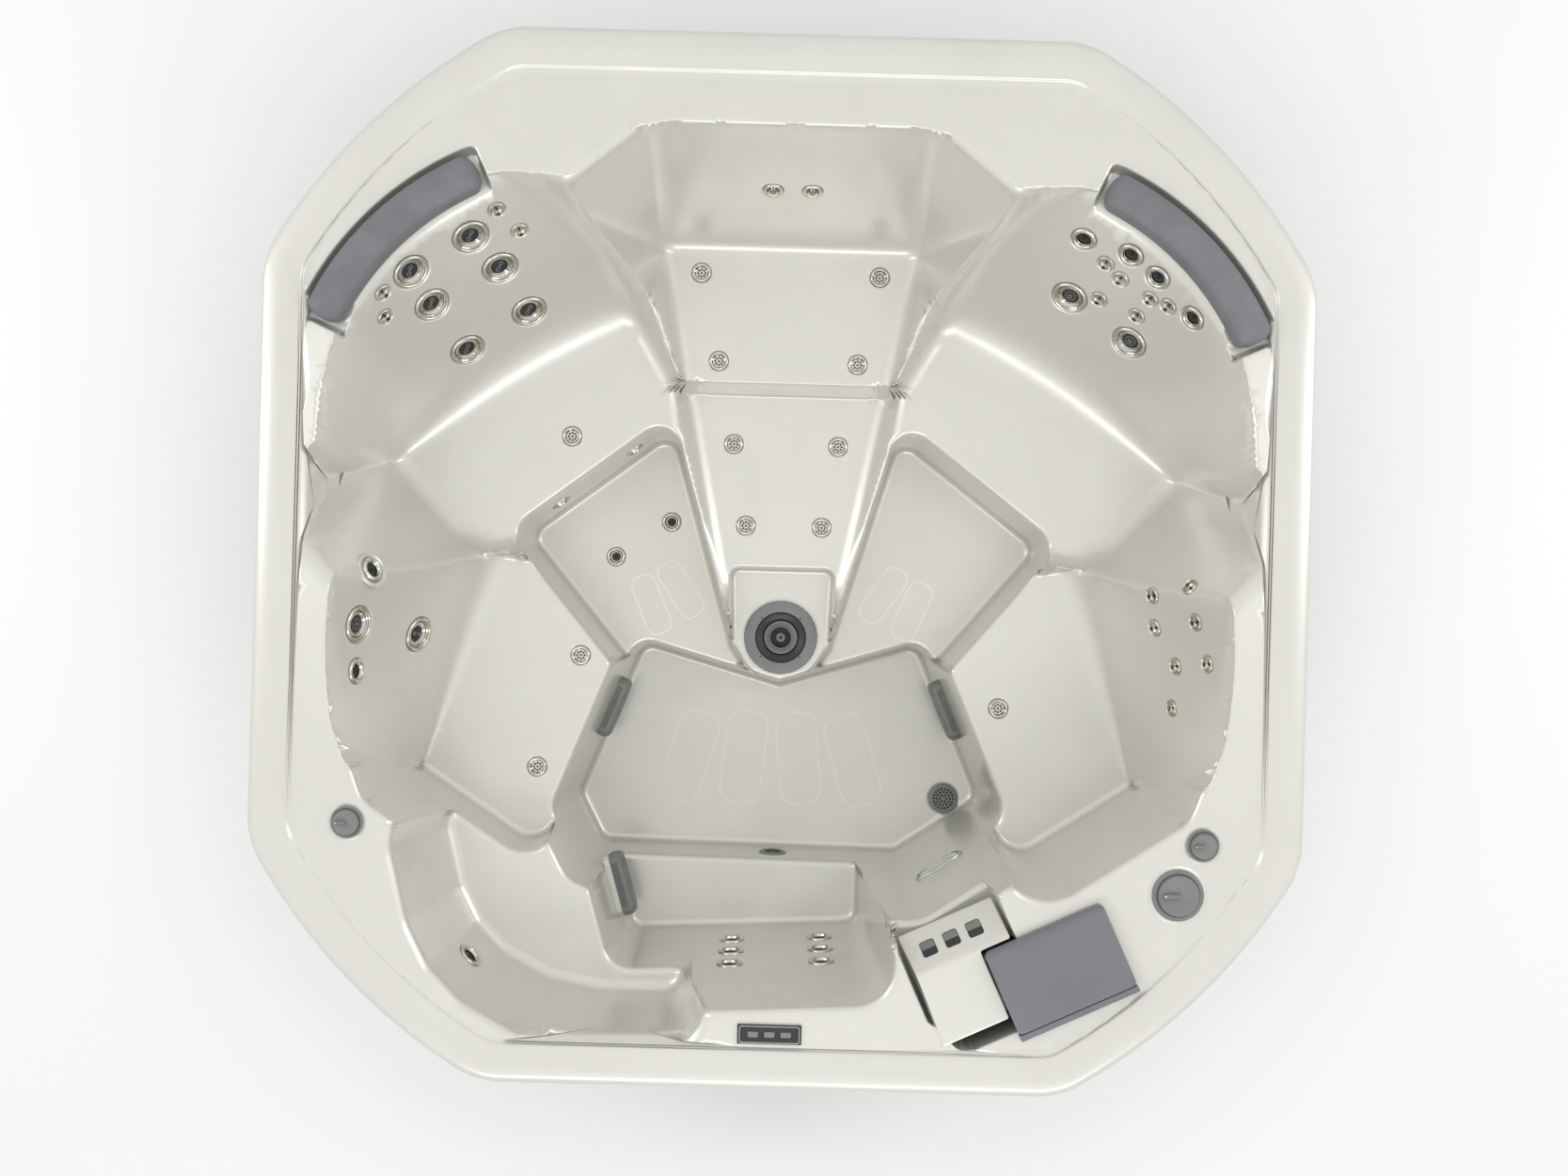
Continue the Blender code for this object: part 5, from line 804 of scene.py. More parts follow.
def stray_points(flat, faces):
    """Middles of the triangles whose facets stray from the rule."""
    corners = np.column_stack([flat, mould_height(flat[:, 0], flat[:, 1])])[faces]
    middles = flat[faces].mean(1)
    normal = np.cross(corners[:, 1] - corners[:, 0], corners[:, 2] - corners[:, 0])
    size = np.linalg.norm(normal, axis=1)
    tilt = np.abs(normal[:, 2]) / np.maximum(size, SMALLEST)
    error = np.abs(mould_height(middles[:, 0], middles[:, 1]) - corners[:, :, 2].mean(1)) * tilt
    return [tuple(p) for p in middles[(error > STRAY_HEIGHT) & (np.sqrt(size) > STRAY_SIZE)]]


def facing_up(flat, faces):
    """The same triangles, each turned so that it runs counter-clockwise in plan."""
    a, b, c = (flat[faces[:, k]] for k in range(3))
    area = (b - a)[:, 0] * (c - a)[:, 1] - (b - a)[:, 1] * (c - a)[:, 0]
    return np.where((area > 0)[:, None], faces, faces[:, ::-1])


def open_edges(faces):
    """The edges that only one triangle uses, in the direction in which it uses them."""
    runs = dict.fromkeys((int(face[k]), int(face[(k + 1) % 3])) for face in faces for k in range(3))
    return [(p, q) for p, q in runs if (q, p) not in runs]


points, edges, loose = plan_layout()
print("crease points:", len(points), "loose points:", len(loose))
flat, faces = triangulate(points + loose, edges)
for _ in range(STRAY_ROUNDS):
    loose += stray_points(flat, faces)
    flat, faces = triangulate(points + loose, edges)
print("corners:", len(flat), "triangles:", len(faces))

# %% [markdown]
# ### From the plan to the sheet
# The triangles are lifted on to the rule, and the sheet is pushed down a little round every fitting, which
# gives each jet its dished seat. The underside is the same net, one wall thickness behind. A rolled lip
# joins the two all round, so the shell is one closed body. Its normals come straight from the rule.

# %% Lift, seat the fittings and close the shell
LIP_STEPS = 8
LIP_CHAMFER = 0.002
GROOVE_WIDTH = 0.007
GROOVE_DEPTH = 0.003
GROOVE_RADIUS, GROOVE_TURNS = 0.106, range(150, 331, 12)
GROOVE_REACH, GROOVE_CREASE = 1.4, 1.6
GROOVE_START, GROOVE_END = (-0.008, 0.03), (0.035, 0.06)
BEAD_CREASE, LEAST_MOVE = 0.006, 0.001


def groove_path():
    """The moulded groove that runs round the diverter valve, open towards the seat."""
    centre = FITTINGS["diverter"][1].translation
    arc = [(centre.x + GROOVE_RADIUS * math.cos(math.radians(turn)),
            centre.y + GROOVE_RADIUS * math.sin(math.radians(turn))) for turn in GROOVE_TURNS]
    ends = [(place[0] + shift[0], place[1] + shift[1])
            for place, shift in ((arc[0], GROOVE_START), (arc[-1], GROOVE_END))]
    return [ends[0]] + arc + [ends[1]]


def seated(top):
    """The sheet pressed to the floor of the recess round each fitting, and how much each point was moved."""
    moved = np.zeros(len(top))
    for radius, place in ROUND_FITTINGS:
        turn, centre = np.array(place)[:3, :3], np.array(place)[:3, 3]
        local = (top - centre) @ turn
        reach = np.hypot(local[:, 0], local[:, 1]) / radius
        near = (reach < PAD_END_SHARE) & (np.abs(local[:, 2]) < radius)
        weight = smooth_step((PAD_END_SHARE - reach) / (PAD_END_SHARE - PAD_FLAT_SHARE)) * near
        top = top - turn[:, 2] * (local[:, 2] * weight)[:, None]
        moved = np.maximum(moved, weight)
    return top, moved


def lip_profile():
    """The rolled lip, as insets and heights: from the deck round and down, and back up inside."""
    turns = [math.pi / 2 * step / LIP_STEPS for step in range(LIP_STEPS + 1)]
    low, inner = HEIGHT - LIP_DROP, LIP_ROUND - SHELL_WALL
    outside = [(LIP_ROUND * (1 - math.sin(a)), HEIGHT - LIP_ROUND * (1 - math.cos(a))) for a in turns[1:]]
    end = [(0.0, low + LIP_CHAMFER), (LIP_CHAMFER, low), (SHELL_WALL - LIP_CHAMFER, low),
           (SHELL_WALL, low + LIP_CHAMFER)]
    inside = [(SHELL_WALL + inner * (1 - math.sin(a)), HEIGHT - LIP_ROUND + inner * math.cos(a))
              for a in turns[:0:-1]]
    return outside + end + inside


def build_shell():
    """The whole sheet: wet side, underside, rolled lip and the walls of the holes."""
    x, y = flat[:, 0], flat[:, 1]
    groove = path_distance(x, y, groove_path()) / GROOVE_WIDTH
    top = np.column_stack([x, y, mould_height(x, y)])
    top[:, 2] -= GROOVE_DEPTH * smooth_step(GROOVE_REACH - groove * GROOVE_REACH)
    normals = mould_normals(x, y)
    bottom = top - normals * SHELL_WALL
    top, moved = seated(top)
    count, ring_count = len(top), len(outline_ring(LIP_ROUND, RIM_STEPS))
    verts = [tuple(p) for p in np.vstack([top, bottom])]
    up = facing_up(flat, faces)
    polys = [tuple(f) for f in up] + [tuple(f[::-1] + count) for f in up]
    rims = [range(ring_count)]
    for inward, z in lip_profile():
        rims.append(range(len(verts), len(verts) + ring_count))
        verts += [(px, py, z) for px, py in outline_ring(inward, RIM_STEPS)]
    rims.append(range(count, count + ring_count))
    for upper, lower in zip(rims, rims[1:]):
        for i in range(ring_count):
            j = (i + 1) % ring_count
            polys.append((upper[j], upper[i], lower[i], lower[j]))
    polys += [(q, p, p + count, q + count) for p, q in open_edges(up) if max(p, q) >= ring_count]
    mesh = bpy.data.meshes.new("shell_sheet")
    mesh.from_pydata(verts, [], polys)
    mesh.update()
    mesh.shade_smooth()
    own = np.zeros(len(verts) * 3, np.float32)
    mesh.vertex_normals.foreach_get("vector", own)
    by_bead = rim_distance(x, y) < BEAD_INSET + BEAD_CREASE
    keep_own = (moved > LEAST_MOVE) | (groove < GROOVE_CREASE) | by_bead
    faced = np.zeros((len(verts), 3))
    faced[:count] = np.where(keep_own[:, None], own.reshape(-1, 3)[:count], normals)
    mesh.normals_split_custom_set_from_vertices([tuple(n) for n in faced])
    return mesh


def add_piece(name, mesh, finishes, body="tub", replaced=None):
    """Links a mesh as a piece that rides on a body."""
    mesh.name = name
    numbers = [face.material_index for face in mesh.polygons]
    finishes = finishes if isinstance(finishes, list) else [finishes]
    mesh.materials.clear()
    for made in finishes:
        mesh.materials.append(made)
    mesh.polygons.foreach_set("material_index", numbers)
    piece = linked(name, mesh)
    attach(piece, body)
    if replaced:
        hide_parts(replaced)
    return piece


shell_piece = add_piece("shell_sheet", build_shell(), PEARL, replaced="shell")
print("shell triangles:", sum(len(p.vertices) - 2 for p in shell_piece.data.polygons))

# %% [markdown]
# ## Turned shapes
# Jets, rings and knobs are turned parts, so they start as a profile: radius and height from the axis out
# and back to it. Each step of the profile may carry its own finish, which lets one turned mesh be
# part chrome and part dark plastic.

# %% Turned and rounded shapes
SMOOTH_ANGLE = math.radians(38)
BEVEL_ANGLE, FLAT_ANGLE = math.radians(30), math.radians(2)
BEVEL_SEGMENTS, BEVEL_PROFILE = 3, 0.6
SAME_CORNER = 0.00005


def on_circle(radius, steps, start=0.0):
    """Places evenly round a circle."""
    turns = [start + 2 * math.pi * k / steps for k in range(steps)]
    return [(radius * math.cos(turn), radius * math.sin(turn)) for turn in turns]


def to_mesh(bm, recalc=True, smooth=True, sharp=True):
    """The mesh of a bmesh: faces turned outwards, shaded smooth, and creased where they bend sharply."""
    if recalc:
        bmesh.ops.recalc_face_normals(bm, faces=bm.faces)
    mesh = bpy.data.meshes.new("part")
    bm.to_mesh(mesh)
    bm.free()
    if smooth:
        mesh.shade_smooth()
    if sharp:
        mesh.set_sharp_from_angle(angle=SMOOTH_ANGLE)
    return mesh


def skin(rows, closed=False):
    """A bmesh over rows of places: each row is a loop, and the rows close on themselves or end in caps."""
    bm = bmesh.new()
    made = [[bm.verts.new(place) for place in row] for row in rows]
    for row, after in zip(made, made[1:] + (made[:1] if closed else [])):
        for k in range(len(row)):
            m = (k + 1) % len(row)
            bm.faces.new((row[k], row[m], after[m], after[k]))
    if not closed:
        bm.faces.new(made[0][::-1])
        bm.faces.new(made[-1])
    return bm


def turned(profile, steps=40, finishes=None, wave=(0, 0, ())):
    """A closed mesh turned about Z. finishes gives one material number for each step of the profile, and
    wave the lobes, their height and the rows that have them."""
    lobes, swell, waved = wave
    bm = bmesh.new()
    rows = []
    for number, (radius, z) in enumerate(profile):
        row = []
        for x, y in on_circle(1, steps if radius > SMALLEST else 1):
            angle = math.atan2(y, x)
            r = radius * (1 + swell * abs(math.sin(lobes * angle / 2)) * (number in waved))
            row.append(bm.verts.new((r * x, r * y, z)))
        rows.append(row)
    for number, (lower, upper) in enumerate(zip(rows, rows[1:])):
        for i in range(steps):
            j = (i + 1) % steps
            corners = [lower[i % len(lower)], lower[j % len(lower)],
                       upper[j % len(upper)], upper[i % len(upper)]]
            face = bm.faces.new(list(dict.fromkeys(corners)))
            face.material_index = finishes[number] if finishes else 0
    bmesh.ops.remove_doubles(bm, verts=bm.verts, dist=SMALLEST)
    return to_mesh(bm)


def ring_mesh(radius, thick, steps=24):
    """A thin round ring about Z."""
    section = on_circle(thick, 8)
    return to_mesh(skin([[((radius + out) * x, (radius + out) * y, z) for out, z in section]
                         for x, y in on_circle(1, steps)], closed=True))


def joined(parts):
    """One mesh from parts: each a mesh, the shift of its material numbers and, if it is moved, its matrix."""
    bm = bmesh.new()
    for mesh, shift, *matrix in parts:
        first_face, first_vert = len(bm.faces), len(bm.verts)
        bm.from_mesh(mesh)
        bm.verts.ensure_lookup_table()
        bm.faces.ensure_lookup_table()
        if matrix:
            bmesh.ops.transform(bm, matrix=matrix[0], verts=bm.verts[first_vert:])
        for face in bm.faces[first_face:]:
            face.material_index += shift
    return to_mesh(bm, recalc=False, smooth=False)


def placed(mesh, place):
    """The same mesh, moved to a place."""
    mesh.transform(place)
    return mesh


def moved_by(*place):
    return Matrix.Translation(place)


def rounded(name, width):
    """A copy of a measured part with its doubled corners merged and its edges rounded."""
    bm = bmesh.new()
    bm.from_mesh(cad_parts[name].data)
    bmesh.ops.remove_doubles(bm, verts=bm.verts, dist=SAME_CORNER)
    bmesh.ops.dissolve_limit(bm, angle_limit=FLAT_ANGLE, verts=bm.verts, edges=bm.edges)
    sharp = [e for e in bm.edges if len(e.link_faces) == 2 and e.calc_face_angle(0) > BEVEL_ANGLE]
    bmesh.ops.bevel(bm, geom=sharp, offset=width, segments=BEVEL_SEGMENTS, profile=BEVEL_PROFILE,
                    affect="EDGES", clamp_overlap=True)
    return to_mesh(bm, recalc=False)


print("turning tools ready")

# %% [markdown]
# ## Copies set by Geometry Nodes
# The jets of a seat are alike and only their places differ. A small Geometry Nodes tree takes a cloud of
# points that know which way they face, sets a copy of one template on each and makes the copies real. The
# result is read back as a plain mesh.

# %% The tree that sets copies on a surface
DIRECTIONS = (("facing", "Z", 2), ("along", "X", 0))


def copies_tree():
    """Turns each copy by two directions that its point carries: where it faces, and how it lies."""
    tree = bpy.data.node_groups.new("set_on_surface", "GeometryNodeTree")
    for label, kind in (("Geometry", "NodeSocketGeometry"), ("Template", "NodeSocketObject")):
        tree.interface.new_socket(label, in_out="INPUT", socket_type=kind)
    tree.interface.new_socket("Geometry", in_out="OUTPUT", socket_type="NodeSocketGeometry")
    given = node(tree, "NodeGroupInput").outputs
    turns = []
    for label, axis, _ in DIRECTIONS:
        read = node(tree, "GeometryNodeInputNamedAttribute", {"Name": label}, data_type="FLOAT_VECTOR")
        turns.append(node(tree, "FunctionNodeAlignRotationToVector", {"Vector": read.outputs["Attribute"]},
                          axis=axis))
    turns[1].pivot_axis = "Z"
    wire(turns[1], {"Rotation": turns[0].outputs["Rotation"]})
    template = node(tree, "GeometryNodeObjectInfo", {"Object": given["Template"]})
    place = node(tree, "GeometryNodeInstanceOnPoints",
                 {"Points": given["Geometry"], "Instance": template.outputs["Geometry"],
                  "Rotation": turns[1].outputs["Rotation"]})
    real = node(tree, "GeometryNodeRealizeInstances", {"Geometry": place.outputs["Instances"]})
    node(tree, "NodeGroupOutput", {"Geometry": real.outputs["Geometry"]})
    return tree


COPIES = copies_tree()


def copies(template_mesh, places):
    """A mesh of real copies of a template, one at each frame."""
    cloud_mesh = bpy.data.meshes.new("places")
    cloud_mesh.from_pydata([tuple(p.translation) for p in places], [], [])
    for label, _, column in DIRECTIONS:
        attribute = cloud_mesh.attributes.new(label, "FLOAT_VECTOR", "POINT")
        attribute.data.foreach_set("vector", [v for p in places for v in p.col[column][:3]])
    cloud, template = linked("places", cloud_mesh), linked("template", template_mesh)
    modifier = cloud.modifiers.new("copies", "NODES")
    modifier.node_group = COPIES
    socket, = (item for item in COPIES.interface.items_tree if item.name == "Template")
    modifier[socket.identifier] = template
    bpy.context.view_layer.update()
    result = bpy.data.meshes.new_from_object(cloud.evaluated_get(bpy.context.evaluated_depsgraph_get()))
    for helper in (cloud, template):
        bpy.data.objects.remove(helper)
    result.set_sharp_from_angle(angle=SMOOTH_ANGLE)
    return result


print("tree nodes:", len(COPIES.nodes))

# %% [markdown]
# ## Jets
# Every jet has a polished bezel that stands a few millimetres proud, a dished seat and a dark nozzle. The
# large ones on the backrests have a face that turns. They are told apart by their radius: small ones are
# almost flat discs, seat jets have a ring of dark discs painted as holes, wall jets have a deep bright ring.

# %% Templates of the jets
BARREL_DEPTH, BEZEL_RISE = 0.055, 0.0055
FACE_SHARE, CORE_SHARE = 0.715, 0.47

# Nozzles of each kind of face: outer and bore radius as shares of the core, height, steps, level and places
FACE_NOZZLES = {
    "twin": [(0.27, 0.17, 0.0022, 20, -0.0052, [(-0.36, -0.3), (0.36, 0.3)])],
    "target": [(0.3, 0.15, 0.0032, 20, -0.0048, [(0, 0)])],
    "eyeball": [(0.24, 0.12, 0.003, 20, -0.005, [(0, -0.45), (0, 0.45)])],
    "holes": [(0.19, 0.15, 0.0016, 12, -0.0053, on_circle(0.62, 8)),
              (0.2, 0.1, 0.0024, 14, -0.005, [(0, 0)])],
}
# Their rings: radius as a share of the core, thickness and level
FACE_RINGS = {"twin": [(0.14, 0.0009, -0.0048)], "target": [(0.62, 0.0011, -0.0052)]}


def bezel_mesh(radius, cup_share, depth):
    """Bezel, cup and barrel of a jet, turned as one closed body."""
    cup = cup_share * radius
    inner = cup + radius * 0.05
    middle, half = (inner + radius) / 2, (radius - inner) / 2
    profile = [(0, -depth), (cup * 0.97, -depth), (cup, -depth + 0.0008), (cup, -0.0012)]
    for step in range(9):
        angle = math.pi * step / 8
        profile.append((middle - half * math.cos(angle), BEZEL_RISE * math.sin(angle) ** 0.8 + 0.0006))
    profile += [(radius, 0.0003), (radius * 0.84, 0.0001), (radius * 0.84, -BARREL_DEPTH * 0.9),
                (radius * 0.8, -BARREL_DEPTH), (0, -BARREL_DEPTH)]
    return turned(profile, 36)


def nozzle_ring(radius, bore, height, steps=20):
    """A short raised tube with a bore, closed at its floor."""
    wall = radius - bore
    return turned([(0, -height), (bore, -height), (bore, height - wall / 3), (bore + wall / 3, height),
                   (radius - wall / 3, height), (radius, height - wall / 3), (radius, -1.5 * height),
                   (0, -1.5 * height)], steps)


def face_mesh(kind):
    """The turning face of a large jet: a polished cone with a dark core and its nozzles."""
    r, core = LARGE * FACE_SHARE, LARGE * CORE_SHARE
    profile = [(0, -0.0098), (r, -0.0098), (r, -0.0012), (r - 0.0012, 0.0002), (r * 0.86, -0.0004),
               (core + 0.0035, -0.0042), (core + 0.0008, -0.0042), (core, -0.0052), (core - 0.0006, -0.0064),
               (core * 0.55, -0.0052), (0, -0.005)]
    parts = [(turned(profile, 40, [0] * 7 + [1] * 3), 0)]
    for outer, bore, height, steps, level_z, places in FACE_NOZZLES[kind]:
        nozzle = nozzle_ring(core * outer, core * bore, height, steps)
        parts += [(nozzle, 2, moved_by(core * x, core * y, level_z)) for x, y in places]
    for share, thick, level_z in FACE_RINGS.get(kind, []):
        parts.append((ring_mesh(core * share, thick), 2, moved_by(0, 0, level_z)))
    return joined(parts)


def core_mesh(radius, kind):
    """What shows in the cup of a fixed jet: a small pin, a ring of dark discs painted as holes, or a dark
    nozzle.
    """
    if kind == "small":
        return turned([(0, -0.003), (radius * 0.16, -0.003), (radius * 0.16, -0.0008), (0, -0.0006)], 12)
    if kind == "holes":
        # Dark discs on the cup's floor: painted shade standing in for a ring of holes
        hole = turned([(0, -0.0062), (0.0026, -0.0062), (0.0026, -0.0042), (0, -0.004)], 10)
        return joined([(hole, 0, moved_by(x, y, 0)) for x, y in [(0, 0)] + on_circle(radius * 0.38, 8)])
    core = turned([(0, -0.008), (radius * 0.5, -0.008), (radius * 0.5, -0.004), (radius * 0.42, -0.0026),
                   (radius * 0.3, -0.0032), (0, -0.0034)], 28)
    return joined([(core, 0), (nozzle_ring(radius * 0.2, radius * 0.1, 0.0024), 0, moved_by(0, 0, -0.0024))])


# Share and depth of the cup, and what shows in it, for each size of jet
CUPS = {LARGE: (0.74, 0.0102), MIDDLE: (0.56, 0.009), SEATED: (0.62, 0.0052), SMALL: (0.72, 0.0032),
        WALLED: (0.6, 0.009)}
CORES = {MIDDLE: "dark", SEATED: "holes", SMALL: "small", WALLED: "dark"}
print("kinds of jet:", len(CUPS))

# %% [markdown]
# ## Jets on their seats
# The templates are now copied to their places. The jets of one seat share a hose that runs under the sheet
# from barrel to barrel, and each jet on a seat stands in a raised ring of the shell. Between bezel and ring
# a grey ring paints the shade of the gap.

# %% Set the jets in the shell
PIPE_RADIUS = 0.01
PIPE_DEPTH = 0.045
PIPE_SIDES = 10
HOSE_STEP = 0.06
STEEP = 0.3
PAD_PROFILE = [(1.05, -0.005), (1.44, -0.005), (1.44, -0.0004), (1.41, 0.0012), (1.36, 0.0024),
               (1.3, 0.0024), (1.22, 0.0014), (1.05, -0.0004)]
# A grey ring in the gap round each bezel, painted as the shade of that gap
GAP_PROFILE = [(1.005, -0.005), (1.045, -0.005), (1.045, 0.0009), (1.005, 0.0009)]
FACE_KINDS = ["twin"] * 6 + ["target"] * 2 + ["eyeball", "holes"]


def pipe_mesh(route):
    """A round hose through points, with flat ends."""
    rows, side = [], None
    for i, here in enumerate(route):
        run = (route[min(i + 1, len(route) - 1)] - route[max(i - 1, 0)]).normalized()
        side = run.orthogonal().normalized() if side is None else (side - run * side.dot(run)).normalized()
        other = run.cross(side)
        rows.append([here + x * side + y * other for x, y in on_circle(PIPE_RADIUS, PIPE_SIDES)])
    return to_mesh(skin(rows))


def behind(place):
    """The point behind a jet where its hose joins it."""
    return place @ Vector((0, 0, RECESS - PIPE_DEPTH))


def hose_route(places):
    """A route behind the sheet from jet to jet; across the mould it follows the sheet's underside."""
    route = [behind(places[0])]
    for start, end in zip(places, places[1:]):
        steep = min(start.col[2][2], end.col[2][2]) < STEEP
        span = (end.translation - start.translation).length
        count = 1 if steep else max(1, math.ceil(span / HOSE_STEP))
        for step in range(1, count):
            x, y = start.translation.xy.lerp(end.translation.xy, step / count)
            route.append(behind(surface_frame(x / HALF, y / HALF)))
        after = behind(end)
        if end.col[2][2] < STEEP < start.col[2][2]:
            route.append(Vector((after.x, after.y, route[-1].z)))
        route.append(after)
    return route


def jets_of(places, radius):
    return [place for r, place in places if r == radius]


for group, places in JETS.items():
    label = group.replace("jets_", "").replace("jet_", "")
    parts, cores = [], []
    for radius in sorted({radius for radius, _ in places}):
        here = jets_of(places, radius)
        parts.append((copies(bezel_mesh(radius, *CUPS[radius]), here), 0))
        if radius in CORES:
            kind = "dark" if group == "jets_step" else CORES[radius]
            cores.append((copies(core_mesh(radius, kind), here), 0))
    if len(places) > 1:
        parts.append((pipe_mesh(hose_route([place for _, place in places])), 1))
    add_piece("bezels_" + label, joined(parts), [CHROME, PIPE], replaced=group)
    if cores:
        add_piece("nozzles_" + label, joined(cores), DARK)

all_jets = [jet for places in JETS.values() for jet in places]
SEAT_RINGS = (("jet_pads", PAD_PROFILE, 48, PEARL), ("jet_gaskets", GAP_PROFILE, 40, GREY))
for name, profile, steps, made in SEAT_RINGS:
    parts = []
    for radius in (LARGE, MIDDLE, SEATED):
        ring = turned([(radius * share, z) for share, z in profile + profile[:1]], steps)
        parts.append((copies(ring, jets_of(all_jets, radius)), 0))
    add_piece(name, joined(parts), made)

large_places = jets_of(all_jets, LARGE)
for number, (place, kind) in enumerate(zip(large_places, FACE_KINDS), start=1):
    add_piece(f"turning_face_{number:02d}", placed(face_mesh(kind), place), [CHROME, DARK, GREY],
              body=f"face_{number:02d}", replaced=f"jet_face_{number:02d}")
print("jets set:", len(all_jets))

# %% [markdown]
# ## Plates with holes
# Grilles, the filter lid and the skimmer cover are plates: an outline in plan, some holes, and a rule that
# lifts both sides. The outline is cut into triangles with its holes left out, and walls close every edge.

# %% Plates
def filleted(points, radius, steps=6):
    """An outline whose corners are rounded; works for inner corners too."""
    result = []
    count = len(points)
    for i in range(count):
        before, here, after = (Vector(points[(i + k) % count]) for k in (-1, 0, 1))
        start = here + (before - here).normalized() * radius
        end = here + (after - here).normalized() * radius
        for step in range(steps + 1):
            share = step / steps
            result.append(tuple(start.lerp(here, share).lerp(here.lerp(end, share), share)))
    return result


def rectangle(half_x, half_y, radius, middle=(0, 0)):
    x, y = middle
    return filleted([(x - half_x, y - half_y), (x + half_x, y - half_y), (x + half_x, y + half_y),
                     (x - half_x, y + half_y)], radius)


def circle(radius, middle=(0, 0), steps=10):
    return [(middle[0] + x, middle[1] + y) for x, y in on_circle(radius, steps)]


def both_faces(u, v, top, low):
    """The places of a plate's upper and lower face."""
    return np.stack([u, v, top], 1), np.stack([u, v, low + 0 * u], 1)


def plate(outline, holes, sides, spacing, rings=()):
    """A closed plate. sides(u, v, edge) gives its two faces, where edge is the distance from the outline."""
    loops = [outline] + list(holes) + [inset(outline, amount) for amount in rings]
    points, edges = [], []
    for loop in loops:
        start = len(points)
        points += [Vector(p) for p in loop]
        edges += [(start + i, start + (i + 1) % len(loop)) for i in range(len(loop))]
    low, high = np.min(outline, axis=0), np.max(outline, axis=0)
    grid = np.meshgrid(np.arange(low[0], high[0], spacing), np.arange(low[1], high[1], spacing))
    u, v = (axis.ravel() for axis in grid)
    free = polygon_distance(u, v, outline) < -(max(rings, default=0) + spacing / 3)
    for hole in holes:
        free &= polygon_distance(u, v, hole) > spacing / 4
    points += [Vector(p) for p in zip(u[free], v[free])]
    made, _, cells, *_ = delaunay_2d_cdt(points, edges, [], 0, LEAST_EDGE / 10)
    made, cells = np.array([tuple(p) for p in made]), np.array(cells)
    mu, mv = made[cells].mean(1).T
    kept = polygon_distance(mu, mv, outline) < 0
    for hole in holes:
        kept &= polygon_distance(mu, mv, hole) > 0
    cells = facing_up(made, cells[kept])
    u, v = made.T
    upper, lower = sides(u, v, np.maximum(-polygon_distance(u, v, outline), 0))
    count = len(u)
    bm = bmesh.new()
    corners = [bm.verts.new(p) for p in (*upper, *lower)]
    for i, j, k in cells:
        bm.faces.new((corners[i], corners[j], corners[k]))
        bm.faces.new((corners[k + count], corners[j + count], corners[i + count]))
    for i, j in open_edges(cells):
        bm.faces.new((corners[j], corners[i], corners[i + count], corners[j + count]))
    bmesh.ops.delete(bm, geom=[c for c in bm.verts if not c.link_faces], context="VERTS")
    return to_mesh(bm)


def rounded_edge(edge, radius):
    """Rise of a quarter round from 0 at the edge to 1 at one radius in."""
    return np.sqrt(np.maximum(1 - (1 - np.clip(edge / radius, 0, 1)) ** 2, 0))


def slab(outline, low, high, radius, spacing=0.02, holes=()):
    """A flat plate with a rounded upper edge."""
    def sides(u, v, edge):
        return both_faces(u, v, high - radius + radius * rounded_edge(edge, radius), low)

    return plate(outline, holes, sides, spacing, [radius * share for share in (0.08, 0.3, 0.6, 1.0)])


print("plate of a rounded square:", len(slab(rectangle(0.02, 0.02, 0.005), 0, 0.01, 0.002).polygons), "faces")

# %% [markdown]
# ## Foot jet
# The large jet on the dome has a flat grey ring with a scalloped rim, a bevelled violet-grey ring inside it,
# and a nozzle of concentric rings round a bore, which turns to open and close it. The bore is painted dark,
# as the shade inside it.

# %% Build the foot jet
FOOT_LOBES, LOBE_SWELL = 36, 0.012
FOOT_PLACE = FITTINGS["foot_jet"][1]
TAB_CIRCLE, TAB_LEVEL = 0.0685, 0.0086
housing = turned([(0, -0.11), (0.07, -0.11), (0.07, 0.0001), (0.0915, 0.0001), (0.0915, 0.005),
                  (0.0905, 0.0075), (0.0885, 0.0088), (0.0655, 0.0088), (0.0642, 0.008), (0.0635, 0.006),
                  (0.0635, -0.0299), (0, -0.0299)], FOOT_LOBES * 4, wave=(FOOT_LOBES, LOBE_SWELL, (3, 4, 5)))
tab = turned([(0, 0), (0.0021, 0), (0.0021, 0.0004), (0.0014, 0.0006), (0.0014, 0.0002), (0, 0.0002)], 12)
tabs = [(tab, 1, moved_by(x, y, TAB_LEVEL)) for x, y in on_circle(TAB_CIRCLE, 4, math.pi / 4)]
add_piece("foot_ring", placed(joined([(housing, 0)] + tabs), FOOT_PLACE), [GREY, DARK],
          replaced="foot_jet_housing")

bevel_ring = turned([(0.0437, -0.0295), (0.0622, -0.0295), (0.0622, 0.0076), (0.0612, 0.0086),
                     (0.0598, 0.0084), (0.0462, 0.0034), (0.0446, 0.0022), (0.0437, 0.0004),
                     (0.0437, -0.0295)], 96)
add_piece("foot_bevel", placed(bevel_ring, FOOT_PLACE), DARK, replaced="foot_jet_bezel")

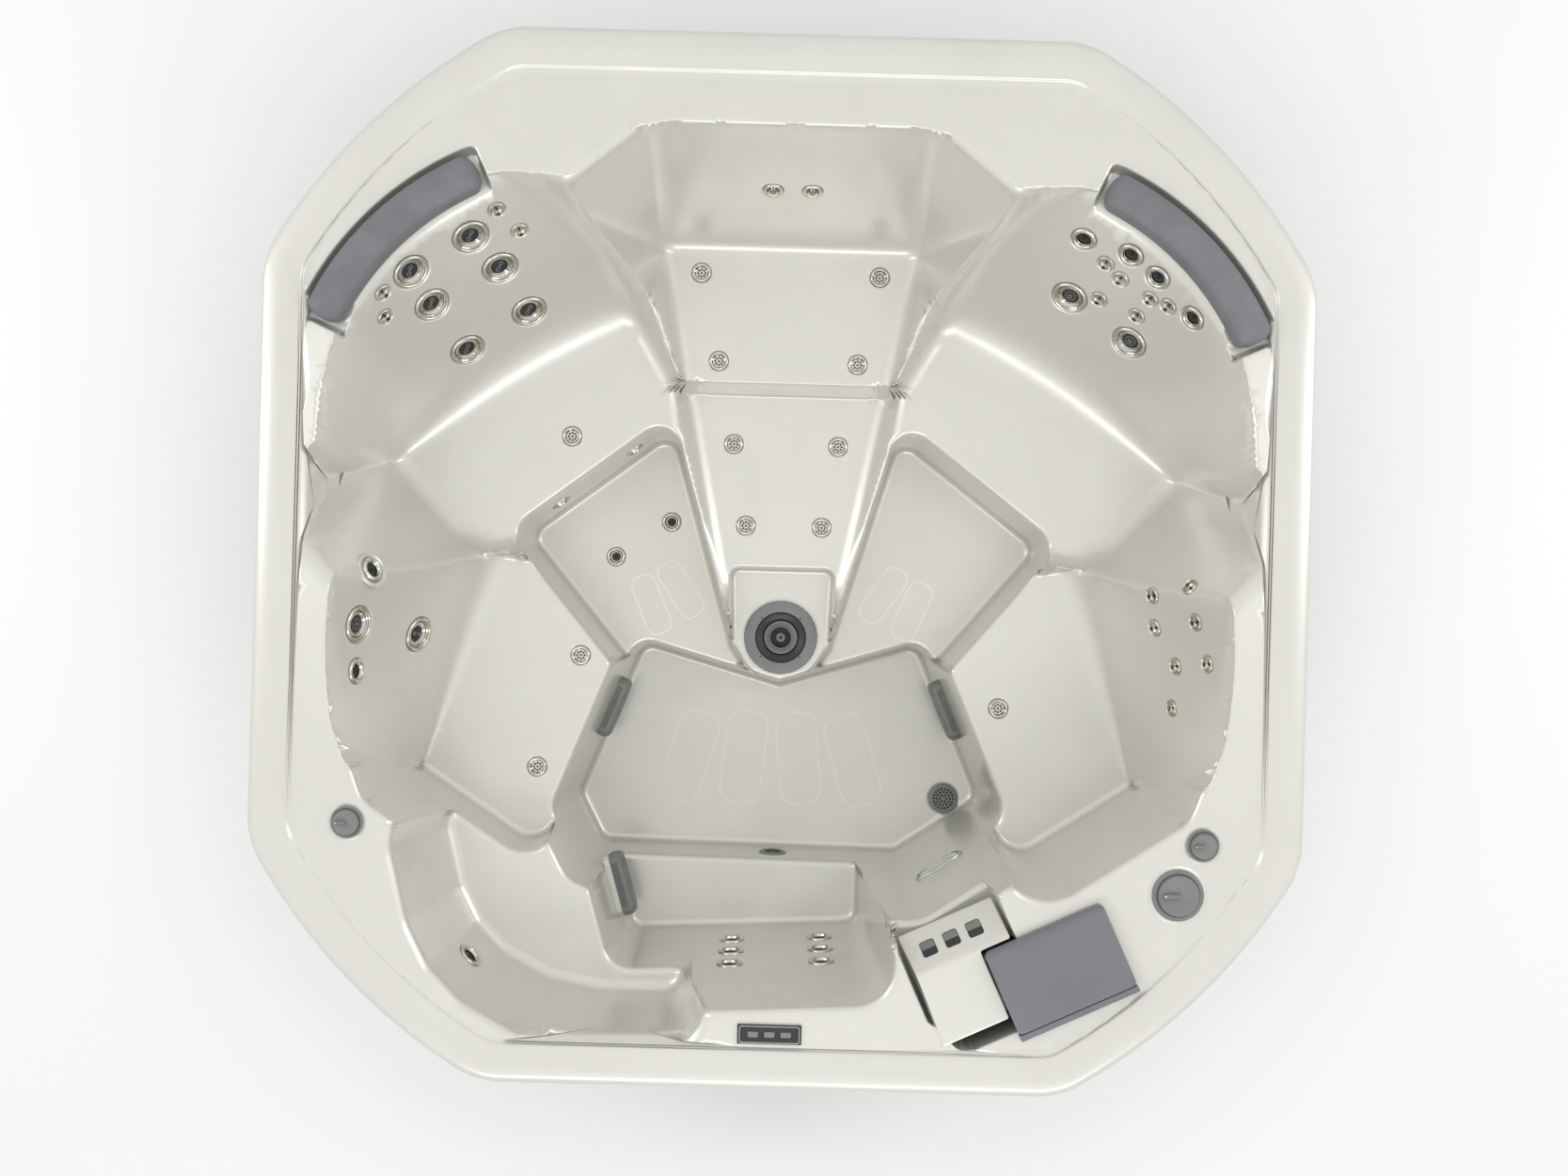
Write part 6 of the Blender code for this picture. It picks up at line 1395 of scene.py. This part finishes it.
# The bore's wall and floor take the dark finish: painted shade inside the bore
nozzle = turned([(0, -0.029), (0.0418, -0.029), (0.0418, 0.0032), (0.0408, 0.0042), (0.0398, 0.0042),
                 (0.0385, 0.003), (0.0362, 0.003), (0.035, 0.0052), (0.0335, 0.0062), (0.032, 0.0052),
                 (0.031, 0.0038), (0.0298, 0.0038), (0.029, 0.0062), (0.028, 0.0078), (0.0268, 0.0082),
                 (0.0262, 0.0074), (0.0258, 0.004), (0.0256, -0.0145), (0.0135, -0.0148), (0.0128, -0.0052),
                 (0.0112, -0.0018), (0.0085, -0.0004), (0.0045, -0.0002), (0.004, -0.003), (0, -0.003)], 72,
                [0] * 15 + [1] * 3 + [2] * 4 + [1] * 2)
fin = slab(rectangle(0.0052, 0.0012, 0.0004, (0.0188, 0)), -0.0148, -0.004, 0.0004, 0.004)
fins = [(fin, 1, Matrix.Rotation(2 * math.pi * k / 3 + 0.4, 4, "Z")) for k in range(3)]
add_piece("foot_nozzle_rings", placed(joined([(nozzle, 0)] + fins), FOOT_PLACE), [GREY, DARK, VIOLET],
          body="foot_nozzle", replaced="foot_jet_nozzle")
print("foot jet lobes:", FOOT_LOBES)

# %% [markdown]
# ## Grilles, drain and the small water fittings
# A suction grille is a domed cover with clipped corners and staggered rows of round holes, over a dark
# back that paints the shade of the space behind it. The front one stands on a ribbed collar. The drain is
# a small round grille, and the return is a plain ring with a cross inside.

# %% Build the grilles
GRILLE_HALF = (0.08, 0.035)
GRILLE_CLIP = 0.014
GRILLE_DEPTH = 0.03
GRILLE_ROUND = 0.012
GRILLE_WALL, GRILLE_CROWN = 0.0026, 0.0025
GRILLE_LOW = RECESS + FIT
COLLAR_DEPTH = 0.016
COLLAR_RIBS, RIB_PITCH, RIB_LINE = 12, 0.0105, 0.0339
HOLE_ROWS, HOLE_COUNT, HOLE_PITCH, ROW_PITCH = 4, 21, 0.0064, 0.0098
SLOT_COUNT, SLOT_PITCH, SLOT_ROW = 15, 0.0088, -0.0228
# A small dark disc, painted as the shade of a hole in the grille's side
SIDE_HOLE = turned([(0, -0.0015), (0.0017, -0.0015), (0.0017, 0.0002), (0, 0.0001)], 8)
SIDE_HOLE_ROWS = [GRILLE_DEPTH * share for share in (0.2, 0.36, 0.52)]
SIDE_HOLE_LINE = np.arange(-0.054, 0.0541, 0.006)


def grille_outline(grow):
    x, y, c = GRILLE_HALF[0] + grow, GRILLE_HALF[1] + grow, GRILLE_CLIP
    return filleted([(-x + c, -y), (x - c, -y), (x, -y + c), (x, y - c), (x - c, y), (-x + c, y), (-x, y - c),
                     (-x, -y + c)], 0.004, 4)


def grille_holes():
    """Staggered rows of round holes, and a row of short slots along one side."""
    holes = []
    for row in range(HOLE_ROWS):
        count = HOLE_COUNT - row % 2
        holes += [circle(0.0021, ((k - (count - 1) / 2) * HOLE_PITCH, (row - 1.2) * ROW_PITCH), 8)
                  for k in range(count)]
    holes += [rectangle(0.0011, 0.0022, 0.0009, ((k - SLOT_COUNT // 2) * SLOT_PITCH, SLOT_ROW))
              for k in range(SLOT_COUNT)]
    return [hole[::-1] for hole in holes]


def grille_sides(base):
    """The rule for the domed cover of a grille that stands on a level."""
    def sides(u, v, edge):
        crown = GRILLE_CROWN * ((u / GRILLE_HALF[0]) ** 2 + (v / GRILLE_HALF[1]) ** 2) / 2
        top = base + GRILLE_DEPTH - GRILLE_ROUND + GRILLE_ROUND * rounded_edge(edge, GRILLE_ROUND) - crown
        return both_faces(u, v, top, np.where(edge < 0.0005, base, top - GRILLE_WALL))

    return sides


def grille_parts(base):
    """The domed cover, its dark back as painted shade, and dark spots painted as holes in its two long sides.
    """
    outline = grille_outline(-0.0004)
    cover = plate(outline, grille_holes(), grille_sides(base), 0.006, (0.0012, 0.0035, 0.0075))
    # A dark slab under the holes: painted shade for the space behind the cover
    back = slab(inset(outline, 0.004), base + 0.0006, base + 0.01, 0.001, 0.03)
    # Dark spots on the two long sides, painted as the shade of round holes
    side_places = [frame_at((u, side * (GRILLE_HALF[1] - 0.0002), base + z), (0, side, 0), (1, 0, 0))
                   for side in (-1, 1) for z in SIDE_HOLE_ROWS for u in SIDE_HOLE_LINE]
    return [(cover, 0), (back, 1), (copies(SIDE_HOLE, side_places), 1)]


def collar_parts(top):
    """The collar that the front grille stands on, with ribs on its two long sides."""
    spots = [((k - (COLLAR_RIBS - 1) / 2) * RIB_PITCH, side * RIB_LINE)
             for side in (-1, 1) for k in range(COLLAR_RIBS)]
    ribs = [slab(rectangle(0.0012, 0.001, 0.0004, spot), GRILLE_LOW, top - 0.001, 0.0004, 0.01)
            for spot in spots]
    return [(mesh, 2) for mesh in [slab(grille_outline(-0.0006), GRILLE_LOW, top - FIT, 0.003, 0.03)] + ribs]


GRILLE_PLACES = {
    "grille_left": wall_frame(FOOTWELL, 0, 0.4, FLOOR_Z + 0.12),
    "grille_right": wall_frame(FOOTWELL, 4, 0.6, FLOOR_Z + 0.12),
    "grille_front": wall_frame(FRONT_STEP, 0, 0.5, FRONT_STEP_Z + 0.11),
}
for name, place in GRILLE_PLACES.items():
    stands = name == "grille_front"
    base = GRILLE_LOW + (COLLAR_DEPTH if stands else 0)
    piece = joined(grille_parts(base) + (collar_parts(base) if stands else []))
    add_piece(name + "_cover", placed(piece, place), [GREY, DARK, PEARL], replaced=name)

drain_holes = [circle(0.0032, spot, 8)[::-1] for radius, count in ((0.009, 6), (0.0175, 12), (0.0258, 18))
               for spot in on_circle(radius, count)]


def drain_sides(u, v, edge):
    top = 0.0045 + 0.004 * rounded_edge(edge, 0.012)
    return both_faces(u, v, top, np.where(edge < 0.0002, 0.0005, top - 0.0022))


drain_cover = plate(circle(0.0388, steps=60), drain_holes, drain_sides, 0.006, (0.001, 0.003, 0.006, 0.0095))
drain_sump = turned([(0, -0.045), (0.0262, -0.045), (0.0262, 0.0002), (0.036, 0.0002), (0.036, 0.0012),
                     (0, 0.0012)], 40)
return_ring = turned([(0, -0.045), (0.0198, -0.045), (0.0198, 0.0002), (0.0338, 0.0002), (0.0338, 0.0028),
                      (0.0325, 0.0045), (0.0295, 0.005), (0.0225, 0.0042), (0.0212, 0.003),
                      (0.0205, -0.012), (0, -0.012)], 48, [0] * 8 + [1] * 2)
bar = slab(rectangle(0.0208, 0.0016, 0.0006), -0.008, 0.0012, 0.0006, 0.01)
sensor = turned([(0, -0.03), (0.0058, -0.03), (0.0058, 0.0003), (0.0098, 0.0003), (0.0098, 0.002),
                 (0.0088, 0.0034), (0.006, 0.0042), (0.0052, 0.0036), (0.0046, 0.0036), (0.003, 0.0046),
                 (0, 0.0049)], 32)
for name, part, parts, finishes in (
        ("drain_cover", "floor_drain", [(drain_cover, 0), (drain_sump, 1)], [GREY, DARK]),
        ("return_ring", "front_return",
         [(return_ring, 0), (bar, 0), (bar, 0, Matrix.Rotation(math.pi / 2, 4, "Z"))], [GREY, DARK]),
        ("sensor_cap", "sensor_fitting", [(sensor, 0)], CHROME)):
    add_piece(name, placed(joined(parts), FITTINGS[part][1]), finishes, replaced=part)
print("grilles:", len(GRILLE_PLACES))

# %% [markdown]
# ## Light
# The light in the footwell is an oval lens: a clear domed cover over ribs, in a bright ring.

# %% Build the light
LENS = finish("clear_lens", (0.86, 0.9, 0.92), (0.8, 0.85, 0.88), 0.06, 0.12, bump=0.02)
wire(LENS.node_tree.nodes["Principled BSDF"], {"Transmission Weight": 0.8, "IOR": 1.49})
LENS_PLACE = wall_frame(FOOTWELL, 3, 0.32, 0.5)
LENS_HALF = (0.0648, 0.0248)
LENS_LOW = RECESS + FIT
RIB_HEIGHT, RIB_SPACING = 0.0005, 0.005
lens_outline = [(LENS_HALF[0] * x, LENS_HALF[1] * y) for x, y in on_circle(1, 64)]


def lens_sides(u, v, edge):
    ribs = RIB_HEIGHT * np.cos(u * 2 * math.pi / RIB_SPACING) * np.clip(edge / 0.004, 0, 1)
    return both_faces(u, v, LENS_LOW + 0.004 + 0.0105 * rounded_edge(edge, 0.022), LENS_LOW + 0.0022 + ribs)


lens = plate(inset(lens_outline, 0.0035), [], lens_sides, 0.0024, (0.001, 0.003, 0.006))
lens_ring = slab(lens_outline, LENS_LOW, LENS_LOW + 0.0062, 0.0025, 0.03, [inset(lens_outline, 0.0045)[::-1]])
lens_back = slab(inset(lens_outline, 0.0048), LENS_LOW, LENS_LOW + 0.0012, 0.0004, 0.03)
add_piece("light_cover", placed(lens, LENS_PLACE), LENS, replaced="light_lens")
lens_frame = placed(joined([(lens_ring, 0), (lens_back, 0)]), LENS_PLACE)
add_piece("light_ring", lens_frame, CHROME)
print("lens faces:", len(lens.polygons))

# %% [markdown]
# ## Filter block
# The filters stand in a well under a hinged lid. Beside it a moulded cover leads water in through three
# windows, each closed by a small door that water pushes open. The upper half of each door is painted
# dark, as the shade of the open gap above it.

# %% Build the lid, the skimmer cover and the filters
LID_LENGTH, LID_DEPTH, LID_THICKNESS, LID_NOSE = 0.28, 0.212, 0.028, 0.02
LID_RIM, LID_SETBACK, HINGE_STRIP, LID_GAP = 0.004, 0.006, 0.014, 0.0003
LID_TOP = DECK_Z + FIT + LID_THICKNESS
COVER_LEFT, COVER_RIGHT, COVER_TOP_RIGHT, COVER_BACK = -0.16, 0.068, -0.004, 0.16
COVER_RUN, COVER_THICKNESS, COVER_LOW_Z = 0.078, 0.004, 0.845
COVER_BEND, COVER_GAP, COVER_SAMPLES = 0.012, 0.0002, 400
COVER_TILT = math.atan2(DECK_Z - COVER_LOW_Z, COVER_RUN)
COVER_SLOPE = math.hypot(COVER_RUN, DECK_Z - COVER_LOW_Z)
WINDOW_HALF, WINDOW_ROUND = (0.0176, 0.0226), 0.008
WINDOW_FIRST, WINDOW_PITCH = -0.105, 0.055
# Share of each door's height above which it is painted dark, as shade
FLAP_SHARE = 0.5
PLEATS, PLEAT_RADIUS, PLEAT_DEPTH, PLEAT_ENDS = 44, 0.0588, 0.0085, (0.012, 0.318)


def on_block(u, v, z):
    """Places by the filter block, from their length along it, depth behind its front edge and height."""
    x, y = block_point(u, v)
    return np.stack([x, y, z], 1)


def lid_sides(u, v, edge):
    nose = LID_NOSE * (1 - rounded_edge(v - LID_SETBACK - LID_GAP, LID_NOSE))
    rim = LID_RIM * (1 - rounded_edge(edge, LID_RIM))
    low = LID_TOP - LID_THICKNESS + 0.0012 * (1 - rounded_edge(edge, 0.002))
    top = np.maximum(LID_TOP - np.maximum(nose, rim), low + 0.004)
    return on_block(u, v, top), on_block(u, v, low)


def cover_sides(u, v, edge):
    """Both faces of the cover: tilted before the bend, flat after it, with a round bend between."""
    table = np.linspace(-COVER_SLOPE, COVER_BACK, COVER_SAMPLES)
    tilt = COVER_TILT * (1 - smooth_step((table + COVER_BEND) / (2 * COVER_BEND)))
    step = table[1] - table[0]
    run, rise = np.cumsum(np.cos(tilt)) * step, np.cumsum(np.sin(tilt)) * step
    run, rise = run - np.interp(0, table, run), rise - rise[-1]
    back, z, angle = (np.interp(v, table, column) for column in (run, rise, tilt))
    top = DECK_Z + FIT + COVER_THICKNESS + z
    return [on_block(u, back + drop * np.sin(angle), top - drop * np.cos(angle))
            for drop in (0.0012 * (1 - rounded_edge(edge, 0.0014)), COVER_THICKNESS)]


def shade_painted_above(mesh, z):
    """The same mesh, cut at a level; the faces above it take the second finish, as painted shade."""
    bm = bmesh.new()
    bm.from_mesh(mesh)
    everything = bm.verts[:] + bm.edges[:] + bm.faces[:]
    bmesh.ops.bisect_plane(bm, geom=everything, plane_co=(0, 0, z), plane_no=(0, 0, 1))
    for face in bm.faces:
        face.material_index = int(face.calc_center_median().z > z)
    return to_mesh(bm, recalc=False, smooth=False)


def cartridge_mesh():
    """A pleated filter: sharp folds round a core, between two soft end caps."""
    ring = [((PLEAT_RADIUS - k % 2 * PLEAT_DEPTH) * x, (PLEAT_RADIUS - k % 2 * PLEAT_DEPTH) * y)
            for k, (x, y) in enumerate(on_circle(1, 2 * PLEATS))]
    folds = to_mesh(skin([[(x, y, z) for x, y in ring] for z in PLEAT_ENDS]), smooth=False, sharp=False)
    cap = turned([(0, 0), (0.058, 0), (0.0612, 0.002), (0.0615, 0.012), (0.059, 0.014), (0, 0.014)], 48)
    handle = turned([(0, 0), (0.024, 0), (0.024, 0.0002), (0.02, 0.0004), (0, 0.0003)], 24)
    return joined([(folds, 0), (handle, 1, moved_by(0, 0, 0.3295)), (cap, 1),
                   (cap, 1, moved_by(0, 0, 0.3155))])


lid_left, lid_right = LID_GAP, LID_LENGTH - LID_GAP
lid_front, lid_back = LID_SETBACK + LID_GAP, LID_DEPTH - HINGE_STRIP
lid_outline = filleted([(lid_left, lid_front), (lid_right, lid_front), (lid_right, lid_back),
                        (lid_left, lid_back)], 0.014, 8)
lid = plate(lid_outline, [], lid_sides, 0.008, (0.0006, 0.0018, 0.004))
add_piece("lid_moulding", lid, VIOLET, body="lid", replaced="filter_lid")
add_piece("lid_strip", rounded("lid_hinge_strip", 0.002), VIOLET, replaced="lid_hinge_strip")

cover_left, cover_right, cover_back = COVER_LEFT + COVER_GAP, COVER_RIGHT - COVER_GAP, COVER_BACK - COVER_GAP
cover_outline = filleted([(cover_left, -COVER_SLOPE), (cover_right, -COVER_SLOPE), (cover_right, 0),
                          (COVER_TOP_RIGHT, 0), (COVER_TOP_RIGHT, cover_back),
                          (cover_left, cover_back)], 0.006, 4)
windows = [rectangle(*WINDOW_HALF, WINDOW_ROUND, (WINDOW_FIRST + k * WINDOW_PITCH, -COVER_SLOPE / 2))[::-1]
           for k in range(3)]
cover = plate(cover_outline, windows, cover_sides, 0.006, (0.0005, 0.0014))
add_piece("skimmer_moulding", cover, PEARL, replaced="skimmer_cover")
# The upper half of each door takes the dark finish: painted shade where the gap above it would be dark.
for number in (1, 2, 3):
    low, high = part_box(f"weir_{number}")
    flap = shade_painted_above(rounded(f"weir_{number}", 0.0009), low[2] + FLAP_SHARE * (high[2] - low[2]))
    add_piece(f"weir_flap_{number}", flap, [GREY, DARK], body=f"weir_door_{number}",
              replaced=f"weir_{number}")

for label in ("left", "right"):
    low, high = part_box(f"filter_cartridge_{label}")
    place = moved_by((low[0] + high[0]) / 2, (low[1] + high[1]) / 2, low[2])
    add_piece(f"pleated_filter_{label}", placed(cartridge_mesh(), place), [FILTER, GREY],
              replaced=f"filter_cartridge_{label}")
add_piece("filter_base", rounded("filter_water_box", 0.003), GREY, replaced="filter_water_box")
print("pleats:", PLEATS)

# %% [markdown]
# ## Pillows
# Each pillow is a bar of skinned foam, bent to the round of its seat. Its section is a soft rounded
# rectangle, swept along the arc, and both ends close in a full round.

# %% Build the pillows
PILLOW_END = 0.03
PILLOW_AROUND, PILLOW_ALONG = 40, 90
PILLOW_SQUARE, PILLOW_CROWN, END_POWER, SPREAD_POWER = 0.62, 0.02, 2.4, 0.8


def powered(value, power):
    return math.copysign(abs(value) ** power, value)


def pillow_mesh(side):
    cx, cy, radius = REAR_SEAT[3][0] * HALF, REAR_SEAT[3][1] * HALF, REAR_SEAT[4] + PILLOW_DEPTH / 2
    end = PILLOW_END / (radius * PILLOW_SPAN / 2)
    rows = []
    for step in range(1, PILLOW_ALONG):
        share = powered(math.cos(math.pi * (1 - step / PILLOW_ALONG)), SPREAD_POWER)
        closing = max((abs(share) - 1 + end) / end, 0)
        size = max(1 - closing ** END_POWER, 0) ** (1 / END_POWER)
        angle = math.pi / 4 + PILLOW_SPAN / 2 * share
        row = []
        for c, s in on_circle(1, PILLOW_AROUND):
            up = 0.5 + 0.5 * powered(s, PILLOW_SQUARE) * size
            crown = (1 + PILLOW_CROWN * math.cos(share * math.pi) * max(up, 0)) / (1 + PILLOW_CROWN)
            reach = radius + (PILLOW_DEPTH / 2 - 0.001) * powered(c, PILLOW_SQUARE) * size
            row.append((side * (cx + reach * math.cos(angle)), cy + reach * math.sin(angle),
                        PILLOW_SEAT_Z + FIT + (PILLOW_THICKNESS - 0.0015) * up * crown))
        rows.append(row)
    return to_mesh(skin(rows), sharp=False)


for side, label in ((-1, "left"), (1, "right")):
    pillow = add_piece(f"foam_pillow_{label}", pillow_mesh(side), FOAM, replaced=f"pillow_{label}")
print("pillow sections:", PILLOW_ALONG)

# %% [markdown]
# ## Valves
# A valve shows a bevelled collar and a round cap. The cap's side is ribbed for grip, and a raised bar on
# it points to the setting.

# %% Build the valves
KNOB_SHARE, KNOB_HEIGHT, KNOB_GRIP = 0.8, 0.018, 0.006
KNOB_RIBS, RIB_SWELL = 36, 0.014

# Each valve: flange and barrel radius, and depth of the barrel
VALVES = {"diverter": (DIVERTER, 0.03, 0.09), "air_control_left": (AIR, 0.018, 0.06),
          "air_control_right": (AIR, 0.018, 0.06)}


def collar_mesh(flange, barrel, depth):
    """The fixed part: barrel through the deck and the bevelled collar."""
    wall = flange * KNOB_SHARE + 0.0014
    return turned([(0, -depth), (barrel, -depth), (barrel, 0.0003), (flange - 0.0002, 0.0003),
                   (flange - 0.0002, 0.0016), (flange - 0.0012, 0.0026), (wall + 0.003, 0.0047),
                   (wall + 0.001, 0.0049), (wall, 0.0042), (wall, 0.0026), (0, 0.0026)], 72)


def cap_mesh(flange):
    """The turning cap with its ribbed side, dished top and pointer bar."""
    cap = flange * KNOB_SHARE - 0.0002
    edge, top = KNOB_HEIGHT - KNOB_GRIP, KNOB_HEIGHT + KNOB_GRIP
    ribbed = turned([(0, 0.0032), (cap * 0.975, 0.0032), (cap * 0.985, 0.0045), (cap * 0.985, edge),
                     (cap * 0.965, edge + 0.0028), (cap * 0.93, KNOB_HEIGHT - 0.0016),
                     (cap * 0.89, KNOB_HEIGHT - 0.0008), (cap * 0.84, KNOB_HEIGHT - 0.0012),
                     (cap * 0.5, KNOB_HEIGHT - 0.0028), (0, KNOB_HEIGHT - 0.0032)],
                    KNOB_RIBS * 4, wave=(KNOB_RIBS, RIB_SWELL, (2, 3)))
    bar = slab(rectangle(cap * 0.42, cap * 0.105, cap * 0.09, (-cap * 0.36, 0)), edge, top - 0.0004,
               cap * 0.05, 0.01)
    mark = slab(rectangle(cap * 0.06, cap * 0.035, cap * 0.02, (-cap * 0.68, 0)), top - 0.0006, top - 0.0001,
                0.0002, 0.01)
    return joined([(ribbed, 0), (bar, 0), (mark, 1)])


for name, (flange, barrel, depth) in VALVES.items():
    place = FITTINGS[name][1]
    add_piece(name + "_collar", placed(collar_mesh(flange, barrel, depth), place), GREY,
              replaced=name + "_stem")
    add_piece(name + "_cap", placed(cap_mesh(flange), place), [GREY, PEARL], body=name,
              replaced=name + "_knob")
print("valves:", len(VALVES))

# %% [markdown]
# ## Control panel
# The panel is a dark plate with a bright line round its face and three soft keys that press in.

# %% Build the panel
add_piece("panel_plate", rounded("control_panel", 0.0015), DARK, replaced="control_panel")
panel_low, panel_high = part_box("control_panel")
panel_middle = ((panel_low[0] + panel_high[0]) / 2, (panel_low[1] + panel_high[1]) / 2)
trim = slab(rectangle(0.066, 0.0185, 0.006), panel_high[2] - 0.0002, panel_high[2] + 0.0006, 0.0004, 0.03,
            [rectangle(0.0645, 0.017, 0.005)[::-1]])
add_piece("panel_trim", placed(trim, moved_by(*panel_middle, 0)), CHROME)
for number in (1, 2, 3):
    add_piece(f"panel_key_{number}", rounded(f"panel_button_{number}", 0.0012), GREY,
              body=f"button_{number}", replaced=f"panel_button_{number}")
print("panel at", [round(c, 3) for c in panel_middle])

# %% [markdown]
# ## Cabinet, base and water plant
# The cabinet boards are grained along their height, each plank a little different from the next. The
# hidden plant keeps its measured forms, with eased edges and a finish of its own.

# %% Board finish
def board_finish():
    """A planked board: long grain, slow change of tone from plank to plank, satin surface."""
    made, tree, shader = new_material("cabinet_board")
    stretch = node(tree, "ShaderNodeMapping", {"Vector": node(tree, "ShaderNodeTexCoord").outputs["Object"],
                                               "Scale": (70, 70, 2.5)})
    grain = node(tree, "ShaderNodeTexNoise", {"Vector": stretch.outputs["Vector"], "Scale": 1, "Detail": 8,
                                              "Distortion": 1.2}).outputs["Fac"]
    ramp = node(tree, "ShaderNodeValToRGB", {"Fac": grain})
    for stop, place, colour in zip(ramp.color_ramp.elements, (0.32, 0.68),
                                   ((0.075, 0.053, 0.04, 1), (0.15, 0.115, 0.088, 1))):
        stop.position, stop.color = place, colour
    tone = node(tree, "ShaderNodeGroup", {"Color": (1, 1, 1, 1), "Darker": (0.72, 0.7, 0.68, 1), "Scale": 5},
                node_tree=TONE)
    mixed = node(tree, "ShaderNodeMix", data_type="RGBA", blend_type="MULTIPLY")
    wire(mixed, {"Factor": 1, "A": ramp.outputs["Color"], "B": tone.outputs["Color"]})
    relief = node(tree, "ShaderNodeBump", {"Height": grain, "Strength": 0.4, "Distance": 0.0004})
    wire(shader, {"Base Color": mixed.outputs["Result"], "Normal": relief.outputs["Normal"],
                  "Roughness": 0.55})
    return made


BOARD = board_finish()
print("board finish:", BOARD.name)

# %% [markdown]
# The measured parts of the cabinet and the plant keep their shape. Their edges are eased a little, so that
# they catch the light, and the access panel gets its screws.

# %% Dress the cabinet and the plant
EASED = {"cabinet_wall": (0.0012, BOARD), "access_panel": (0.0012, BOARD), "base_pan": (0.005, DARK),
         "support_frame": (0.002, STEEL), "spa_pack": (0.004, STEEL), "jet_pump_1": (0.004, DARK),
         "jet_pump_2": (0.004, DARK), "main_pipe": (0.001, PIPE)}
for name, (width, made) in EASED.items():
    add_piece(name + "_eased", rounded(name, width), made, replaced=name)

panel_low, panel_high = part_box("access_panel")
screw = turned([(0, 0), (0.0055, 0), (0.0055, 0.0012), (0.004, 0.0024), (0.0018, 0.0028), (0.0018, 0.0016),
                (0, 0.0016)], 20)
screw_places = [frame_at((x, panel_low[1], z), (0, -1, 0), (1, 0, 0))
                for x in (panel_low[0] + 0.04, panel_high[0] - 0.04)
                for z in (panel_low[2] + 0.06, panel_high[2] - 0.1)]
add_piece("panel_screws", copies(screw, screw_places), STEEL)
print("eased parts:", len(EASED))

# %% [markdown]
# ## Anti-slip outlines
# The floor of the footwell and the two side steps carry a light pattern of thin anti-slip outlines. Here each
# is a long rounded loop, fanned out in rows by the same Geometry Nodes tree as the jets.

# %% Set the anti-slip outlines
TREAD = finish("tread_line", (0.9, 0.89, 0.85), (0.84, 0.83, 0.79), 0.4, 0.5, grain_scale=1200, bump=0.2,
               depth=0.0002)
TREAD_LINE = 0.0024
TREAD_FAN = 0.2
LARGE_LOOP, SMALL_LOOP = (0.055, 0.125, 0.05), (0.033, 0.08, 0.03)


def loop(half_x, half_y, corner):
    """A thin raised line round a rounded rectangle."""
    inside = rectangle(half_x - TREAD_LINE, half_y - TREAD_LINE, corner - TREAD_LINE)
    return slab(rectangle(half_x, half_y, corner), -0.0002, 0.0008, 0.0003, 0.05, [inside[::-1]])


def tread_row(pocket, z, count, pitch, drop, turn):
    """A row of places that fan out about the middle of a pocket's floor."""
    middle = np.mean(POCKETS[pocket][0], axis=0)
    places = []
    for k in range(count):
        share = k - (count - 1) / 2
        lean = turn + TREAD_FAN * share
        spot = Vector((share * pitch, drop))
        spot.rotate(Matrix.Rotation(turn, 2))
        places.append(frame_at((middle[0] + spot.x, middle[1] + spot.y, z), (0, 0, 1),
                               (math.cos(lean), math.sin(lean), 0)))
    return places


large_rows = tread_row(FOOTWELL, FLOOR_Z, 4, 0.145, -0.02, 0.0)
small_rows = (tread_row(STEP_LEFT, STEP_Z, 2, 0.085, 0.0, 0.5)
              + tread_row(STEP_RIGHT, STEP_Z, 2, 0.085, 0.0, -0.5))
treads = joined([(copies(loop(*size), rows), 0)
                 for size, rows in ((LARGE_LOOP, large_rows), (SMALL_LOOP, small_rows))])
add_piece("tread_outlines", treads, TREAD)
print("anti-slip outlines:", len(large_rows) + len(small_rows))

# %% [markdown]
# ## Finish

# %% Finish
bpy.context.view_layer.update()
